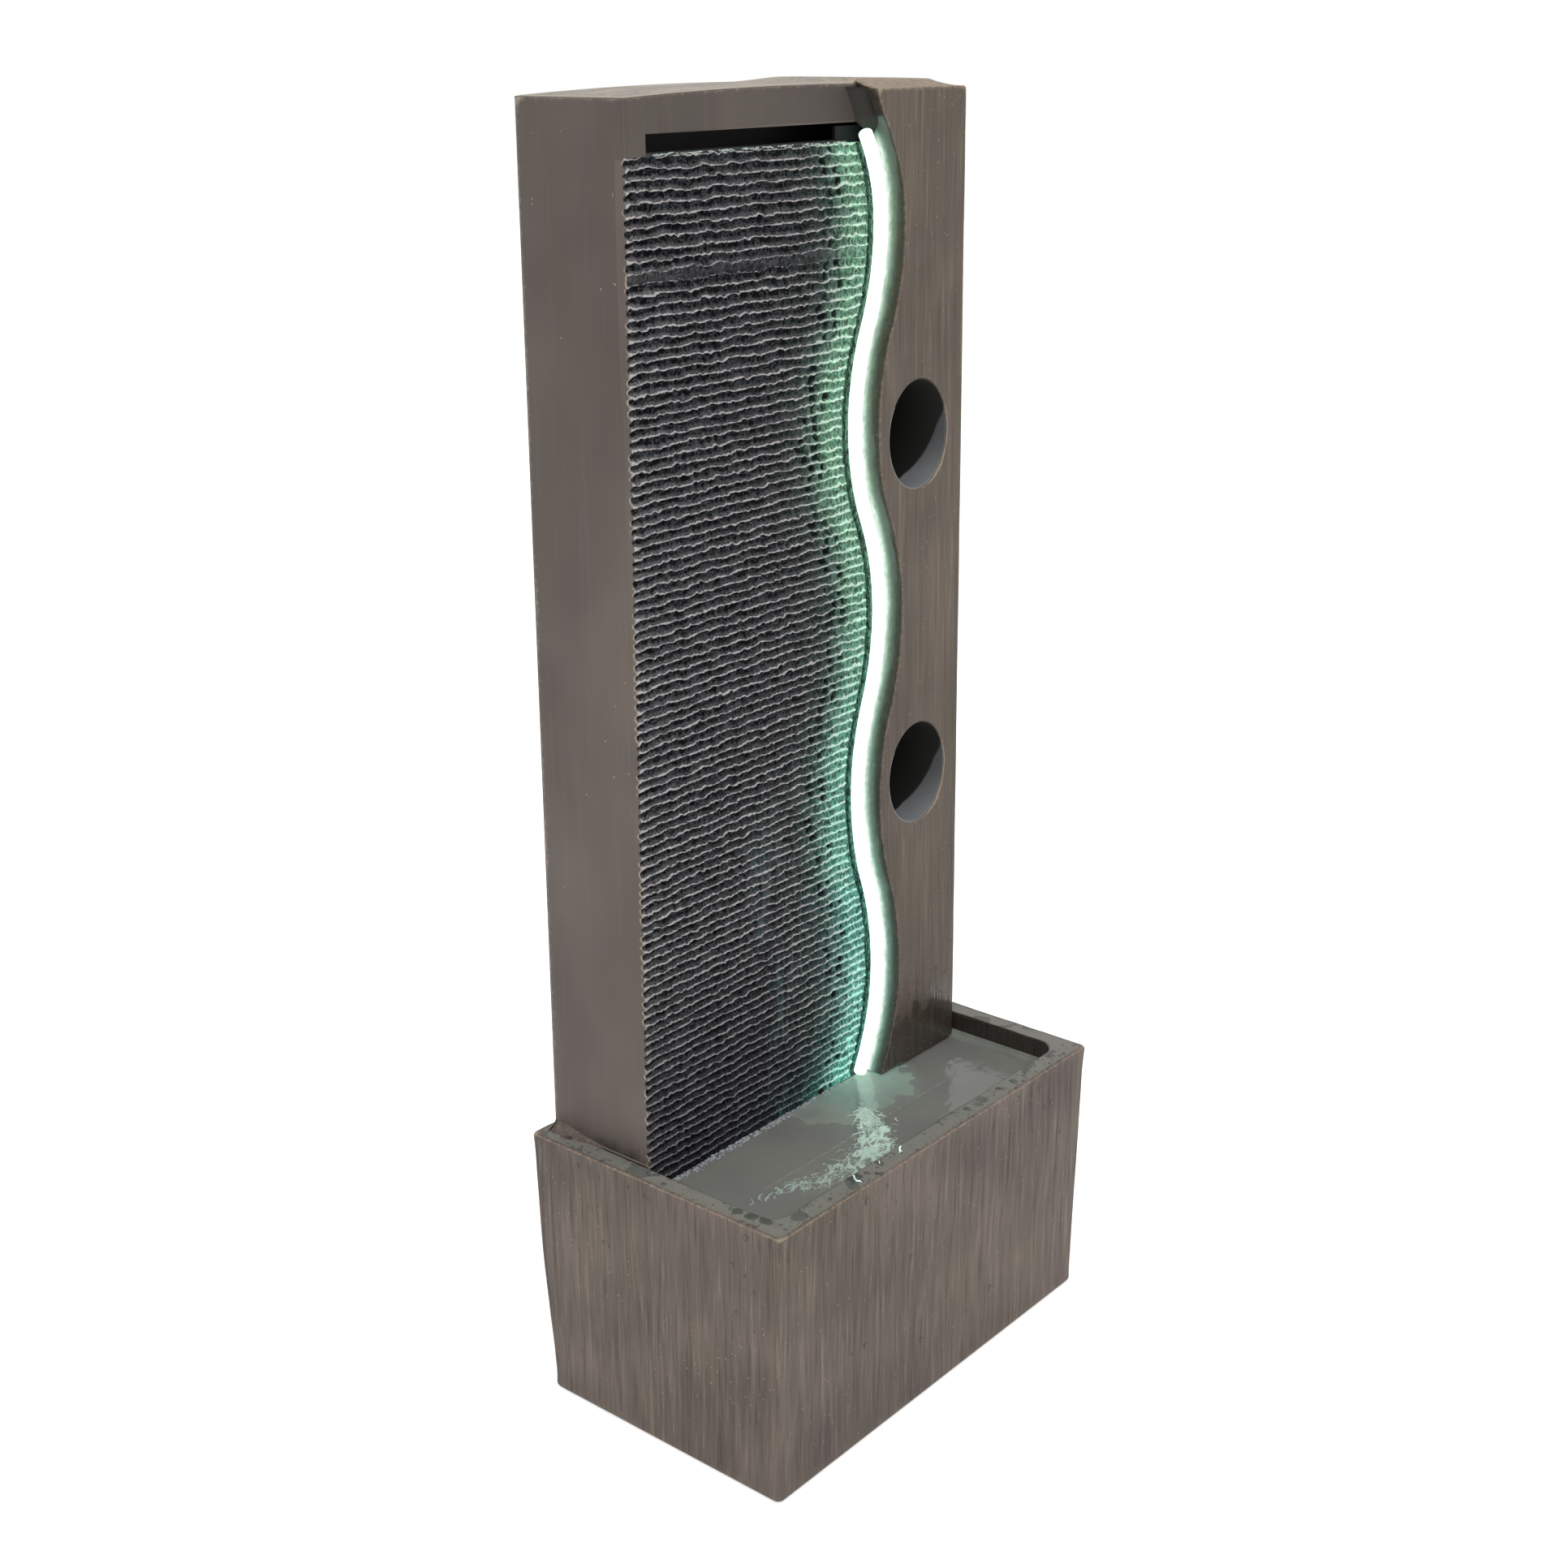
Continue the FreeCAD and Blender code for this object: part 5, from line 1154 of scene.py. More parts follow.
@dataclass(frozen=True)
class TowerLines:
    """Faces of the tower that several pieces share."""

    foot_half: float = 182.3
    narrowing: float = 7.1
    foot_z: float = 194.2
    top_z: float = 1000.0
    crown: float = 4.0
    panel_y: float = 21.5
    plank_y: float = 0.5
    back_y: float = 122.0
    sill_z: float = 207.0
    slot_z0: float = 963.0
    slot_z1: float = 977.0
    slot_left: float = -156.9
    hump: float = 3.8
    hump_left: tuple = (5.0, 60.0)
    hump_right: tuple = (176.0, 156.0)
    hump_rear: tuple = (116.0, 84.0)
    plank_left: tuple = (58.0, 70.0)
    grown: tuple = (-2.0, 24.0)
    wave: Wave = Wave()

    def half(self, z: Values) -> Array:
        """Returns half the tower's width at a height; it narrows evenly upward."""
        above = np.asarray(z) - self.foot_z
        return self.foot_half - self.narrowing * above / (self.top_z - self.foot_z)

    def top(self, x: Values, y: Values) -> Array:
        """Finds the height of the pillowed top.

        Formula: a parabola from side to side plus a hump behind the plank; the hump,
        and over the plank the parabola too, grow from nothing at the front edge to
        their full height 24 mm behind it.
        Args:
            x: places across.
            y: places front to back.
        Returns:
            Heights.
        """
        x = np.asarray(x)
        sides = self.hump * smooth_step(*self.hump_left, x) * smooth_step(*self.hump_right, x)
        hump = sides * smooth_step(*self.hump_rear, y)
        over_plank = smooth_step(*self.plank_left, x)
        front = self.panel_y + (self.plank_y - self.panel_y) * over_plank
        grown = smooth_step(*self.grown, y - front)
        arch = self.crown * (1.0 - (x / self.half(self.top_z)) ** 2)
        return self.top_z + arch * (1.0 - over_plank * (1.0 - grown)) + hump * grown


LINES = TowerLines()


def corner_wear(ring: Array, reach: float, size: float) -> Array:
    """Returns size at each upright corner of a ring and less away from it, over reach millimetres.

    Args:
        ring: the ring's places.
        reach: how fast the wear fades from a corner.
        size: the wear at a corner.
    Returns:
        The wear at each point.
    """
    x, y = ring[..., 0], ring[..., 1]
    edge_x = np.minimum(x - x.min(axis=-1, keepdims=True), x.max(axis=-1, keepdims=True) - x)
    edge_y = np.minimum(y - y.min(axis=-1, keepdims=True), y.max(axis=-1, keepdims=True) - y)
    return size * np.exp(-((edge_x + edge_y) / reach) ** 1.2)


# Basin


@dataclass(frozen=True)
class Basin:
    """The brushed outer basin with its rim, ledge and the pocket of the drain bung."""

    half_x: float = 202.0
    half_y: float = 124.5
    inset_x: float = 2.5
    inset_y: float = 5.0
    rim_z: float = 229.0
    corner: float = 5.0
    foot_round: float = 4.0
    rim_round: float = 2.4
    opening_half: float = 184.0
    opening_front: float = -104.5
    opening_back: float = 108.0
    opening_corner: float = 16.0
    ledge_z: float = 194.0
    tank_half_x: float = 188.0
    tank_half_y: float = 108.0
    bung_x: float = 120.0
    bung_z: float = 30.0
    pocket_r: float = 15.0
    pocket_depth: float = 4.0
    pocket_round: float = 0.6
    bore_r: float = 9.3
    bore_depth: float = 14.0
    flare: float = 5.5
    wall_rows: int = 36
    turn_steps: int = 5
    rim_steps: int = 9
    lip: float = 1.6
    ledge_width: float = 8.0
    stroke_full: float = 0.75
    strokes_from: tuple = (0.0, 10.0)
    swell_from: tuple = (0.0, 20.0)
    wear_from: tuple = (0.0, 60.0)
    flare_up: tuple = (0.0, 150.0)
    flare_left: tuple = (-120.0, -190.0)
    flare_rear: tuple = (60.0, 115.0)
    wet_band: tuple = (-15.0, -3.0)
    tank_levels: tuple = (170.0, 120.0, 60.0, 18.0, 12.0)
    strokes: Strokes = Strokes(11, pitch=2.7, depth=1.0)
    swell: Grain = Grain(5, 120.0, 90.0, 1, 0.9)
    swell_base: float = 0.7
    rim_grain: Grain = Grain(8, 18.0, 18.0, 3, 0.35)
    shore: Grain = Grain(21, 14.0, 14.0, 3, 9.0)
    ring: Ring = Ring(front=420, side=256, corner=7)

    def build(self) -> bpy.types.Object:
        """Makes the basin and returns it.

        Returns:
            The new object.
        """
        shell = Shell()
        levels, wall = self._levels()
        points, marks = self._surface(levels, wall)
        grid = shell.add(points, **marks)
        keep = np.ones((grid.shape[0] - 1, grid.shape[1]), bool)
        window = self._bung_window(points)
        window.clear(keep)
        shell.skin(grid, wrap=True, keep=keep)
        self.ring.cap(shell, grid[0], turned=True)
        self.ring.cap(shell, grid[-1])
        self._pocket(shell, window, grid, points)
        piece = shell.build("basin", Look.BASIN.value)
        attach(piece, ROOT)
        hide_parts("basin_shell", "tray_ledge")
        return piece

    def _levels(self) -> tuple[Array, int]:
        """Lists the rings from the foot, up the outside, over the rim and down inside.

        Returns:
            Rows of z, left, right, front, back, front radius and rear radius, and how many
            of them are outside wall.
        """
        quarter = np.linspace(0.0, 1.0, self.turn_steps) * np.pi / 2
        rows = [
            self._outer(self.foot_round * (1 - np.cos(turn)), self.foot_round * (1 - np.sin(turn)))
            for turn in quarter]
        heights = np.linspace(self.foot_round, self.rim_z - self.rim_round, self.wall_rows + 1)[1:]
        rows += [self._outer(z, 0.0) for z in heights]
        rows += [
            self._outer(
                self.rim_z - self.rim_round * (1 - np.sin(turn)), self.rim_round * (1 - np.cos(turn)))
            for turn in quarter[1:]]
        wall = len(rows)
        outer = np.array(rows[-1])
        inner = np.array(self._inner(self.rim_z, -self.lip))
        steps = np.linspace(0, 1, self.rim_steps)[1:]
        rows += [tuple(outer + (inner - outer) * share) for share in steps]
        rows += [self._inner(self.rim_z - 0.5, -0.5), self._inner(self.rim_z - self.lip, 0.0)]
        rows += [self._inner(z, 0.0) for z in np.linspace(self.rim_z - 4, self.ledge_z, 6)]
        rows += [self._inner(self.ledge_z, reach) for reach in (self.ledge_width / 2, self.ledge_width)]
        rows.append(self._inner(self.ledge_z - 10.0, self.ledge_width))
        x, y = self.tank_half_x, self.tank_half_y
        rows += [(z, -x, x, -y, y, 2.0, 2.0) for z in self.tank_levels]
        return np.array(rows), wall

    def _outer(self, z: float, inset: float) -> tuple[float, ...]:
        """Returns the outside ring at a height, which widens evenly from the foot.

        Args:
            z: height of the ring.
            inset: how far it moves in.
        Returns:
            Height, sides and corner radii.
        """
        up = z / self.rim_z
        x = self.half_x - self.inset_x * (1 - up) - inset
        y = self.half_y - self.inset_y * (1 - up) - inset
        return (z, -x, x, -y, y, self.corner, self.corner)

    def _inner(self, z: float, inset: float) -> tuple[float, ...]:
        """Returns an inside ring of the opening, moved in by inset.

        Args:
            z: height of the ring.
            inset: how far it moves in.
        Returns:
            Height, sides and corner radii.
        """
        x = self.opening_half - inset
        back = self.opening_back - max(inset, 0.0) * 0.2 - min(inset, 0.0) * -1.0
        return (z, -x, x, self.opening_front + inset, back, self.opening_corner - 0.5 * inset, 1.0)

    def _surface(self, levels: Array, wall: int) -> tuple[Array, dict]:
        """Places the points: strokes cut into the outside, a slightly uneven rim.

        Args:
            levels: the rings, one row each.
            wall: how many of them are outside wall.
        Returns:
            The places and the marks.
        """
        z = levels[:, :1]
        plan, out = self.ring.path(*levels[:, 1:].T)
        along = plan[..., 0] * np.sign(-out[..., 1] + 0.01) + plan[..., 1]
        outside = (np.arange(len(levels)) < wall)[:, None]
        near_rim = smooth_step(self.rim_z - 9, self.rim_z, z)
        fade = smooth_step(*self.strokes_from, z) * (1 - 0.45 * near_rim)
        cut = self.strokes.depth_at(along, z) * fade
        swell = self.swell.at(along, z) - self.swell_base
        swell = swell * smooth_step(*self.swell_from, z)
        swell = swell * smooth_step(self.rim_z + 0.5, self.rim_z - 24.0, z)
        push = np.where(outside, swell - cut, 0.0)
        flare = self.flare * smooth_step(*self.flare_up, z)
        flare = flare * smooth_step(*self.flare_left, plan[..., 0])
        rear = np.where(outside, flare * smooth_step(*self.flare_rear, plan[..., 1]), 0.0)
        plan = plan + out * push[..., None] + rear[..., None] * np.array([0.0, 1.0])
        rim = smooth_step(self.rim_z - 6, self.rim_z - 1, z)
        lift = self.rim_grain.at(plan[..., 0], plan[..., 1]) * rim
        height = np.broadcast_to(z, plan.shape[:2]) + lift
        on_top = (~outside) & (z > self.rim_z - 0.2)
        corners = corner_wear(plan, 4.0, 0.5) * outside * smooth_step(*self.wear_from, z)
        top_wear = np.exp(-np.abs(z - self.rim_z + 0.8) / 1.2) * outside
        to_side = self.opening_half - np.abs(plan[..., 0])
        inner_edge = np.minimum(to_side, plan[..., 1] - self.opening_front)
        wet_rim = smooth_step(*self.wet_band, inner_edge + self.shore.at(plan[..., 0], plan[..., 1]))
        inside = (~outside) & (z < self.rim_z - 0.3)
        # Painted shade: deeper strokes darker and the outside darker toward the floor; the inside of
        # the opening is painted dark as shade.
        stroke = np.clip(cut / self.stroke_full, 0, 1) ** 1.3 + 0.12 * smooth_step(110, 0, z)
        return np.concatenate([plan, height[..., None]], axis=-1), {
            "wear": np.clip(corners + 0.75 * top_wear, 0, 1),
            "groove": np.where(outside, stroke, 1.2 * inside),
            "wet": np.where(inside, 0.95, np.where(on_top, 0.3 * wet_rim, 0.0)) + 0 * height,
            "silt": np.where(on_top, 0.8 + 0.15 * wet_rim, 0.0) + 0 * height,
            "glow": np.zeros_like(height),
        }

    def _bung_window(self, points: Array) -> Window:
        """Finds the block of rear-wall faces round the bung.

        Args:
            points: the places of the grid.
        Returns:
            The block.
        """
        rear = self.ring.rear_start
        x = points[10, rear : rear + self.ring.front, 0]
        z = points[: self.wall_rows, rear, 2]
        reach = self.pocket_r + 3.0
        columns = rear + np.flatnonzero(np.abs(x - self.bung_x) < reach)
        rows = np.flatnonzero(np.abs(z - self.bung_z) < reach)
        return Window(rows[0], rows[-1], columns[0], columns[-1])

    def _pocket(self, shell: Shell, window: Window, grid: Array, points: Array) -> None:
        """Sets the round pocket and bore into the rear wall.

        Args:
            shell: the mesh that the faces go to.
            window: the block of faces that is left out.
            grid: point numbers, rows first.
            points: the places of the grid.
        """
        start = window.border(points)
        angle = np.arctan2(start[:, 2] - self.bung_z, start[:, 0] - self.bung_x)
        face = start[:, 1].mean()

        def circle(radius: float, depth: float) -> Array:
            """Returns a circle round the bung at a depth behind the wall's face.

            Args:
                radius: the circle's radius.
                depth: how far behind the wall's face.
            Returns:
                The places.
            """
            return np.stack([
                self.bung_x + radius * np.cos(angle), np.full_like(angle, face - depth),
                self.bung_z + radius * np.sin(angle)], axis=-1)

        wide = circle(self.pocket_r + self.pocket_round, 0.0)
        loop = lay_rings(shell, window.border(grid), start, wide, 3)
        loop = shell.lay(loop, [
            circle(self.pocket_r, self.pocket_round), circle(self.pocket_r, self.pocket_depth),
            circle(self.bore_r, self.pocket_depth), circle(self.bore_r, self.bore_depth)])
        centre = shell.add(np.array([[self.bung_x, face - self.bore_depth, self.bung_z]]))
        shell.fan(loop, centre[0])


# Tray


@dataclass(frozen=True)
class Tray:
    """The shallow tray: coved walls, a floor that falls to the front, a grey beach, a drain."""

    half: float = 183.7
    front: float = -104.2
    back: float = 21.2
    corner: float = 15.7
    bottom: float = 194.2
    top: float = 213.0
    front_floor: float = 202.4
    back_floor: float = 204.6
    cove: float = 8.0
    drain_x: float = 133.0
    drain_y: float = -75.0
    drain_r: float = 8.0
    drain_depth: float = 5.0
    mound: float = 2.9
    mound_at: tuple = (42.0, 6.0)
    mound_half: tuple = (62.0, 52.0)
    mound_edge: Grain = Grain(31, 26.0, 26.0, 3, 0.3)
    ground_grain: Grain = Grain(33, 7.0, 7.0, 3, 0.25)
    glow: float = 0.32
    glow_at: tuple = (76.0, 20.0)
    glow_reach: float = 40.0
    wet_band: tuple = (209.0, 206.5)
    lip: float = 1.5
    lip_insets: tuple = (0.0, 0.0, 1.2)
    floor_reach: float = 61.5
    back_corner: float = 0.6
    back_lean: float = 0.02
    back_straight: float = 9.5
    floor_rings: int = 46
    cove_rings: int = 8
    ring: Ring = Ring(front=250, side=80, corner=14)

    def floor(self, x: Array, y: Array) -> Array:
        """Finds the floor's height.

        Formula: an even slope from front to back, a low mound round the tube's foot and
        a little noise.
        Args:
            x: places across.
            y: places front to back.
        Returns:
            Heights.
        """
        depth = self.back - self.front
        slope = self.front_floor + (self.back_floor - self.front_floor) * (y - self.front) / depth
        (x0, y0), (half_x, half_y) = self.mound_at, self.mound_half
        away = np.hypot((x - x0) / half_x, (y - y0) / half_y)
        mound = self.mound * smooth_step(1.12, 0.78, away * (1.0 + self.mound_edge.at(x, y)))
        return slope + mound * smooth_step(0.0, 12.0, self.back + 8 - y) + self.ground_grain.at(x, y)

    def build(self) -> bpy.types.Object:
        """Makes the tray and returns it.

        Returns:
            The new object.
        """
        turn = np.linspace(0, np.pi / 2, self.cove_rings)
        insets = np.concatenate([
            self.lip_insets, self.lip + self.cove * (1 - np.cos(turn)),
            np.linspace(self.lip + self.cove, self.floor_reach, self.floor_rings)[1:]])
        front = self.front + insets
        back = self.back - self.back_lean * insets
        back = back - np.maximum(insets - self.back_straight, 0) * 1.2
        plan, _ = self.ring.path(
            -self.half + insets, self.half - insets, front, np.maximum(back, front + 1.0),
            np.maximum(self.corner - insets, 1.0), self.back_corner)
        x, y = plan[..., 0], plan[..., 1]
        ground = self.floor(x, y)
        rise = np.concatenate([[0.0, 0.0, 0.0], 1 - np.sin(turn), np.zeros(self.floor_rings - 1)])
        side = smooth_step(0.0, 14.0, self.back - y)
        lip = np.maximum(self.top, ground)
        height = ground + (lip - ground) * rise[:, None] * side
        height[1:3] = ground[1:3] + (lip[1:3] - ground[1:3]) * side[1:3]
        height[0] = self.bottom
        shore = np.exp(-np.hypot(x - self.glow_at[0], y - self.glow_at[1]) / self.glow_reach)
        shell = Shell()
        points = np.stack([x, y, height], axis=-1)
        grid = shell.add(
            points, wear=0.25 * (insets[:, None] < 2.5) + 0 * x, groove=0 * x,
            wet=0.35 + 0.5 * smooth_step(*self.wet_band, height), glow=self.glow * shore, grit=0 * x)
        window = self._drain_window(points)
        keep = np.ones((grid.shape[0] - 1, grid.shape[1]), bool)
        window.clear(keep)
        shell.skin(grid, wrap=True, keep=keep)
        self.ring.cap(shell, grid[-1])
        self._drain(shell, window, grid, points)
        self.ring.cap(shell, grid[0], turned=True)
        piece = shell.build("tray", Look.TRAY.value)
        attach(piece, ROOT)
        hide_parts("catch_tray")
        return piece

    def _drain_window(self, points: Array) -> Window:
        """Finds the block of floor faces round the drain.

        Args:
            points: the places of the grid.
        Returns:
            The block.
        """
        x = points[12, : self.ring.front, 0]
        columns = np.flatnonzero(np.abs(x - self.drain_x) < self.drain_r + 3)
        y = points[:, columns[0], 1]
        rows = np.flatnonzero(np.abs(y - self.drain_y) < self.drain_r + 3)
        return Window(rows[0], rows[-1], columns[0], columns[-1])

    def _drain(self, shell: Shell, window: Window, grid: Array, points: Array) -> None:
        """Sets the drain into the floor.

        Args:
            shell: the mesh that the faces go to.
            window: the block of faces that is left out.
            grid: point numbers, rows first.
            points: the places of the grid.
        """
        loop = window.border(grid)
        start = window.border(points)
        angle = np.arctan2(start[:, 1] - self.drain_y, start[:, 0] - self.drain_x)
        level = self.floor(self.drain_x, self.drain_y)
        steps = (
            (self.drain_r + 1.0, 0.0, 3), (self.drain_r, 0.8, 1), (self.drain_r, self.drain_depth, 1))
        for radius, drop, count in steps:
            ring = np.stack([
                self.drain_x + radius * np.cos(angle), self.drain_y + radius * np.sin(angle),
                np.full_like(angle, level - drop)], axis=-1)
            loop = lay_rings(shell, loop, start, ring, count, wet=0.9)
            start = ring
        centre = shell.add(np.array([[self.drain_x, self.drain_y, start[0, 2]]]), wet=0.9)
        shell.fan(loop, centre[0])


# Tower


@dataclass(frozen=True)
class TowerCoat:
    """The tower's smooth resin skin: soft edges, a crowned top and a rubbed rear edge."""

    proud: float = 0.5
    thick: float = 1.1
    edge: float = 2.6
    foot_z: float = 229.4
    setback: float = 4.6
    top_rings: int = 30
    top_inset: float = 48.0
    back_half: float = 158.0
    back_z: tuple = (242.0, 983.0)
    wet_height: float = 26.0
    grit_line: tuple = (11.0, 1.6)
    shade_up: tuple = (620.0, 900.0)
    shade_right: tuple = (-90.0, 20.0)
    slow: Grain = Grain(41, 70.0, 110.0, 3, 0.32)
    dust_and_sheen: Grain = Grain(43, 30.0, 20.0, 3, 0.2)
    speckle: Grain = Grain(44, 9.0, 25.0, 3, 0.3)
    ring: Ring = Ring(front=180, side=64, corner=6)

    def _heights(self) -> Array:
        """Lists the wall's ring heights, with one on each edge of the slot.

        Returns:
            The heights, lowest first.
        """
        low = np.linspace(self.foot_z, LINES.slot_z0, 150)
        slot = np.linspace(LINES.slot_z0, LINES.slot_z1, 5)[1:]
        head = np.linspace(LINES.slot_z1, LINES.top_z - self.edge, 9)[1:]
        return np.concatenate([low, slot, head])

    def _skin(self, inward: float) -> tuple[Array, Array, Array]:
        """Places one face of the skin, moved in by inward.

        Formula: flat walls that lean in upward, pushed by slow noise of a third of a
        millimetre, then a quarter round, then the crowned top drawn in toward its middle.
        Args:
            inward: how far in from the outside.
        Returns:
            The places, the heights and the insets of the rings.
        """
        walls = self._heights()
        turn = np.linspace(0, np.pi / 2, 6)[1:]
        z = np.concatenate([
            walls, LINES.top_z - self.edge * (1 - np.sin(turn)), np.full(self.top_rings, LINES.top_z)])
        insets = np.concatenate([
            np.zeros(len(walls)), self.edge * (1 - np.cos(turn)),
            np.linspace(self.edge, self.top_inset, self.top_rings + 1)[1:]])
        out = self.proud - inward
        half = LINES.half(z) + out - insets
        below = smooth_step(LINES.slot_z0 - 0.5, LINES.slot_z0 - 4.0, z) * smooth_step(225.0, 235.0, z)
        front = LINES.panel_y - out + insets + self.setback * below
        back = LINES.back_y + out - insets
        radius = np.maximum(self.edge * (1.0 if inward == 0 else 0.5) - insets * 0.03, 0.8)
        plan, away = self.ring.path(-half, half, front, back, radius, radius)
        slow = self.slow.at(plan[..., 0] + plan[..., 1], z[:, None])
        wall = (insets == 0)[:, None] * smooth_step(0.0, 20.0, z - self.foot_z)[:, None]
        plan = plan + away * (slow * wall)[..., None]
        crown = LINES.top(plan[..., 0], plan[..., 1]) - LINES.top_z
        rise = crown * smooth_step(960.0, LINES.top_z, z[:, None])
        height = z[:, None] + rise + (self.proud - inward) * (insets > 0)[:, None]
        return np.concatenate([plan, height[..., None]], axis=-1), z, insets

    def build(self) -> bpy.types.Object:
        """Makes the skin and returns it.

        Returns:
            The new object.
        """
        shell = Shell()
        outer_points, z, insets = self._skin(0.0)
        inner_points, _, _ = self._skin(self.thick)
        x, y, height = (outer_points[..., axis] for axis in range(3))
        near_top = np.exp(-np.abs(z - LINES.top_z + 1.0) / 3.0)
        top_edge = near_top[:, None] * (insets < self.edge + 3)[:, None]
        on_top = (insets > 0.8)[:, None] + 0 * x
        rear = np.exp(-np.hypot(y - LINES.back_y, x + LINES.half(z)[:, None]) / 5.0)
        # Painted lighter on top: dust, and painted sheen where light falls on the top from above.
        dust_and_sheen = on_top * (0.72 + self.dust_and_sheen.at(x, y))
        speckled = self.speckle.at(y, height)
        wear = np.clip(0.55 * top_edge + dust_and_sheen + rear * (0.75 + speckled) * (1 - on_top), 0, 1)
        foot = smooth_step(self.foot_z + self.wet_height, self.foot_z, height)
        behind, width = self.grit_line
        grit = 0.12 * np.exp(-(((y - LINES.panel_y - behind) / width) ** 2)) * (x < 0) * (1 - on_top)
        # Painted shade: walls darker toward the top, the header's front darker toward its right, and a
        # little everywhere but the top.
        coat_shade = (0.5 * smooth_step(*self.shade_up, height) + 0.1) * (1 - on_top)
        front = y < LINES.panel_y + 3.0
        coat_shade = coat_shade + 0.35 * smooth_step(*self.shade_right, x) * front * (1 - on_top)
        # The foot is damp, and painted shade darkens it where the coat meets the rim.
        outer = shell.add(
            outer_points, wear=wear, wet=0.45 * foot, glow=0 * x, groove=0.35 * foot + coat_shade, grit=grit)
        inner = shell.add(inner_points)
        keep = self._kept(z, outer_points)
        shell.skin(outer, wrap=True, keep=keep)
        shell.skin(inner, wrap=True, keep=keep, turned=True)
        self._hems(shell, outer, inner, keep)
        self.ring.cap(shell, outer[-1])
        self.ring.cap(shell, inner[-1], turned=True)
        piece = shell.build("tower_coat", Look.TOWER.value)
        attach(piece, ROOT)
        return piece

    def _kept(self, z: Array, points: Array) -> Array:
        """Tells which faces exist: the front only round the slot, the back only as a frame.

        Args:
            z: the rings' heights.
            points: the places of the grid.
        Returns:
            True for each face that exists.
        """
        middle_z = (z[:-1] + z[1:])[:, None] / 2
        middle_x = (points[:-1, :, 0] + np.roll(points[:-1, :, 0], -1, axis=1)) / 2
        column = np.arange(self.ring.rear_start * 2)[: points.shape[1]]
        front = ((column < self.ring.front) & (column > 0))[None, :]
        past = column - self.ring.rear_start
        rear = ((past >= 0) & (past < self.ring.front))[None, :]
        below = middle_z < LINES.slot_z0
        slot = (middle_z >= LINES.slot_z0) & (middle_z < LINES.slot_z1) & (middle_x > LINES.slot_left)
        low, high = self.back_z
        opening = (np.abs(middle_x) < self.back_half) & (middle_z > low) & (middle_z < high)
        return ~((front & (below | slot)) | (rear & opening))

    @staticmethod
    def _hems(shell: Shell, outer: Array, inner: Array, keep: Array) -> None:
        """Closes the skin's thickness along every edge of the kept faces.

        Args:
            shell: the mesh that the faces go to.
            outer: the outside's point numbers.
            inner: the inside's point numbers.
            keep: true for each face that exists.
        """
        right_o, right_i = np.roll(outer, -1, axis=1), np.roll(inner, -1, axis=1)
        none = np.zeros((1, keep.shape[1]), bool)
        starts = keep & ~np.concatenate([none, keep[:-1]])
        ends = keep & ~np.concatenate([keep[1:], np.ones_like(none)])
        left = keep & ~np.roll(keep, 1, axis=1)
        right = keep & ~np.roll(keep, -1, axis=1)
        low_o, low_i, high_o, high_i = outer[:-1], inner[:-1], outer[1:], inner[1:]
        low_ro, low_ri, high_ro, high_ri = right_o[:-1], right_i[:-1], right_o[1:], right_i[1:]
        shell.faces(np.stack([low_ro, low_o, low_i, low_ri], axis=-1)[starts])
        shell.faces(np.stack([high_o, high_ro, high_ri, high_i], axis=-1)[ends])
        shell.faces(np.stack([low_o, high_o, high_i, low_i], axis=-1)[left])
        shell.faces(np.stack([high_ro, low_ro, low_ri, high_ri], axis=-1)[right])


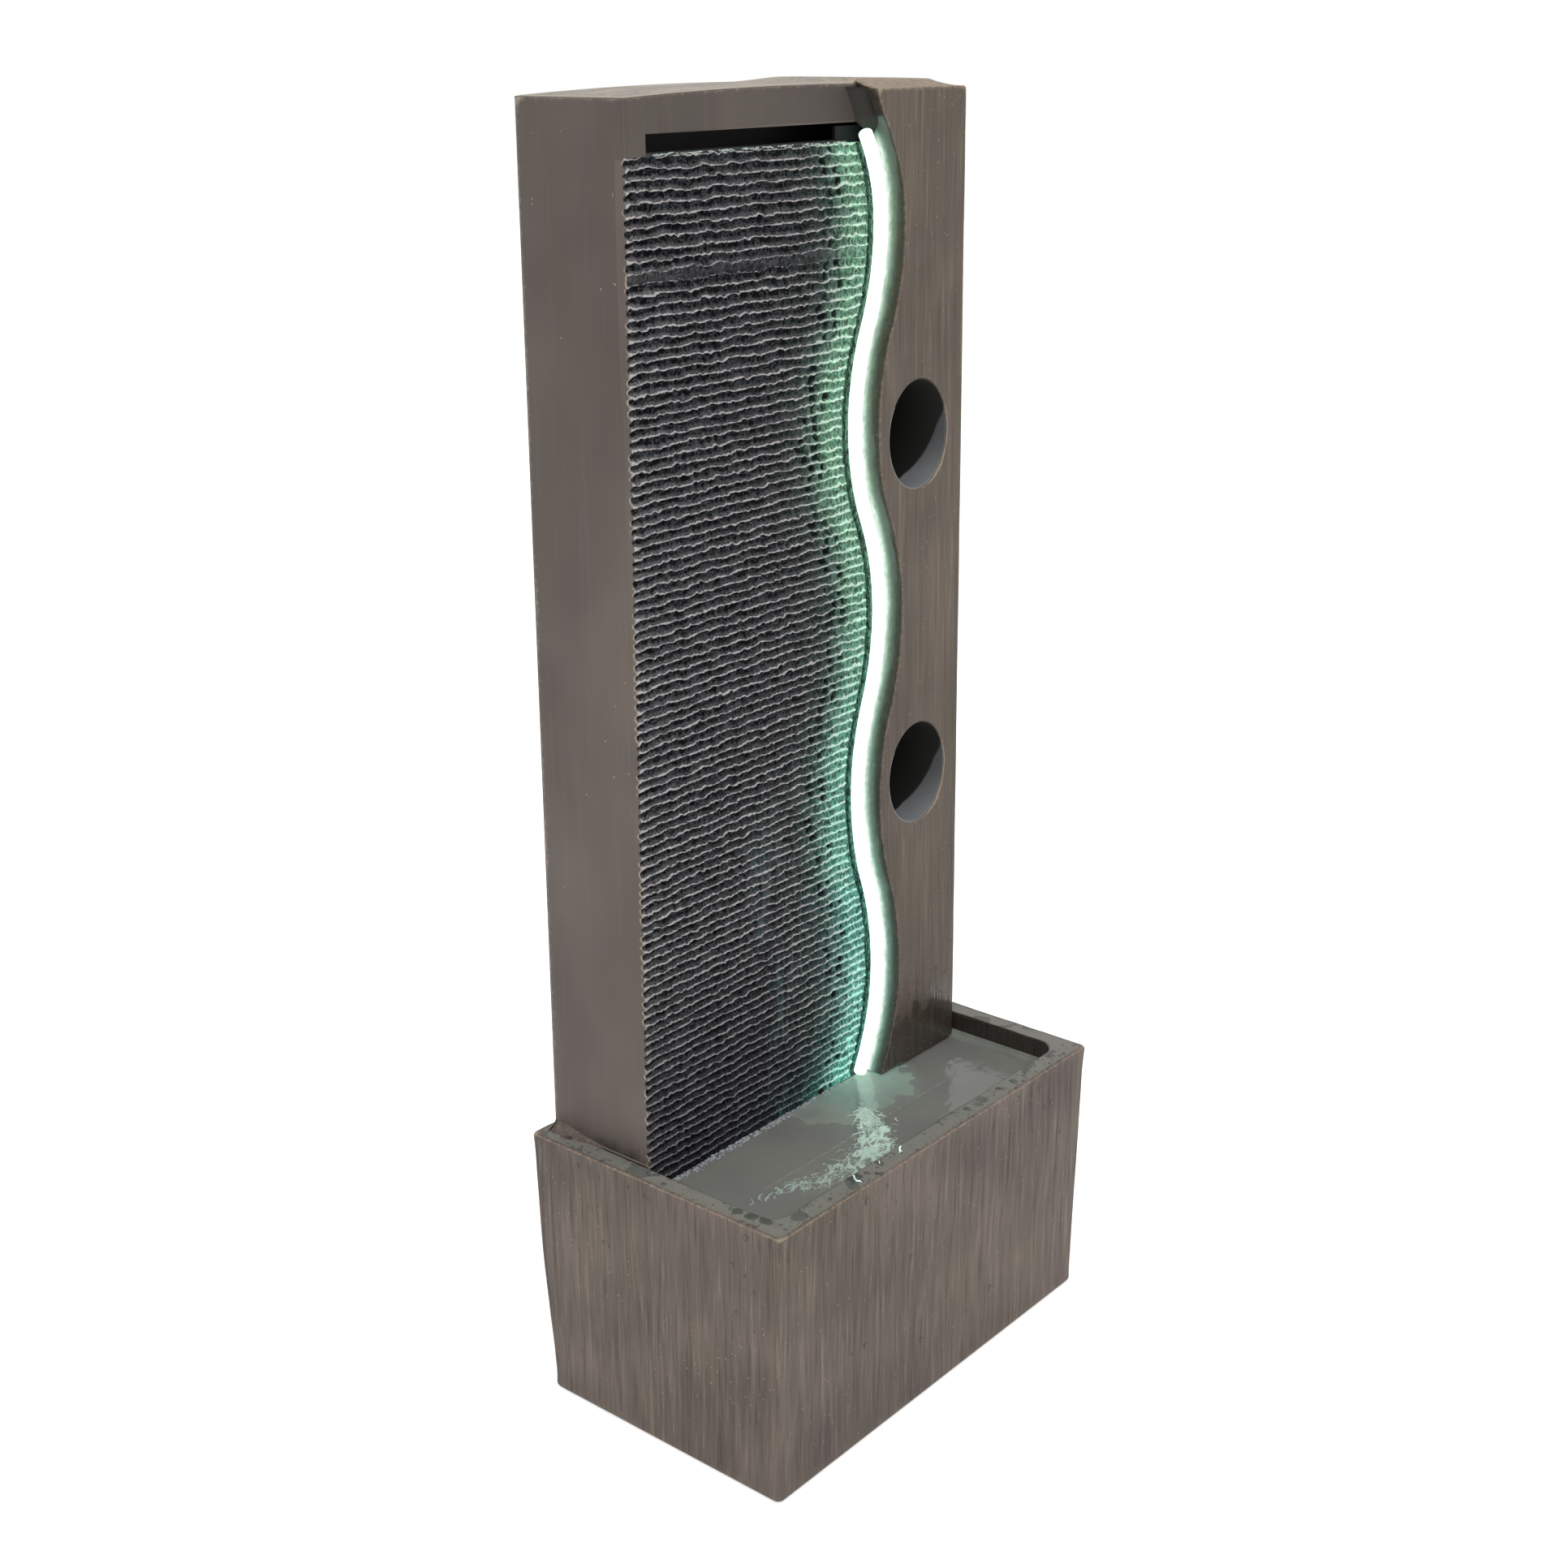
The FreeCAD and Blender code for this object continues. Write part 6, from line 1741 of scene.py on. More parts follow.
@dataclass(frozen=True)
class Cascade:
    """The fluted panel: wandering crests, lens-shaped groove ends, a water film beside the light."""

    pitch: float = 7.35
    radius: float = 3.3
    first_drop: float = 4.4
    plain: int = 10
    rib_end: float = -10.0
    film_start: float = -54.0
    lens: float = 6.0
    plank_edge: float = 5.9
    end: float = 11.0
    back_y: float = 31.3
    columns: int = 330
    rows_per_flute: int = 11
    bands: tuple = (21, 41, 61, 81)
    slow_wander: Grain = Grain(51, 14.0, 11.0, 2, 0.20)
    quick_wander: Grain = Grain(52, 3.8, 6.5, 2, 0.17)
    bite: Grain = Grain(53, 9.0, 14.0, 3, 0.13)
    plain_depth: Grain = Grain(60, 16.0, 1.9, 2, 0.35)
    film_edge: Grain = Grain(55, 16.0, 30.0, 3, 7.0)
    cells: Grain = Grain(59, 5.0, 3.6, 2)
    patches: Grain = Grain(71, 30.0, 90.0, 2)
    swell: Grain = Grain(56, 2.6, 9.0, 3, 0.5)
    nicks: Grain = Grain(54, 2.6, 3.4, 3)
    slope_edge: Grain = Grain(74, 3.0, 30.0, 2, 0.10)
    rib_ends: Grain = Grain(62, 3.6, 1.0, 1, 1.6)
    second_row: float = 13.0
    strand_below: tuple = (520.0, 360.0)
    strand_from: tuple = (-150.0, -110.0)
    lit_top: tuple = (900.0, 963.0)
    lit_foot: tuple = (720.0, 420.0)
    dark_corner: tuple = ((430.0, 230.0), (-50.0, -140.0))
    dark_foot: tuple = ((300.0, 215.0), (-40.0, -60.0))
    near_glow: tuple = (0.39, 31.0)
    low_glow: tuple = (-0.06, 5.0)
    far_glow: tuple = (0.05, 40.0)
    foot_glow: tuple = (0.5, 22.0)

    def grooves(self, x: Array, z: Array, from_left: Array) -> tuple[Array, Array, Array, Array]:
        """Cuts the round grooves with their wandering crests.

        Formula: a groove is a circle's arc; its phase is shifted by noise, so crests
        wander; at the open left end the arc's radius shrinks by a quarter.
        Args:
            x: places across.
            z: heights.
            from_left: distance from the panel's left edge.
        Returns:
            Groove depth, how near each point is to the one plain flute, 0 to 1, the
            place across the groove, -0.5 at its upper crest to 0.5 at its lower one, and
            the groove's number.
        """
        first = LINES.slot_z0 - self.first_drop
        wander = self.slow_wander.at(x, z) + self.quick_wander.at(x, z)
        place = (first - z) / self.pitch + wander
        number = np.round(place)
        off = (place - number) * self.pitch
        lens = self.lens * (1.0 + 0.45 * Noise(58).at(0.37 * number, 0 * number))
        closing = 0.72 + 0.28 * np.clip(from_left / lens, 0.0, 1.0) ** 0.7
        bite = 0.92 + self.bite.at(x, z)
        depth = bite * np.sqrt(np.clip((self.radius * closing) ** 2 - off**2, 0.0, None))
        plain = smooth_step(0.56, 0.44, np.abs(place - self.plain))
        shallow = 0.7 + self.plain_depth.at(x, z)
        return depth * (1 - plain) + shallow * plain, plain, off / self.pitch, number

    def _pits(self, x: Array, z: Array, border: Array, inside: Array, turn: tuple) -> Array:
        """Finds the deep pits, 0 to 1, along the line where the film begins.

        Formula: small cells near the line, and in many grooves one or two rounder holes,
        shifted along the groove by noise of the groove's number.
        Args:
            x: places across.
            z: heights.
            border: distance right of the line.
            inside: 1 well down in a groove.
            turn: how plain the flute is, the place across the groove and its number.
        Returns:
            The mark.
        """
        plain, phase, number = turn
        near = np.exp(-(((border - 4.0) / 14.0) ** 2)) * inside
        cells = near * smooth_step(0.05, 0.5, self.cells.at(x, z))
        shift, size, first, second = (
            Noise(seed).at(step * number, 0 * number)
            for seed, step in ((63, 0.61), (64, 0.83), (75, 0.77), (76, 0.91)))
        along, size = border + 9.0 * shift, 3.6 + 1.6 * size
        holes = np.maximum(
            smooth_step(-0.5, 0.0, first) * smooth_step(1.0, 0.6, np.abs(along) / size),
            smooth_step(-0.1, 0.3, second)
            * smooth_step(1.0, 0.6, np.abs(along - self.second_row) / size))
        holes = holes * smooth_step(0.40, 0.26, np.abs(phase + 0.04))
        return np.clip(0.5 * cells + 0.9 * holes * (1 - plain), 0, 1)

    def _threads(self, x: Array, z: Array, beside: Array, border: Array) -> tuple[Array, Array]:
        """Finds the fine threads of water and the long strands low down, both 0 to 1.

        Args:
            x: places across.
            z: heights.
            beside: distance left (negative) or right of the light's middle.
            border: distance right of the line where the film begins.
        Returns:
            The threads with the strands, and the strands alone.
        """
        fine = Noise(57).ridges(x / 5.0, z / 6.0, 3, 5.0) ** 1.5
        net = Noise(61).ridges(x / 4.0, z / 9.0, 2, 4.0) * np.exp(-((border / 12.0) ** 2))
        patch = smooth_step(0.05, 0.6, self.patches.at(x, z)) * smooth_step(*self.strand_below, z)
        strand = Noise(70).ridges(x / 6.0, z / 60.0, 2, 4.0) * patch
        strand = strand * smooth_step(*self.strand_from, beside)
        return np.clip(0.45 * fine + net + 0.8 * strand, 0, 1), strand

    def _lit(self, x: Array, z: Array, from_left: Array, turn: tuple) -> Array:
        """Finds how much painted light each groove's lower slope gets: most at the left and high up.

        Args:
            x: places across.
            z: heights.
            from_left: distance from the panel's left edge.
            turn: how plain the flute is, the place across the groove and its number.
        Returns:
            The mark.
        """
        plain, phase, _ = turn
        edge = phase + self.slope_edge.at(x, z)
        lit = smooth_step(0.04, 0.30, edge) * (1 - plain) + 0.3 * plain
        lit = lit * (0.40 + 0.60 * np.exp(-from_left / 26.0) + 0.12 * smooth_step(*self.lit_top, z))
        return lit * (1.0 - 0.4 * smooth_step(*self.lit_foot, z))

    def surface(self, x: Array, z: Array, beside: Array, from_left: Array) -> tuple[Array, dict]:
        """Finds how far the surface lies behind the front plane, and its marks.

        Formula: grooves, minus thin proud threads of water, partly filled by a film
        beside the light; where the film begins, noise opens a line of deep pits; beside
        the tube the ribs end in a rounded step down to the channel.
        Args:
            x: places across.
            z: heights.
            beside: distance left (negative) or right of the light's middle.
            from_left: distance from the panel's left edge.
        Returns:
            Depth and a dictionary of marks.
        """
        depth, *turn = self.grooves(x, z, from_left)
        plain, phase, _ = turn
        border = beside + self.film_edge.at(z, x)
        film = smooth_step(self.film_start - 14.0, self.film_start + 26.0, border)
        border = border - self.film_start
        inside = smooth_step(0.8, 1.8, depth)
        pits = self._pits(x, z, border, inside, turn)
        thread, strand = self._threads(x, z, beside, border)
        thread = thread * (1 - pits)
        swell = 0.5 + self.swell.at(x, z)
        depth = depth * (1 - film * (0.15 + 0.4 * swell)) - 0.8 * thread * inside + 1.5 * pits
        nick = 0.6 * smooth_step(0.0, 0.9, self.nicks.at(x, z))
        # How near each point is to a crest: it places the nicks and the painted highlight lines on the
        # crests.
        crest = np.where(phase < 0, smooth_step(1.3, 0.2, depth), smooth_step(2.2, 0.6, depth))
        crest = crest * (1 - 0.7 * plain)
        depth = np.clip(depth + nick * crest, 0.0, None)
        end = smooth_step(self.rib_end - 3.5, self.rib_end + 0.6, beside + self.rib_ends.at(z, x * 0))
        depth = depth * (1 - end) + self.radius * end
        foot = smooth_step(LINES.sill_z + 1.0, LINES.sill_z + 5.0, z)
        top = smooth_step(LINES.slot_z0, LINES.slot_z0 - 1.0, z)
        sheet = 0.3 * np.exp(-np.clip(LINES.slot_z0 - z, 0, None) / 4.0) * (0.3 + 0.7 * thread)
        # Painted shade: darker low down at the left and near the foot beside the light.
        (below, left), (low, near) = self.dark_corner, self.dark_foot
        far = smooth_step(*below, z) * smooth_step(*left, beside)
        far = np.maximum(far, 1.2 * smooth_step(*low, z) * smooth_step(*near, beside))
        bare = (1 - pits) * (0.45 + 0.55 * film * smooth_step(3.2, 1.4, depth))
        marks = {
            # crest places the painted highlight lines.
            "crest": crest * (1 - end), "thread": thread * (1 - end),
            # Painted light on the lower slopes of the grooves.
            "lit": self._lit(x, z, from_left, turn) * (1 - end) * (1 - pits),
            "film": np.clip(0.5 * film * swell + sheet, 0, 1) * (1 - end) * (1 - pits),
            "open": np.where(end > 0.5, 1.0, bare),
            "glow": self._glow(beside, z) + 0.16 * strand * inside,
            # dim is painted shade: low at the left, near the foot, and in the pits.
            "dim": np.clip(0.55 * far + 0.9 * pits, 0, 1) * (1 - end),
        }
        return depth * foot * top + 0.3 * (1 - foot), marks

    def build(self) -> list:
        """Makes the panel as stacked pieces and returns them.

        Returns:
            The new objects.
        """
        first = LINES.slot_z0 - self.first_drop
        joins = [first - number * self.pitch for number in self.bands]
        edges = [LINES.sill_z + 0.2] + joins[::-1] + [LINES.slot_z0 - 0.1]
        pieces = []
        for number, (low, high) in enumerate(zip(edges, edges[1:])):
            pieces.append(self._band(f"cascade_{number}", low, high))
        for piece in pieces:
            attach(piece, ROOT)
            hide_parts("cascade_panel")
        return pieces

    def _glow(self, beside: Array, z: Array) -> Array:
        """Finds how strongly the tube lights each point.

        Formula: level close to the tube, then a bell curve plus a faint tail, both wider
        low down; in the channel it rises again toward the tube.
        Args:
            beside: distance left (negative) or right of the light's middle.
            z: heights.
        Returns:
            Strengths.
        """
        low = smooth_step(520.0, 260.0, z)
        away = np.clip(-beside - 20.0, 0.0, None)
        (level, reach), (more, wider) = self.near_glow, self.low_glow
        tail, fade = self.far_glow
        glow = (level + more * low) * np.exp(-((away / (reach + wider * low)) ** 2))
        glow = glow + (tail + tail * low) * np.exp(-away / fade)
        extra, rise = self.foot_glow
        glow = glow * (1.0 + extra * np.exp(-(z - 214.0) / rise))
        channel = 0.09 + 0.28 * smooth_step(-6.8, -3.0, beside)
        return np.where(beside > self.rib_end + 1.0, channel, glow)

    def _band(self, name: str, low: float, high: float) -> bpy.types.Object:
        """Makes one height range of the panel.

        Args:
            name: the piece's name.
            low: the lower end.
            high: the upper end.
        Returns:
            The new object.
        """
        rows = int((high - low) / self.pitch * self.rows_per_flute)
        z = np.linspace(low, high, rows)[:, None]
        share = np.concatenate([
            [0.0, 0.0012], np.linspace(0.004, 1.0, self.columns - 8), [1.02, 1.04]])[None, :]
        left = -LINES.half(z)
        seen = LINES.wave.x_at(z, self.plank_edge) + 1.0
        x = left + (seen - left) * share
        x[:, -1] = LINES.wave.x_at(z[:, 0], self.end - 0.3)
        x[:, -2] = LINES.wave.x_at(z[:, 0], self.plank_edge + 4.0)
        beside = x - LINES.wave.x_at(z)
        depth, marks = self.surface(x, z + 0 * x, beside, x - left)
        shell = Shell()
        points = np.stack([x, LINES.panel_y + depth, z + 0 * x], axis=-1)
        grid = shell.add(points, **marks)
        shell.skin(grid)
        border = np.concatenate([grid[0, :-1], grid[:-1, -1], grid[-1, :0:-1], grid[:0:-1, 0]])
        ring = points.reshape(-1, 3)[border].copy()
        ring[:, 1] = self.back_y
        rear = shell.add(ring)
        shell.bridge(rear, border)
        middle = shell.add(np.array([[-50.0, self.back_y, (low + high) / 2]]))
        shell.fan(rear, middle[0], turned=True)
        return shell.build(name, Look.CASCADE.value, sharp=70.0)


@dataclass(frozen=True)
class CornerStrip:
    """The strip of tower side beside the flutes, notched and worn where each groove runs out."""

    proud: float = 0.53
    inner: float = 0.35
    depth: float = 8.6
    low_z: float = 226.0
    rows_per_flute: int = 12
    edge: Grain = Grain(69, 1.4, 1.0, 2, 0.12)
    rubbed: Grain = Grain(72, 9.0, 1.0)

    def build(self) -> bpy.types.Object:
        """Makes the strip and returns it.

        Formula: an eight-sided section stacked up the corner; its front edge steps back
        by as much as the groove beside it is deep.
        Returns:
            The new object.
        """
        panel = Cascade()
        high = LINES.slot_z0 - 1.2
        z = np.linspace(self.low_z, high, int((high - self.low_z) / panel.pitch * self.rows_per_flute))
        left = -LINES.half(z)
        cut = panel.grooves(left, z, 0 * z)[0]
        y = LINES.panel_y + cut - 0.06 + self.edge.at(z, 0 * z)
        outer, inner = left - self.proud, left + self.inner
        back = LINES.panel_y + self.depth + 0 * z
        section = [
            (outer, back, 0.0), (outer, y + 2.6, 0.0), (outer, y + 0.9, 0.55),
            (outer + 0.12, y + 0.3, 1.0), (outer + 0.42, y, 1.0),
            (inner, y + 0.1, 0.6), (inner, y + 2.0, 0.0), (inner, back, 0.0)]
        points = np.stack([np.stack([px, py, z], axis=-1) for px, py, _ in section], axis=1)
        rubbed = smooth_step(-0.5, 0.4, self.rubbed.at(z, 0 * z))
        worn = np.array([mark for _, _, mark in section])[None, :] * rubbed[:, None]
        shell = Shell()
        # A little painted shade all over the strip.
        grid = shell.add(points, wear=0.35 + 0.55 * worn - 0.35 * (worn <= 0), groove=0.1)
        shell.rods(grid, *shell.add(points[[0, -1]].mean(axis=1)))
        piece = shell.build("corner_strip", Look.TOWER.value)
        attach(piece, ROOT)
        return piece


@dataclass(frozen=True)
class Plank:
    """The proud brushed plank: wavy left edge, soft worn edges, two oval holes."""

    edge_offset: float = 5.9
    foot_z: float = 208.2
    round: float = 1.5
    ports: tuple = ((120.0, 744.5), (124.1, 467.1))
    port_half_x: float = 37.0
    port_half_z: float = 42.8
    hole_edge: float = 0.9
    groove_full: float = 0.6
    rows: int = 225
    hole_rings: int = 5
    end_share: tuple = (0.004, 0.0034)
    strokes: Strokes = Strokes(61, pitch=2.0, depth=0.55, length=80.0)
    dents: Grain = Grain(65, 26.0, 50.0, 3, 0.5)
    wobble: Grain = Grain(63, 16.0, 1.0, 3, 0.7)
    waterline: Grain = Grain(64, 22.0, 60.0, 3, 18.0)
    glow: float = 0.52
    glow_decay: float = 2.7
    glow_foot: tuple = (520.0, 300.0)
    glow_top: tuple = (974.0, 958.0)
    wet_below: tuple = (300.0, 222.0)
    ring: Ring = Ring(front=180, side=9, corner=5)

    def build(self) -> bpy.types.Object:
        """Makes the plank and returns it.

        Returns:
            The new object.
        """
        share, insets = self._levels()
        points, out, z = self._rings(share, insets)
        x, y = points[..., 0], points[..., 1]
        cut = self._strokes(x + y, z)
        points[..., :2] -= out * (cut * (insets[:, None] < 0.5))[..., None]
        marks = self._marks(points, out, cut, insets)
        shell = Shell()
        grid = shell.add(points, **marks)
        keep = np.ones((grid.shape[0] - 1, grid.shape[1]), bool)
        windows = []
        for port in self.ports:
            pair = self._windows(points, port)
            windows.append(pair)
            for window in pair:
                window.clear(keep)
        shell.skin(grid, wrap=True, keep=keep)
        self.ring.cap(shell, grid[0], turned=True)
        self.ring.cap(shell, grid[-1])
        for port, pair in zip(self.ports, windows):
            self._hole(shell, grid, points, port, pair)
        piece = shell.build("plank", Look.PLANK.value)
        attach(piece, ROOT)
        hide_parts("wave_plank")
        return piece

    def _strokes(self, along: Array, height: Array) -> Array:
        """Returns the brushing's depth: fine strokes plus slow dents."""
        return self.strokes.depth_at(along, height) + 0.25 * (0.5 + self.dents.at(along, height))

    def _levels(self) -> tuple[Array, Array]:
        """Lists the rings as shares of the height, with the inset that rounds both ends.

        Returns:
            The shares and the insets.
        """
        low, high = self.end_share
        down = np.linspace(0, np.pi / 2, 5)[:0:-1]
        up = down[::-1]
        share = np.concatenate([
            low * (1 - np.sin(down)), np.linspace(low, 1 - high, self.rows),
            1 - high + high * np.sin(up)])
        insets = np.concatenate([
            self.round * (1 - np.cos(down)), np.zeros(self.rows), self.round * (1 - np.cos(up))])
        return share, insets

    def _rings(self, share: Array, insets: Array) -> tuple[Array, Array, Array]:
        """Places the rings: straight right side, wavy left side, crowned top.

        Args:
            share: the rings' shares of the height.
            insets: how far each ring moves in.
        Returns:
            The places, the outward directions and the heights.
        """
        level = self.foot_z + (LINES.top_z - self.foot_z) * share
        left = LINES.wave.x_at(level, self.edge_offset) + insets + self.wobble.at(level, 0 * level)
        right = LINES.half(level) - insets
        near = np.full_like(level, self.round)
        plan, out = self.ring.path(
            left, right, LINES.plank_y + insets, LINES.panel_y - 0.1 + 0 * insets, near, near * 0.3)
        top = LINES.top(plan[..., 0], plan[..., 1]) - 0.2
        crowned = self.foot_z + (top - self.foot_z) * share[:, None]
        return np.concatenate([plan, crowned[..., None]], axis=-1), out, crowned

    def _marks(self, points: Array, out: Array, cut: Array, insets: Array) -> dict:
        """Returns the wear, painted shade, wet and glow marks.

        Args:
            points: the places of the grid.
            out: outward directions.
            cut: how deep the strokes cut.
            insets: how far each ring moves in.
        Returns:
            The marks by name.
        """
        x, y, z = (points[..., axis] for axis in range(3))
        left = x.min(axis=1, keepdims=True)
        right = x.max(axis=1, keepdims=True)
        edge = np.exp(-(np.minimum(x - left, right - x) + (y - LINES.plank_y)) / 3.0)
        top = np.exp(-np.abs(LINES.top(x, y) - z) / 3.0)
        on_wall = (out[..., 0] < -0.5) & (insets[:, None] < 0.5)
        lit = self.glow + 0.2 * smooth_step(*self.glow_foot, z)
        lit = lit * np.exp(-np.clip(LINES.panel_y - y - 7.0, -1.5, None) / self.glow_decay)
        lit = lit * smooth_step(*self.glow_top, z)
        streak = 1.0 + 0.35 * Noise(67).layers(y / 2.0 + z / 9.0, z / 4.0, 2)
        glow = np.where(out[..., 0] < -0.3, lit * streak, 0.0)
        wet = smooth_step(*self.wet_below, z + self.waterline.at(x, z))
        beside_light = np.exp(-(x - left) / 7.0) * 0.9
        return {
            "wear": np.clip(0.85 * edge + 0.8 * top, 0, 1),
            # Painted shade in the brush strokes.
            "groove": np.clip(cut / self.groove_full, 0, 1),
            "wet": np.clip(wet + beside_light * on_wall, 0, 1),
            "glow": glow,
        }

    def _windows(self, points: Array, port: tuple[float, float]) -> tuple[Window, Window]:
        """Finds the blocks of faces round one hole, on the front and on the rear.

        Args:
            points: the places of the grid.
            port: the hole's middle, across and up.
        Returns:
            The block on the front, then on the rear.
        """
        port_x, port_z = port
        z = points[:, 5, 2]
        rows = np.flatnonzero(np.abs(z - port_z) < self.port_half_z + 6)
        middle = points[(rows[0] + rows[-1]) // 2, :, 0]
        front = np.flatnonzero(np.abs(middle[: self.ring.front] - port_x) < self.port_half_x + 5)
        far = self.ring.rear_start + self.ring.front
        return (
            Window(rows[0], rows[-1], front[0], front[-1]),
            Window(rows[0], rows[-1], far - front[-1], far - front[0]))

    def _hole(
            self, shell: Shell, grid: Array, points: Array, port: tuple[float, float],
            pair: tuple[Window, Window]) -> None:
        """Sets one oval hole through both faces and joins them with its wall.

        Formula: an oval with half axes 37 and 42.8, slightly uneven and crumbled at its
        lower right; its front edge is a small quarter round.
        Args:
            shell: the mesh that the faces go to.
            grid: point numbers, rows first.
            points: the places of the grid.
            port: the hole's middle, across and up.
            pair: the blocks left out of the front and the rear.
        """
        near, far = pair
        port_x, port_z = port
        loop, start = near.border(grid), near.border(points)
        angle = np.arctan2(
            (start[:, 2] - port_z) / self.port_half_z, (start[:, 0] - port_x) / self.port_half_x)
        crumbled = smooth_step(0.35, 0.9, np.cos(angle + 0.45))
        rubbed = 0.3 + 0.65 * crumbled
        uneven = 0.4 * Noise(66).layers(np.cos(angle) * 2.2 + port_z, np.sin(angle) * 2.2, 2)
        uneven = uneven + 0.7 * crumbled * np.abs(Noise(73).layers(angle * 9.0 + port_z, 0 * angle, 3))

        def oval(grow: float, y: float) -> Array:
            """Returns the hole's outline at a depth, made wider by grow.

            Args:
                grow: how much wider the oval is.
                y: its place front to back.
            Returns:
                The places.
            """
            reach = grow + uneven
            return np.stack([
                port_x + (self.port_half_x + reach) * np.cos(angle), np.broadcast_to(y, angle.shape),
                port_z + (self.port_half_z + reach) * np.sin(angle)], axis=-1)

        rim = oval(self.hole_edge, LINES.plank_y + 0.25)
        for number in range(1, self.hole_rings + 1):
            share = number / self.hole_rings
            place = start + (rim - start) * share
            cut = self._strokes(place[:, 0] + LINES.plank_y, place[:, 2])
            place[:, 1] = LINES.plank_y + cut
            # Painted shade in the strokes round the hole.
            groove = np.clip(cut / self.groove_full, 0, 1)
            loop = shell.lay(loop, [place], groove=groove, wear=rubbed * share**8)
        for turn in np.linspace(0, np.pi / 2, 5)[1:]:
            depth = LINES.plank_y + 0.3 + self.hole_edge * (1 - np.cos(turn))
            place = oval(self.hole_edge * (1 - np.sin(turn)), depth)
            loop = shell.lay(loop, [place], wear=rubbed * np.cos(turn))
        back_y = LINES.panel_y - 0.1
        depths = np.linspace(LINES.plank_y + 4.0, back_y, 7)
        # The hole's wall: damp, with a little painted shade.
        loop = shell.lay(loop, [oval(0.0, y) for y in depths], wet=0.3, groove=0.2)
        rear = far.border(grid)
        wide = far.column1 - far.column0
        shell.bridge(loop, rear[(wide - np.arange(len(rear))) % len(rear)])


# Light


@dataclass(frozen=True)
class LightTube:
    """The glowing tube that follows the wave, closed by two caps."""

    radius: float = 5.3
    y: float = 19.3
    top_z: float = 968.5
    foot_z: float = 208.6
    cap_length: float = 3.0
    rows: int = 520
    around: int = 28
    cap_rings: int = 6
    swell: Grain = Grain(71, 30.0, 1.0, 2, 0.012)

    def build(self) -> bpy.types.Object:
        """Makes the tube and returns it.

        Formula: circles square to the wave's path, drawn in to a dome at both ends.
        Returns:
            The new object.
        """
        z = np.linspace(self.foot_z, self.top_z, self.rows)
        x = LINES.wave.x_at(z)
        slope = np.gradient(x, z)
        run = np.hypot(1.0, slope)
        along = np.stack([slope / run, 0 * z, 1 / run], axis=-1)
        across = np.stack([1 / run, 0 * z, -slope / run], axis=-1)
        centre = np.stack([x, 0 * z + self.y, z], axis=-1)
        turn = np.linspace(0, np.pi / 2, self.cap_rings + 1)[1:]
        low = centre[:1] - along[:1] * (self.cap_length * np.sin(turn[::-1]))[:, None]
        high = centre[-1:] + along[-1:] * (self.cap_length * np.sin(turn))[:, None]
        shrink = np.concatenate([np.cos(turn[::-1]), np.ones(self.rows), np.cos(turn)])
        centre = np.concatenate([low, centre, high])
        across = np.pad(across, ((self.cap_rings, self.cap_rings), (0, 0)), mode="edge")
        swell = 1.0 + self.swell.at(centre[:, 2], 0 * centre[:, 2])
        reach = (self.radius * np.maximum(shrink, 0.08) * swell)[:, None, None]
        angle = np.linspace(0, 2 * np.pi, self.around, endpoint=False)[None, :, None]
        points = centre[:, None] + reach * (np.cos(angle) * across[:, None] + np.sin(angle) * FRONT)
        shell = Shell()
        shell.rods(shell.add(points), *shell.add(centre[[0, -1]]))
        piece = shell.build("light_tube", Look.LIGHT.value)
        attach(piece, ROOT)
        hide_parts("led_tube", "led_end_caps")
        return piece


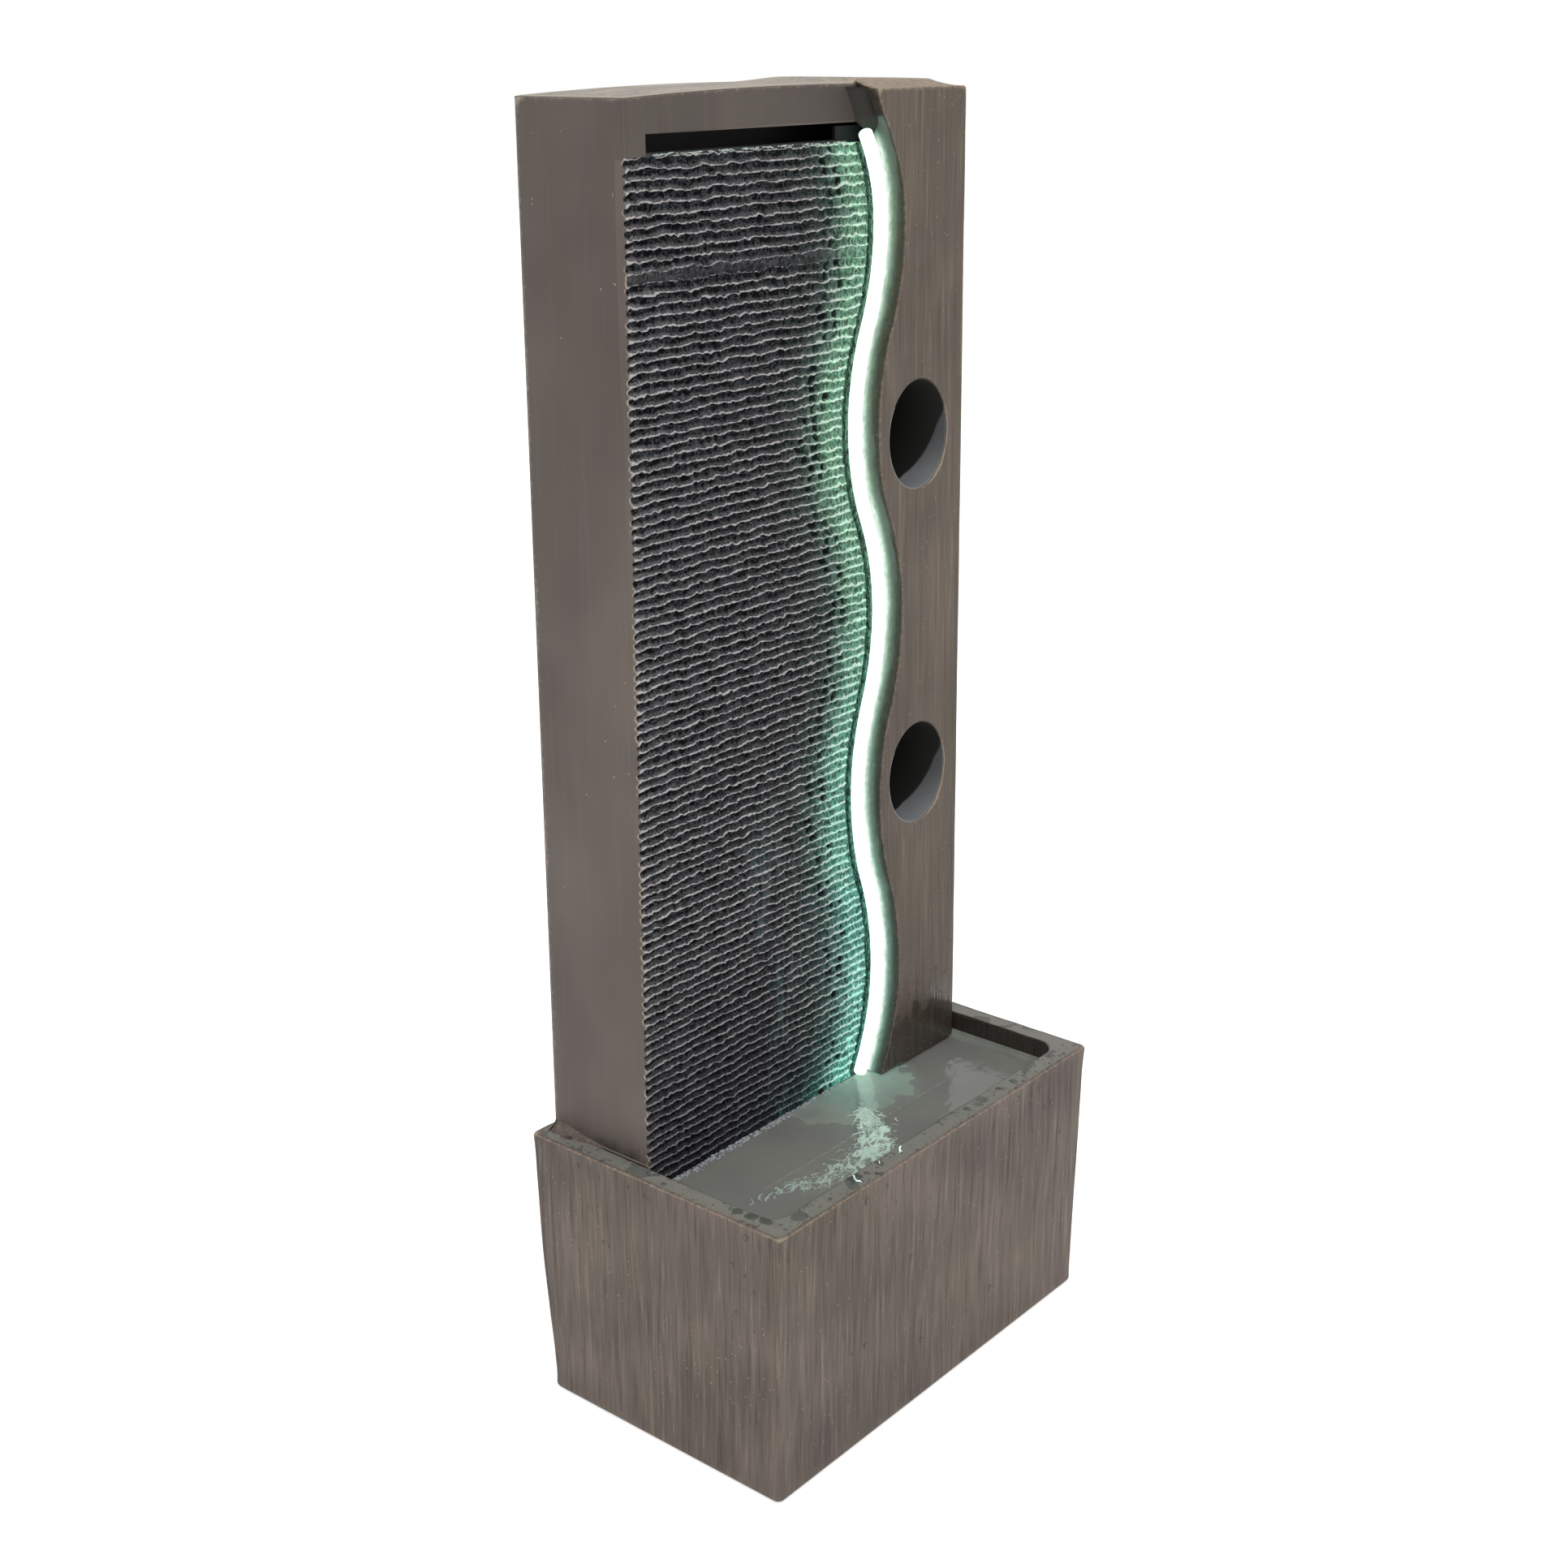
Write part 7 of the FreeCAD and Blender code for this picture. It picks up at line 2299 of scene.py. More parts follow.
@dataclass(frozen=True)
class Cups:
    """The deep cups behind the two holes: painted dark shade inside, with the band that daylight
    reaches painted grey.
    """

    half_x: float = 36.8
    half_z: float = 42.6
    wall: float = 0.6
    front_y: float = 1.5
    back_y: float = 78.0
    flange: float = 3.0
    flange_y: float = 21.7
    flange_thick: float = 2.8
    band_depth: float = 10.0
    band_growth: float = 15.5
    band_limit: float = 27.0
    near_rings: tuple = (28.0, 57)
    deep_rings: tuple = (34.0, 50.0)
    stain_from: tuple = (22.0, 40.0)
    around: int = 160

    def build(self) -> bpy.types.Object:
        """Makes both cups as one piece and returns it.

        Returns:
            The new object.
        """
        shell = Shell()
        for port in Plank().ports:
            self._cup(shell, port)
        piece = shell.build("port_cups", Look.CUP.value)
        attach(piece, ROOT)
        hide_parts("port_liners")
        return piece

    def _cup(self, shell: Shell, port: tuple[float, float]) -> None:
        """Adds one cup.

        Formula: ovals stacked front to back, outside first, then down the inside; the
        daylight mark ends at a depth that grows evenly from the oval's right end down
        to its lower right, and the light is stronger lower down.
        Args:
            shell: the mesh that the faces go to.
            port: the hole's middle, across and up.
        """
        port_x, port_z = port
        outer = [(0.0, self.back_y), (0.0, self.flange_y + self.flange_thick)]
        outer += [(self.flange, self.flange_y + self.flange_thick), (self.flange, self.flange_y)]
        outer += [(0.0, self.flange_y), (0.0, self.front_y)]
        depths = self.front_y + np.concatenate([np.linspace(0.0, *self.near_rings), self.deep_rings])
        rings = outer + [(-self.wall, y) for y in depths] + [(-self.wall, self.back_y - self.wall)]
        angle = np.linspace(0, 2 * np.pi, self.around, endpoint=False)
        grow, y = (np.array(column)[:, None] for column in zip(*rings))
        x = port_x + (self.half_x + grow) * np.cos(angle)
        z = port_z + (self.half_z + grow) * np.sin(angle)
        down = np.mod(-angle, 2 * np.pi)
        down = np.where(down > np.pi + 0.6, down - 2 * np.pi, down)
        limit = np.clip(self.band_depth + self.band_growth * down, 0.0, self.band_limit)
        limit = limit * smooth_step(-0.6, 0.0, down)
        strength = 0.42 + 0.58 * smooth_step(-0.1, 1.5, down)
        daylight = smooth_step(0.8, -0.8, y - LINES.plank_y - limit) * strength
        stain = smooth_step(*self.stain_from, y) * smooth_step(-0.2, 0.6, np.sin(angle))
        grid = shell.add(np.stack([x, y + 0 * x, z], axis=-1), daylight=daylight, stain=stain + 0 * x)
        ends = [[port_x, self.back_y, port_z], [port_x, self.back_y - self.wall, port_z]]
        shell.rods(grid, *shell.add(ends))


@dataclass(frozen=True)
class HeadFillet:
    """The dark hollow seam where the header runs into the plank, above the light: dark tones, with
    painted shade in the hollow.
    """

    reach: float = 15.0
    rise: float = 13.0
    low_z: float = 968.0
    rows: int = 30
    across: int = 12
    wander: Grain = Grain(68, 9.0, 1.0, 2, 0.12)

    def build(self) -> bpy.types.Object:
        """Makes the seam and returns it.

        Formula: a hollow quarter curve from the header's face to the plank's side; its
        reach wanders a little and shrinks to nothing at the foot.
        Returns:
            The new object.
        """
        z = np.linspace(self.low_z, LINES.top_z + 1.0, self.rows)[:, None]
        grow = smooth_step(self.low_z - 4.0, self.low_z + 14.0, z) * (1.0 + self.wander.at(z, 0 * z))
        wall = LINES.wave.x_at(z, Plank().edge_offset) + 1.6
        face = LINES.panel_y - 0.4
        turn = np.linspace(0, np.pi / 2, self.across)[None, :]
        x = wall - self.reach * grow * (1 - np.sin(turn))
        y = face - self.rise * grow * (1 - np.cos(turn))
        x = np.concatenate([x, wall + 1.5, wall + 1.5], axis=1)
        y = np.concatenate([y, y[:, -1:], face + 1.5 + 0 * wall], axis=1)
        shell = Shell()
        points = np.stack([x, y, z + 0 * x], axis=-1)
        # Damp, with painted shade in the hollow.
        grid = shell.add(points, wet=0.3, groove=0.7, wear=0.0)
        shell.rods(grid, *shell.add(points[[0, -1]].mean(axis=1)))
        piece = shell.build("head_fillet", Look.SEAM.value)
        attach(piece, ROOT)
        return piece


# Water


@dataclass(frozen=True)
class Pool:
    """The shallow water in the tray, rippled and streaked with foam."""

    half: float = 182.4
    front: float = -102.9
    back: float = 20.6
    level: float = 206.3
    thick: float = 1.2
    corner: float = 14.5
    back_corner: float = 0.6
    landing: tuple = (40.0, 18.0)
    foam_lift: float = 1.8
    ring: Ring = Ring(front=300, side=90, corner=10)
    shift_x: Grain = Grain(81, 14.0, 11.0, 2, 7.0)
    shift_y: Grain = Grain(86, 12.0, 13.0, 2, 6.0)
    foam_edge: Grain = Grain(87, 9.0, 7.0, 3, 0.35)
    ripple: Grain = Grain(82, 7.0, 5.0, 3, 0.22)
    swell: Grain = Grain(83, 22.0, 14.0, 1, 0.3)
    froth: Grain = Grain(84, 3.5, 2.5, 3, 0.5)
    wake: tuple = (
        (24.0, -23.0, 5.0), (17.6, -31.0, 9.0), (2.7, -51.7, 15.0), (-15.4, -67.3, 20.0),
        (-43.0, -74.3, 19.0), (-71.6, -71.2, 17.0), (-98.0, -60.4, 13.0), (-122.0, -52.2, 9.0),
        (-145.0, -47.3, 5.0))

    def foam_at(self, x: Array, y: Array) -> tuple[Array, Array]:
        """Finds how foamy the water is.

        Formula: distance to a bent line down the tray over the wake's half width there,
        broken up by noise stretched along the wake; further on only thin lines stay.
        Args:
            x: places across.
            y: places front to back.
        Returns:
            Foam, and how much light from the tube it catches, both 0 to 1.
        """
        best = np.full(np.shape(x), 1e9)
        share = np.zeros(np.shape(x))
        count = len(self.wake) - 1
        for number, ((xa, ya, wide_a), (xb, yb, wide_b)) in enumerate(zip(self.wake, self.wake[1:])):
            run = (xb - xa) ** 2 + (yb - ya) ** 2
            t = np.clip(((x - xa) * (xb - xa) + (y - ya) * (yb - ya)) / run, 0, 1)
            away = np.hypot(x - xa - t * (xb - xa), y - ya - t * (yb - ya))
            away = away / (wide_a + (wide_b - wide_a) * t)
            share = np.where(away < best, (number + t) / count, share)
            best = np.minimum(best, away)
        bent_x, bent_y = x + self.shift_x.at(x, y), y + self.shift_y.at(x, y)
        body = smooth_step(1.2, 0.5, best + self.foam_edge.at(x, y))
        curls = Noise(85).ridges((bent_x + bent_y) / 15.0, (bent_x - 1.6 * bent_y) / 9.0, 3, 3.2)
        late = smooth_step(0.36, 0.66, share)
        strength = (1 - late) * (0.42 + 0.9 * curls) + late * (0.08 + 0.85 * curls)
        return np.clip(body * strength, 0, 1), np.clip(1.3 - 1.7 * share, 0.15, 1.0)

    def build(self) -> bpy.types.Object:
        """Makes the water and returns it.

        Returns:
            The new object.
        """
        insets = np.concatenate([[0.0], np.linspace(0.4, 60.0, 70)])
        back = np.maximum(self.back - np.maximum(insets - 2, 0) * 1.2, self.front + insets + 1.0)
        near, far = np.maximum(self.corner - insets, 1.0), np.full(len(insets), self.back_corner)
        plan, _ = self.ring.path(
            -self.half + insets, self.half - insets, self.front + insets, back, near, far)
        x, y = plan[..., 0], plan[..., 1]
        foam, glow = self.foam_at(x, y)
        ripple = self.ripple.at(x, y) + self.swell.at(x, y)
        away = np.hypot(x - self.landing[0], y - self.landing[1])
        ripple = ripple + 0.35 * np.sin(away / 2.4) * np.exp(-away / 55.0)
        z = self.level + ripple + self.foam_lift * foam * (0.5 + self.froth.at(x, y))
        z[0] = self.level - self.thick
        shell = Shell()
        grid = shell.add(np.stack([x, y, z], axis=-1), foam=foam, glow=glow)
        shell.skin(grid, wrap=True)
        self.ring.cap(shell, grid[-1])
        self.ring.cap(shell, grid[0], turned=True)
        piece = shell.build("pool_water", Look.WATER.value)
        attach(piece, ROOT)
        return piece


@dataclass(frozen=True)
class Beads:
    """Many small water drops or puddles, as domes with a wandering outline."""

    name: str
    seed: int
    around: int = 14
    rings: int = 4
    uneven: float = 0.38
    sunk: float = 0.35

    def build(
            self, look: Look, centres: Array, normals: Array, radii: Array, heights: Array,
            stretch: Array | None = None) -> bpy.types.Object:
        """Makes the domes as one mesh.

        Formula: rings whose radius shrinks evenly while the height follows a flattened
        dome; the outline is scaled by noise round each drop.
        Args:
            look: the Look of the drops.
            centres: places on the surface, one row each.
            normals: outward directions of the surface, one for all or one row each.
            radii: outline radii.
            heights: how far each drop stands out.
            stretch: how much longer each drop is than wide, along its second direction.
        Returns:
            The new object.
        """
        count = len(centres)
        normals = np.broadcast_to(normals, centres.shape)
        helper = np.where(np.abs(normals[:, 2:3]) > 0.9, [[1.0, 0.0, 0.0]], [[0.0, 0.0, 1.0]])
        side = np.cross(helper, normals)
        side /= np.linalg.norm(side, axis=1, keepdims=True)
        up = np.cross(normals, side)
        angle = np.linspace(0, 2 * np.pi, self.around, endpoint=False)
        number = np.arange(count)[:, None]
        wander = Noise(self.seed).layers(np.cos(angle) * 1.3 + 9.1 * number, np.sin(angle) * 1.3, 2)
        outline = 1.0 + self.uneven * wander
        longer = np.ones(count) if stretch is None else stretch
        share = np.cos(np.linspace(0, np.pi / 2, self.rings + 1)[:-1])
        share = np.concatenate([[1.0], share])
        rise = np.sqrt(np.clip(1 - share**2, 0, 1))
        rise[0] = -self.sunk
        reach = radii[:, None, None] * outline[:, None, :] * share[None, :, None]
        across = (np.cos(angle) * reach)[..., None] * side[:, None, None, :]
        along = (np.sin(angle) * reach * longer[:, None, None])[..., None] * up[:, None, None, :]
        lift = (heights[:, None] * rise[None, :])[:, :, None, None] * normals[:, None, None, :]
        points = centres[:, None, None, :] + across + along + lift
        shell = Shell()
        foam = 0.8 * (look is Look.FROTH)
        grid = shell.add(points, foam=foam)
        tops = shell.add(centres + normals * heights[:, None], foam=foam)
        feet = shell.add(centres - normals * (self.sunk * heights)[:, None])
        shell.rods(grid, feet, tops)
        piece = shell.build(self.name, look.value)
        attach(piece, ROOT)
        return piece


@dataclass(frozen=True)
class Splashes:
    """Where drops, puddles and froth sit."""

    seed: int = 91
    rim_count: int = 210
    wall_count: int = 70
    froth_count: int = 900
    plank_count: int = 150
    plank_limit: int = 120
    front_rim: tuple = ((-198, 198), (-122, -106))
    left_rim: tuple = ((-199, -186), (-100, 110))
    front_wall: tuple = (-195, 195)
    left_wall: tuple = (-118, 110)
    front_lean: tuple = (-120.0, -4.6)
    left_lean: tuple = (-199.9, -2.0)
    wall_top: float = 8.0
    wall_reach: float = 190.0
    froth_x: tuple = (-177.0, 48.0)
    plank_x: tuple = (72.0, 178.0)
    plank_foot: float = 212.0
    plank_reach: float = 95.0
    plank_margin: float = 9.0
    puddles: tuple = (
        (-189.5, -74.0, 4.6), (-189.0, -86.0, 5.2), (-187.0, -98.0, 6.0), (-99.0, -112.5, 6.5),
        (-68.0, -111.0, 4.5), (45.0, -112.0, 3.6), (108.0, -113.0, 3.6))

    def build(self) -> None:
        """Makes the drops, the puddles on the rim and the froth along the cascade's foot."""
        chance = np.random.default_rng(self.seed)
        self._drops(chance)
        self._puddles(chance)
        self._froth(chance)
        self._plank_drops(chance)

    def _drops(self, chance: np.random.Generator) -> None:
        """Scatters small drops on the front and left rim and down both outer faces.

        Args:
            chance: the source of random numbers.
        """
        basin = Basin()
        front = self.rim_count * 2 // 3
        left = self.rim_count - front
        wall = self.wall_count
        x, y = (
            np.concatenate([chance.uniform(*ahead, front), chance.uniform(*beside, left)])
            for ahead, beside in zip(self.front_rim, self.left_rim))
        flat = np.stack([x, y, np.full(front + left, basin.rim_z + 0.1)], axis=-1)
        z = basin.rim_z - self.wall_top - self.wall_reach * chance.random(wall) ** 1.6
        on_front = chance.random(wall) < 0.5
        left_x, front_y = (
            start + lean * z / basin.rim_z for start, lean in (self.left_lean, self.front_lean))
        face_x = np.where(on_front, chance.uniform(*self.front_wall, wall), left_x)
        face_y = np.where(on_front, front_y, chance.uniform(*self.left_wall, wall))
        upright = np.stack([face_x, face_y, z], axis=-1)
        centres = np.concatenate([flat, upright])
        outward = np.where(on_front[:, None], FRONT, LEFT)
        normals = np.concatenate([np.tile(UP, (front + left, 1)), outward])
        radii = np.concatenate([chance.gamma(1.6, 0.34, front + left), chance.gamma(1.8, 0.3, wall)])
        radii = radii + 0.3
        heights = np.minimum(radii * 0.5, 0.8)
        stretch = np.concatenate([np.ones(front + left), chance.uniform(1.1, 1.9, wall)])
        Beads("rim_drops", 92).build(Look.DROP, centres, normals, radii, heights, stretch)

    def _puddles(self, chance: np.random.Generator) -> None:
        """Lays flat puddles on the rim, most of them where the pool has slopped over the corner.

        Args:
            chance: the source of random numbers.
        """
        x, y, radii = np.array(self.puddles).T
        count = len(radii)
        centres = np.stack([x, y, np.full(count, Basin().rim_z + 0.1)], axis=-1)
        Beads("rim_puddles", 93, around=40, rings=6).build(
            Look.PUDDLE, centres, UP, radii, np.full(count, 0.7), chance.uniform(0.6, 1.0, count))

    def _froth(self, chance: np.random.Generator) -> None:
        """Lays tiny bubbles along the cascade's foot, where the water lands.

        Args:
            chance: the source of random numbers.
        """
        count = self.froth_count
        x = chance.uniform(*self.froth_x, count)
        y = LINES.panel_y - np.abs(chance.normal(0.8, 2.0, count)) - 0.4
        z = np.full(count, Pool().level + 0.2) + 1.2 * chance.random(count) * (y > LINES.panel_y - 2.5)
        radii = chance.gamma(1.8, 0.22, count) + 0.25
        Beads("froth", 94, around=8, rings=3).build(
            Look.FROTH, np.stack([x, y, z], axis=-1), UP, radii, radii * 0.8)

    def _plank_drops(self, chance: np.random.Generator) -> None:
        """Scatters splashed drops on the plank's foot, densest just above the water.

        Args:
            chance: the source of random numbers.
        """
        z = self.plank_foot + self.plank_reach * chance.random(self.plank_count) ** 1.7
        x = chance.uniform(*self.plank_x, self.plank_count)
        x = x[x > LINES.wave.x_at(z, self.plank_margin)][: self.plank_limit]
        z = z[: len(x)]
        x = np.maximum(x, LINES.wave.x_at(z, self.plank_margin))
        centres = np.stack([x, np.full(len(x), LINES.plank_y - 0.05), z], axis=-1)
        radii = 0.35 + chance.gamma(1.5, 0.2, len(x))
        Beads("plank_drops", 95, around=10).build(Look.DROP, centres, FRONT, radii, radii * 0.6)


@dataclass(frozen=True)
class Rivulets:
    """Short bright threads as tapering bent tubes: water, and painted glints."""

    name: str
    seed: int
    steps: int = 10
    around: int = 6

    def build(
            self, starts: Array, ends: Array, radii: Array, bend: tuple[float, float, float],
            light: float = 0.3) -> bpy.types.Object:
        """Makes the threads as one mesh.

        Formula: a straight line from start to end plus sideways noise; the radius
        follows half a sine so that both tips are fine.
        Args:
            starts: first points, one row each.
            ends: last points.
            radii: greatest radii.
            bend: how far threads wander, in millimetres.
            light: how much of the tube's light they catch.
        Returns:
            The new object.
        """
        count = len(starts)
        share = np.linspace(0, 1, self.steps)[None, :, None]
        number = np.arange(count)[:, None]
        line = starts[:, None] + (ends - starts)[:, None] * share
        for axis in range(3):
            drift = Noise(self.seed + axis).layers(share[..., 0] * 4.0 + 7.7 * number, 0.0 * number, 2)
            line[..., axis] += bend[axis] * drift
        heading = np.gradient(line, axis=1)
        heading /= np.linalg.norm(heading, axis=2, keepdims=True)
        side = np.cross(heading, [0.13, 0.2, 0.97])
        side /= np.linalg.norm(side, axis=2, keepdims=True)
        up = np.cross(side, heading)
        thick = radii[:, None] * (0.12 + 0.88 * np.sin(np.pi * share[..., 0]))
        angle = np.linspace(0, 2 * np.pi, self.around, endpoint=False)
        ring = np.cos(angle)[:, None] * side[:, :, None] + np.sin(angle)[:, None] * up[:, :, None]
        points = line[:, :, None] + thick[..., None, None] * ring
        shell = Shell()
        places = (points, line[:, 0], line[:, -1])
        shell.rods(*(shell.add(place, foam=0.9, glow=light) for place in places))
        piece = shell.build(self.name, Look.WATER.value)
        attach(piece, ROOT)
        return piece


@dataclass(frozen=True)
class BrightThreads:
    """Bright threads: water on the slot's lip and in the wake, and painted glints on the wet rim."""

    slot_count: int = 70
    slot_x: tuple = (-155.0, 52.0)
    slot_y: tuple = (20.6, 22.4)
    wake_count: int = 380
    rim_lift: float = 0.8
    rim_lines: tuple = (
        (-100.5, -118.5, -99.0, -109.5, 0.55), (-99.5, -111.0, -95.0, -107.0, 0.45),
        (-47.0, -113.5, -37.0, -107.0, 0.6), (-42.0, -108.5, -43.0, -114.5, 0.35),
        (-69.0, -112.0, -66.0, -109.0, 0.3))

    def build(self) -> None:
        """Makes all the threads."""
        self._slot()
        self._wake()
        self._rim()

    def _slot(self) -> None:
        """Makes the broken waterline on the slot's lip, from level threads set at random: water, pale
        and faintly glowing as painted glints.
        """
        chance = np.random.default_rng(101)
        count = self.slot_count
        x, y = (chance.uniform(*span, count) for span in (self.slot_x, self.slot_y))
        z = LINES.slot_z0 + 0.4 + 0.5 * chance.random(count)
        starts = np.stack([x, y, z], axis=-1)
        length = chance.gamma(2.0, 2.2, count)
        ends = starts + np.stack([length, 0 * x, chance.uniform(-0.6, 0.6, count)], axis=-1)
        radii = 0.25 + 0.3 * chance.random(count)
        Rivulets("slot_waterline", 102).build(starts, ends, radii, (0.3, 0.5, 0.5))

    def _wake(self) -> None:
        """Makes the threads in the wake, each laid roughly along its bent middle line."""
        chance = np.random.default_rng(111)
        count = self.wake_count
        wake = np.array(Pool().wake)
        place = chance.random(count) ** 1.7 * (len(wake) - 1) * 0.8
        part = place.astype(int)
        along = wake[part] + (wake[part + 1] - wake[part]) * (place - part)[:, None]
        x = along[:, 0] + chance.normal(0, 0.45, count) * along[:, 2]
        y = along[:, 1] + chance.normal(0, 0.38, count) * along[:, 2]
        course = wake[part + 1] - wake[part]
        heading = np.arctan2(course[:, 1], course[:, 0]) + chance.normal(0, 0.5, count)
        length = chance.gamma(2.0, 3.0, count)
        z = Pool().level + 0.3 + 0.9 * chance.random(count)
        starts = np.stack([x, y, z], axis=-1)
        ends = starts + np.stack([np.cos(heading) * length, np.sin(heading) * length, 0 * x], axis=-1)
        radii = (0.16 + 0.42 * chance.random(count)) * np.clip(1.25 - 0.17 * place, 0.4, 1.1)
        Rivulets("foam_threads", 112).build(starts, ends, radii, (3.2, 3.2, 0.6), 0.6)

    def _rim(self) -> None:
        """Makes the few curved glints on the wet rim, each from its start to its end: glowing threads
        as painted reflections.
        """
        lines = np.array(self.rim_lines)
        z = np.full(len(lines), Basin().rim_z + self.rim_lift)
        starts, ends = np.column_stack([lines[:, :2], z]), np.column_stack([lines[:, 2:4], z])
        Rivulets("rim_glints", 113).build(starts, ends, lines[:, 4], (1.5, 1.0, 0.2), 3.0)


@dataclass(frozen=True)
class FootBead:
    """The smeared joint that rises from the rim to the tower's side."""

    steps: int = 150
    across: int = 10
    front: float = 22.2
    rear: float = 121.0
    rim_z: float = 228.8
    hidden_z: tuple = (228.4, 228.3)
    growth: tuple = (60.0, 118.0)
    reach: tuple = (1.6, 0.7, 9.0)
    rise: tuple = (1.4, 0.6, 6.5)
    wander: Grain = Grain(121, 12.0, 1.0, 3)

    def build(self) -> list:
        """Makes a bead on both sides of the tower and returns the pieces."""
        return [self._side(side, label) for side, label in ((-1.0, "left"), (1.0, "right"))]

    def _side(self, side: float, label: str) -> bpy.types.Object:
        """Makes one bead.

        Formula: a hollow quarter curve between rim and wall, whose height and reach
        grow toward the back and wander a little.
        Args:
            side: -1 on the left, 1 on the right.
            label: the side's name.
        Returns:
            The new object.
        """
        y = np.linspace(self.front, self.rear, self.steps)[:, None]
        back = smooth_step(*self.growth, y)
        wander = self.wander.at(y, 0 * y)
        reach, rise = (
            least + drift * wander + growth * back for least, drift, growth in (self.reach, self.rise))
        turn = np.linspace(0, np.pi / 2, self.across)[None, :]
        wall = LINES.half(229.0) + 0.1
        x = wall + reach * (1 - np.sin(turn))
        z = self.rim_z + 0.15 + rise * (1 - np.cos(turn))
        hidden_x = np.array([[wall - 1.6, wall + 1.2]])
        x = np.concatenate([x, hidden_x + 0 * y], axis=1)
        z = np.concatenate([z, np.array([self.hidden_z]) + 0 * y], axis=1)
        z[:, -2] = z[:, self.across - 1]
        points = np.stack([side * x, y + 0 * x, z], axis=-1)
        shell = Shell()
        grid = shell.add(points, wear=0.12, wet=0.15)
        shell.rods(grid, *shell.add(points[[0, -1]].mean(axis=1)), turned=side > 0)
        piece = shell.build("foot_bead_" + label, Look.BASIN.value)
        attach(piece, ROOT)
        return piece


# Studio


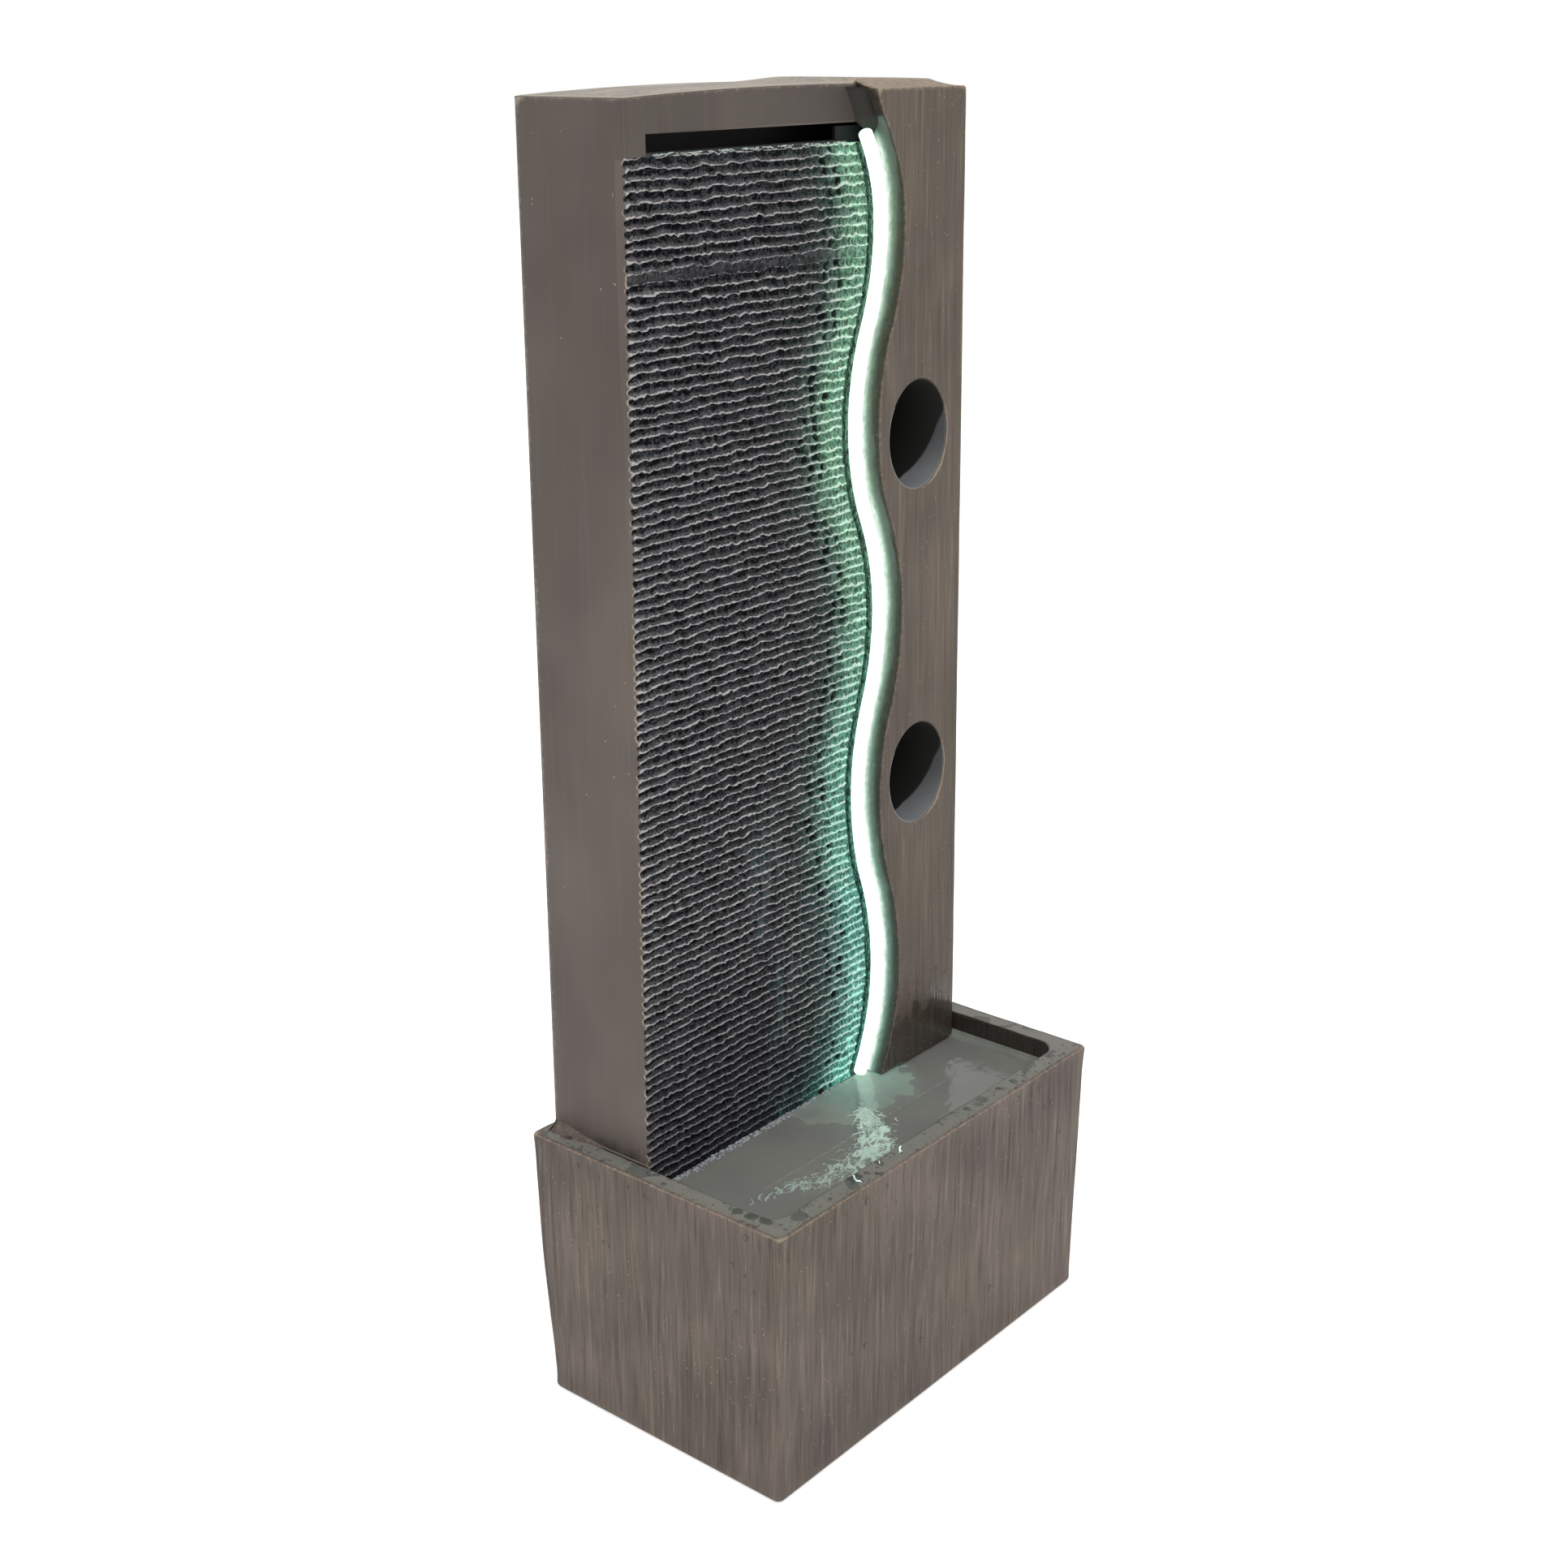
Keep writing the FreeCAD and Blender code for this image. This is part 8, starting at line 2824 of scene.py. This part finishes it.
@dataclass(frozen=True)
class Studio:
    """White floor and surround, soft lamps, and the camera of the picture."""

    eye: tuple = (-1217.97, -986.63, 1042.25)
    right: tuple = (0.64197303, -0.76669329, -0.00721356)
    up: tuple = (0.25876034, 0.20779158, 0.94332696)
    back: tuple = (-0.72174353, -0.60745704, 0.3317864)
    lens: float = 49.42
    sensor: float = 36.0
    surround: float = 0.80
    floor_lift: float = 0.5
    floor_side: float = 9000.0
    floor_levels: tuple = (-0.2, -20.0)
    lamps: tuple = (
        ("overhead", (-0.3, -0.2, 2.9), (0.0, 0.0, 0.4), 2.2, 14.0),
        ("left_front", (-1.9, -1.9, 2.5), (0.0, 0.0, 0.5), 1.2, 14.0))

    def build(self) -> None:
        """Sets up the floor, surround, lamps and camera."""
        self._world()
        self._floor()
        for lamp in self.lamps:
            self._lamp(*lamp)
        self._camera()
        scene = bpy.context.scene
        scene.view_settings.view_transform = "Standard"
        scene.view_settings.look = "None"

    @staticmethod
    def _seen(tree: Tree) -> Socket:
        """Returns 1 for rays that show the background: camera, mirror and see-through ones.

        Args:
            tree: the material's nodes.
        Returns:
            The output.
        """
        rays = tree.node("LightPath").outputs
        either = tree.math("MAXIMUM", rays["Is Camera Ray"], rays["Is Glossy Ray"])
        return tree.math("MAXIMUM", either, rays["Is Transmission Ray"])

    def _world(self) -> None:
        """Pure white where it is seen, soft grey as light."""
        world = bpy.data.worlds.new("surround")
        world.use_nodes = True
        world.node_tree.nodes.clear()
        tree = Tree(world.node_tree)
        level = tree.math("MULTIPLY_ADD", self._seen(tree), 1.0 - self.surround)
        level.node.inputs[2].default_value = self.surround
        light = tree.node("Background", {"Color": WHITE, "Strength": level})
        tree.put(tree.node("OutputWorld").inputs["Surface"], light.outputs[0])
        bpy.context.scene.world = world

    def _floor(self) -> None:
        """A wide white floor just under the basin, lifted to pure white away from the shadow."""
        shell = Shell()
        corners = self.floor_side * np.array([[-1, -1], [1, -1], [1, 1], [-1, 1]])
        top, low = (
            shell.add(np.concatenate([corners, np.full((4, 1), level)], axis=1))
            for level in self.floor_levels)
        shell.faces(top[None])
        shell.faces(low[None, ::-1])
        shell.bridge(low, top)
        paint = Finish("floor_paint", (0.94, 0.94, 0.94, 1.0), (0.92, 0.92, 0.92, 1.0), 0.9, bump=0.0)
        floor = shell.build("floor", paint)
        tree = Tree(floor.data.materials[0].node_tree)
        shader = tree.tree.nodes["Principled BSDF"]
        tree.put(shader.inputs["Emission Color"], WHITE)
        tree.put(shader.inputs["Emission Strength"], tree.times(self._seen(tree), self.floor_lift))

    @staticmethod
    def _lamp(
            name: str, place: tuple[float, float, float], target: tuple[float, float, float],
            size: float, power: float) -> None:
        """Adds a square area lamp that looks at a point.

        Args:
            name: the lamp's name.
            place: where it stands, in metres.
            target: the point it looks at.
            size: its side, in metres.
            power: its power, in watts.
        """
        data = bpy.data.lights.new(name, "AREA")
        data.energy = power
        data.size = size
        lamp = bpy.data.objects.new(name, data)
        away = np.array(place) - np.array(target)
        away = away / np.linalg.norm(away)
        side = np.cross([0.0, 1.0, 0.0] if abs(away[2]) > 0.9 else [0.0, 0.0, 1.0], away)
        side /= np.linalg.norm(side)
        up = np.cross(away, side)
        lamp.matrix_world = Matrix([*zip(side, up, away, place), (0, 0, 0, 1)])
        bpy.context.scene.collection.objects.link(lamp)

    def _camera(self) -> None:
        """Places the camera that was fitted to the picture."""
        data = bpy.data.cameras.new("camera")
        data.lens = self.lens
        data.sensor_width = self.sensor
        data.clip_end = 100.0
        camera = bpy.data.objects.new("camera", data)
        place = [value * MM for value in self.eye]
        camera.matrix_world = Matrix([*zip(self.right, self.up, self.back, place), (0, 0, 0, 1)])
        bpy.context.scene.collection.objects.link(camera)
        bpy.context.scene.camera = camera


def dress_nodes(frame: dict) -> None:
    """Gives every construction node that stays visible its finish.
    """
    for look, names in NODE_LOOKS.items():
        for name in names:
            mesh = frame["nodes"][name].data
            mesh.materials.clear()
            mesh.materials.append(look.value.material())
            LOG.info("%s: dressed as %s", name, look.name.lower())


def main() -> None:
    """Builds the whole scene."""
    logging.basicConfig(level=logging.INFO, format="%(name)s: %(message)s")
    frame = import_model()
    dress_nodes(frame)
    makers = (
        Basin(), Tray(), TowerCoat(), Cascade(), CornerStrip(), Plank(), LightTube(), Cups(),
        HeadFillet(), Pool(), Splashes(), FootBead(), BrightThreads())
    for maker in makers:
        maker.build()
    Studio().build()


if __name__ == "__main__":
    main()
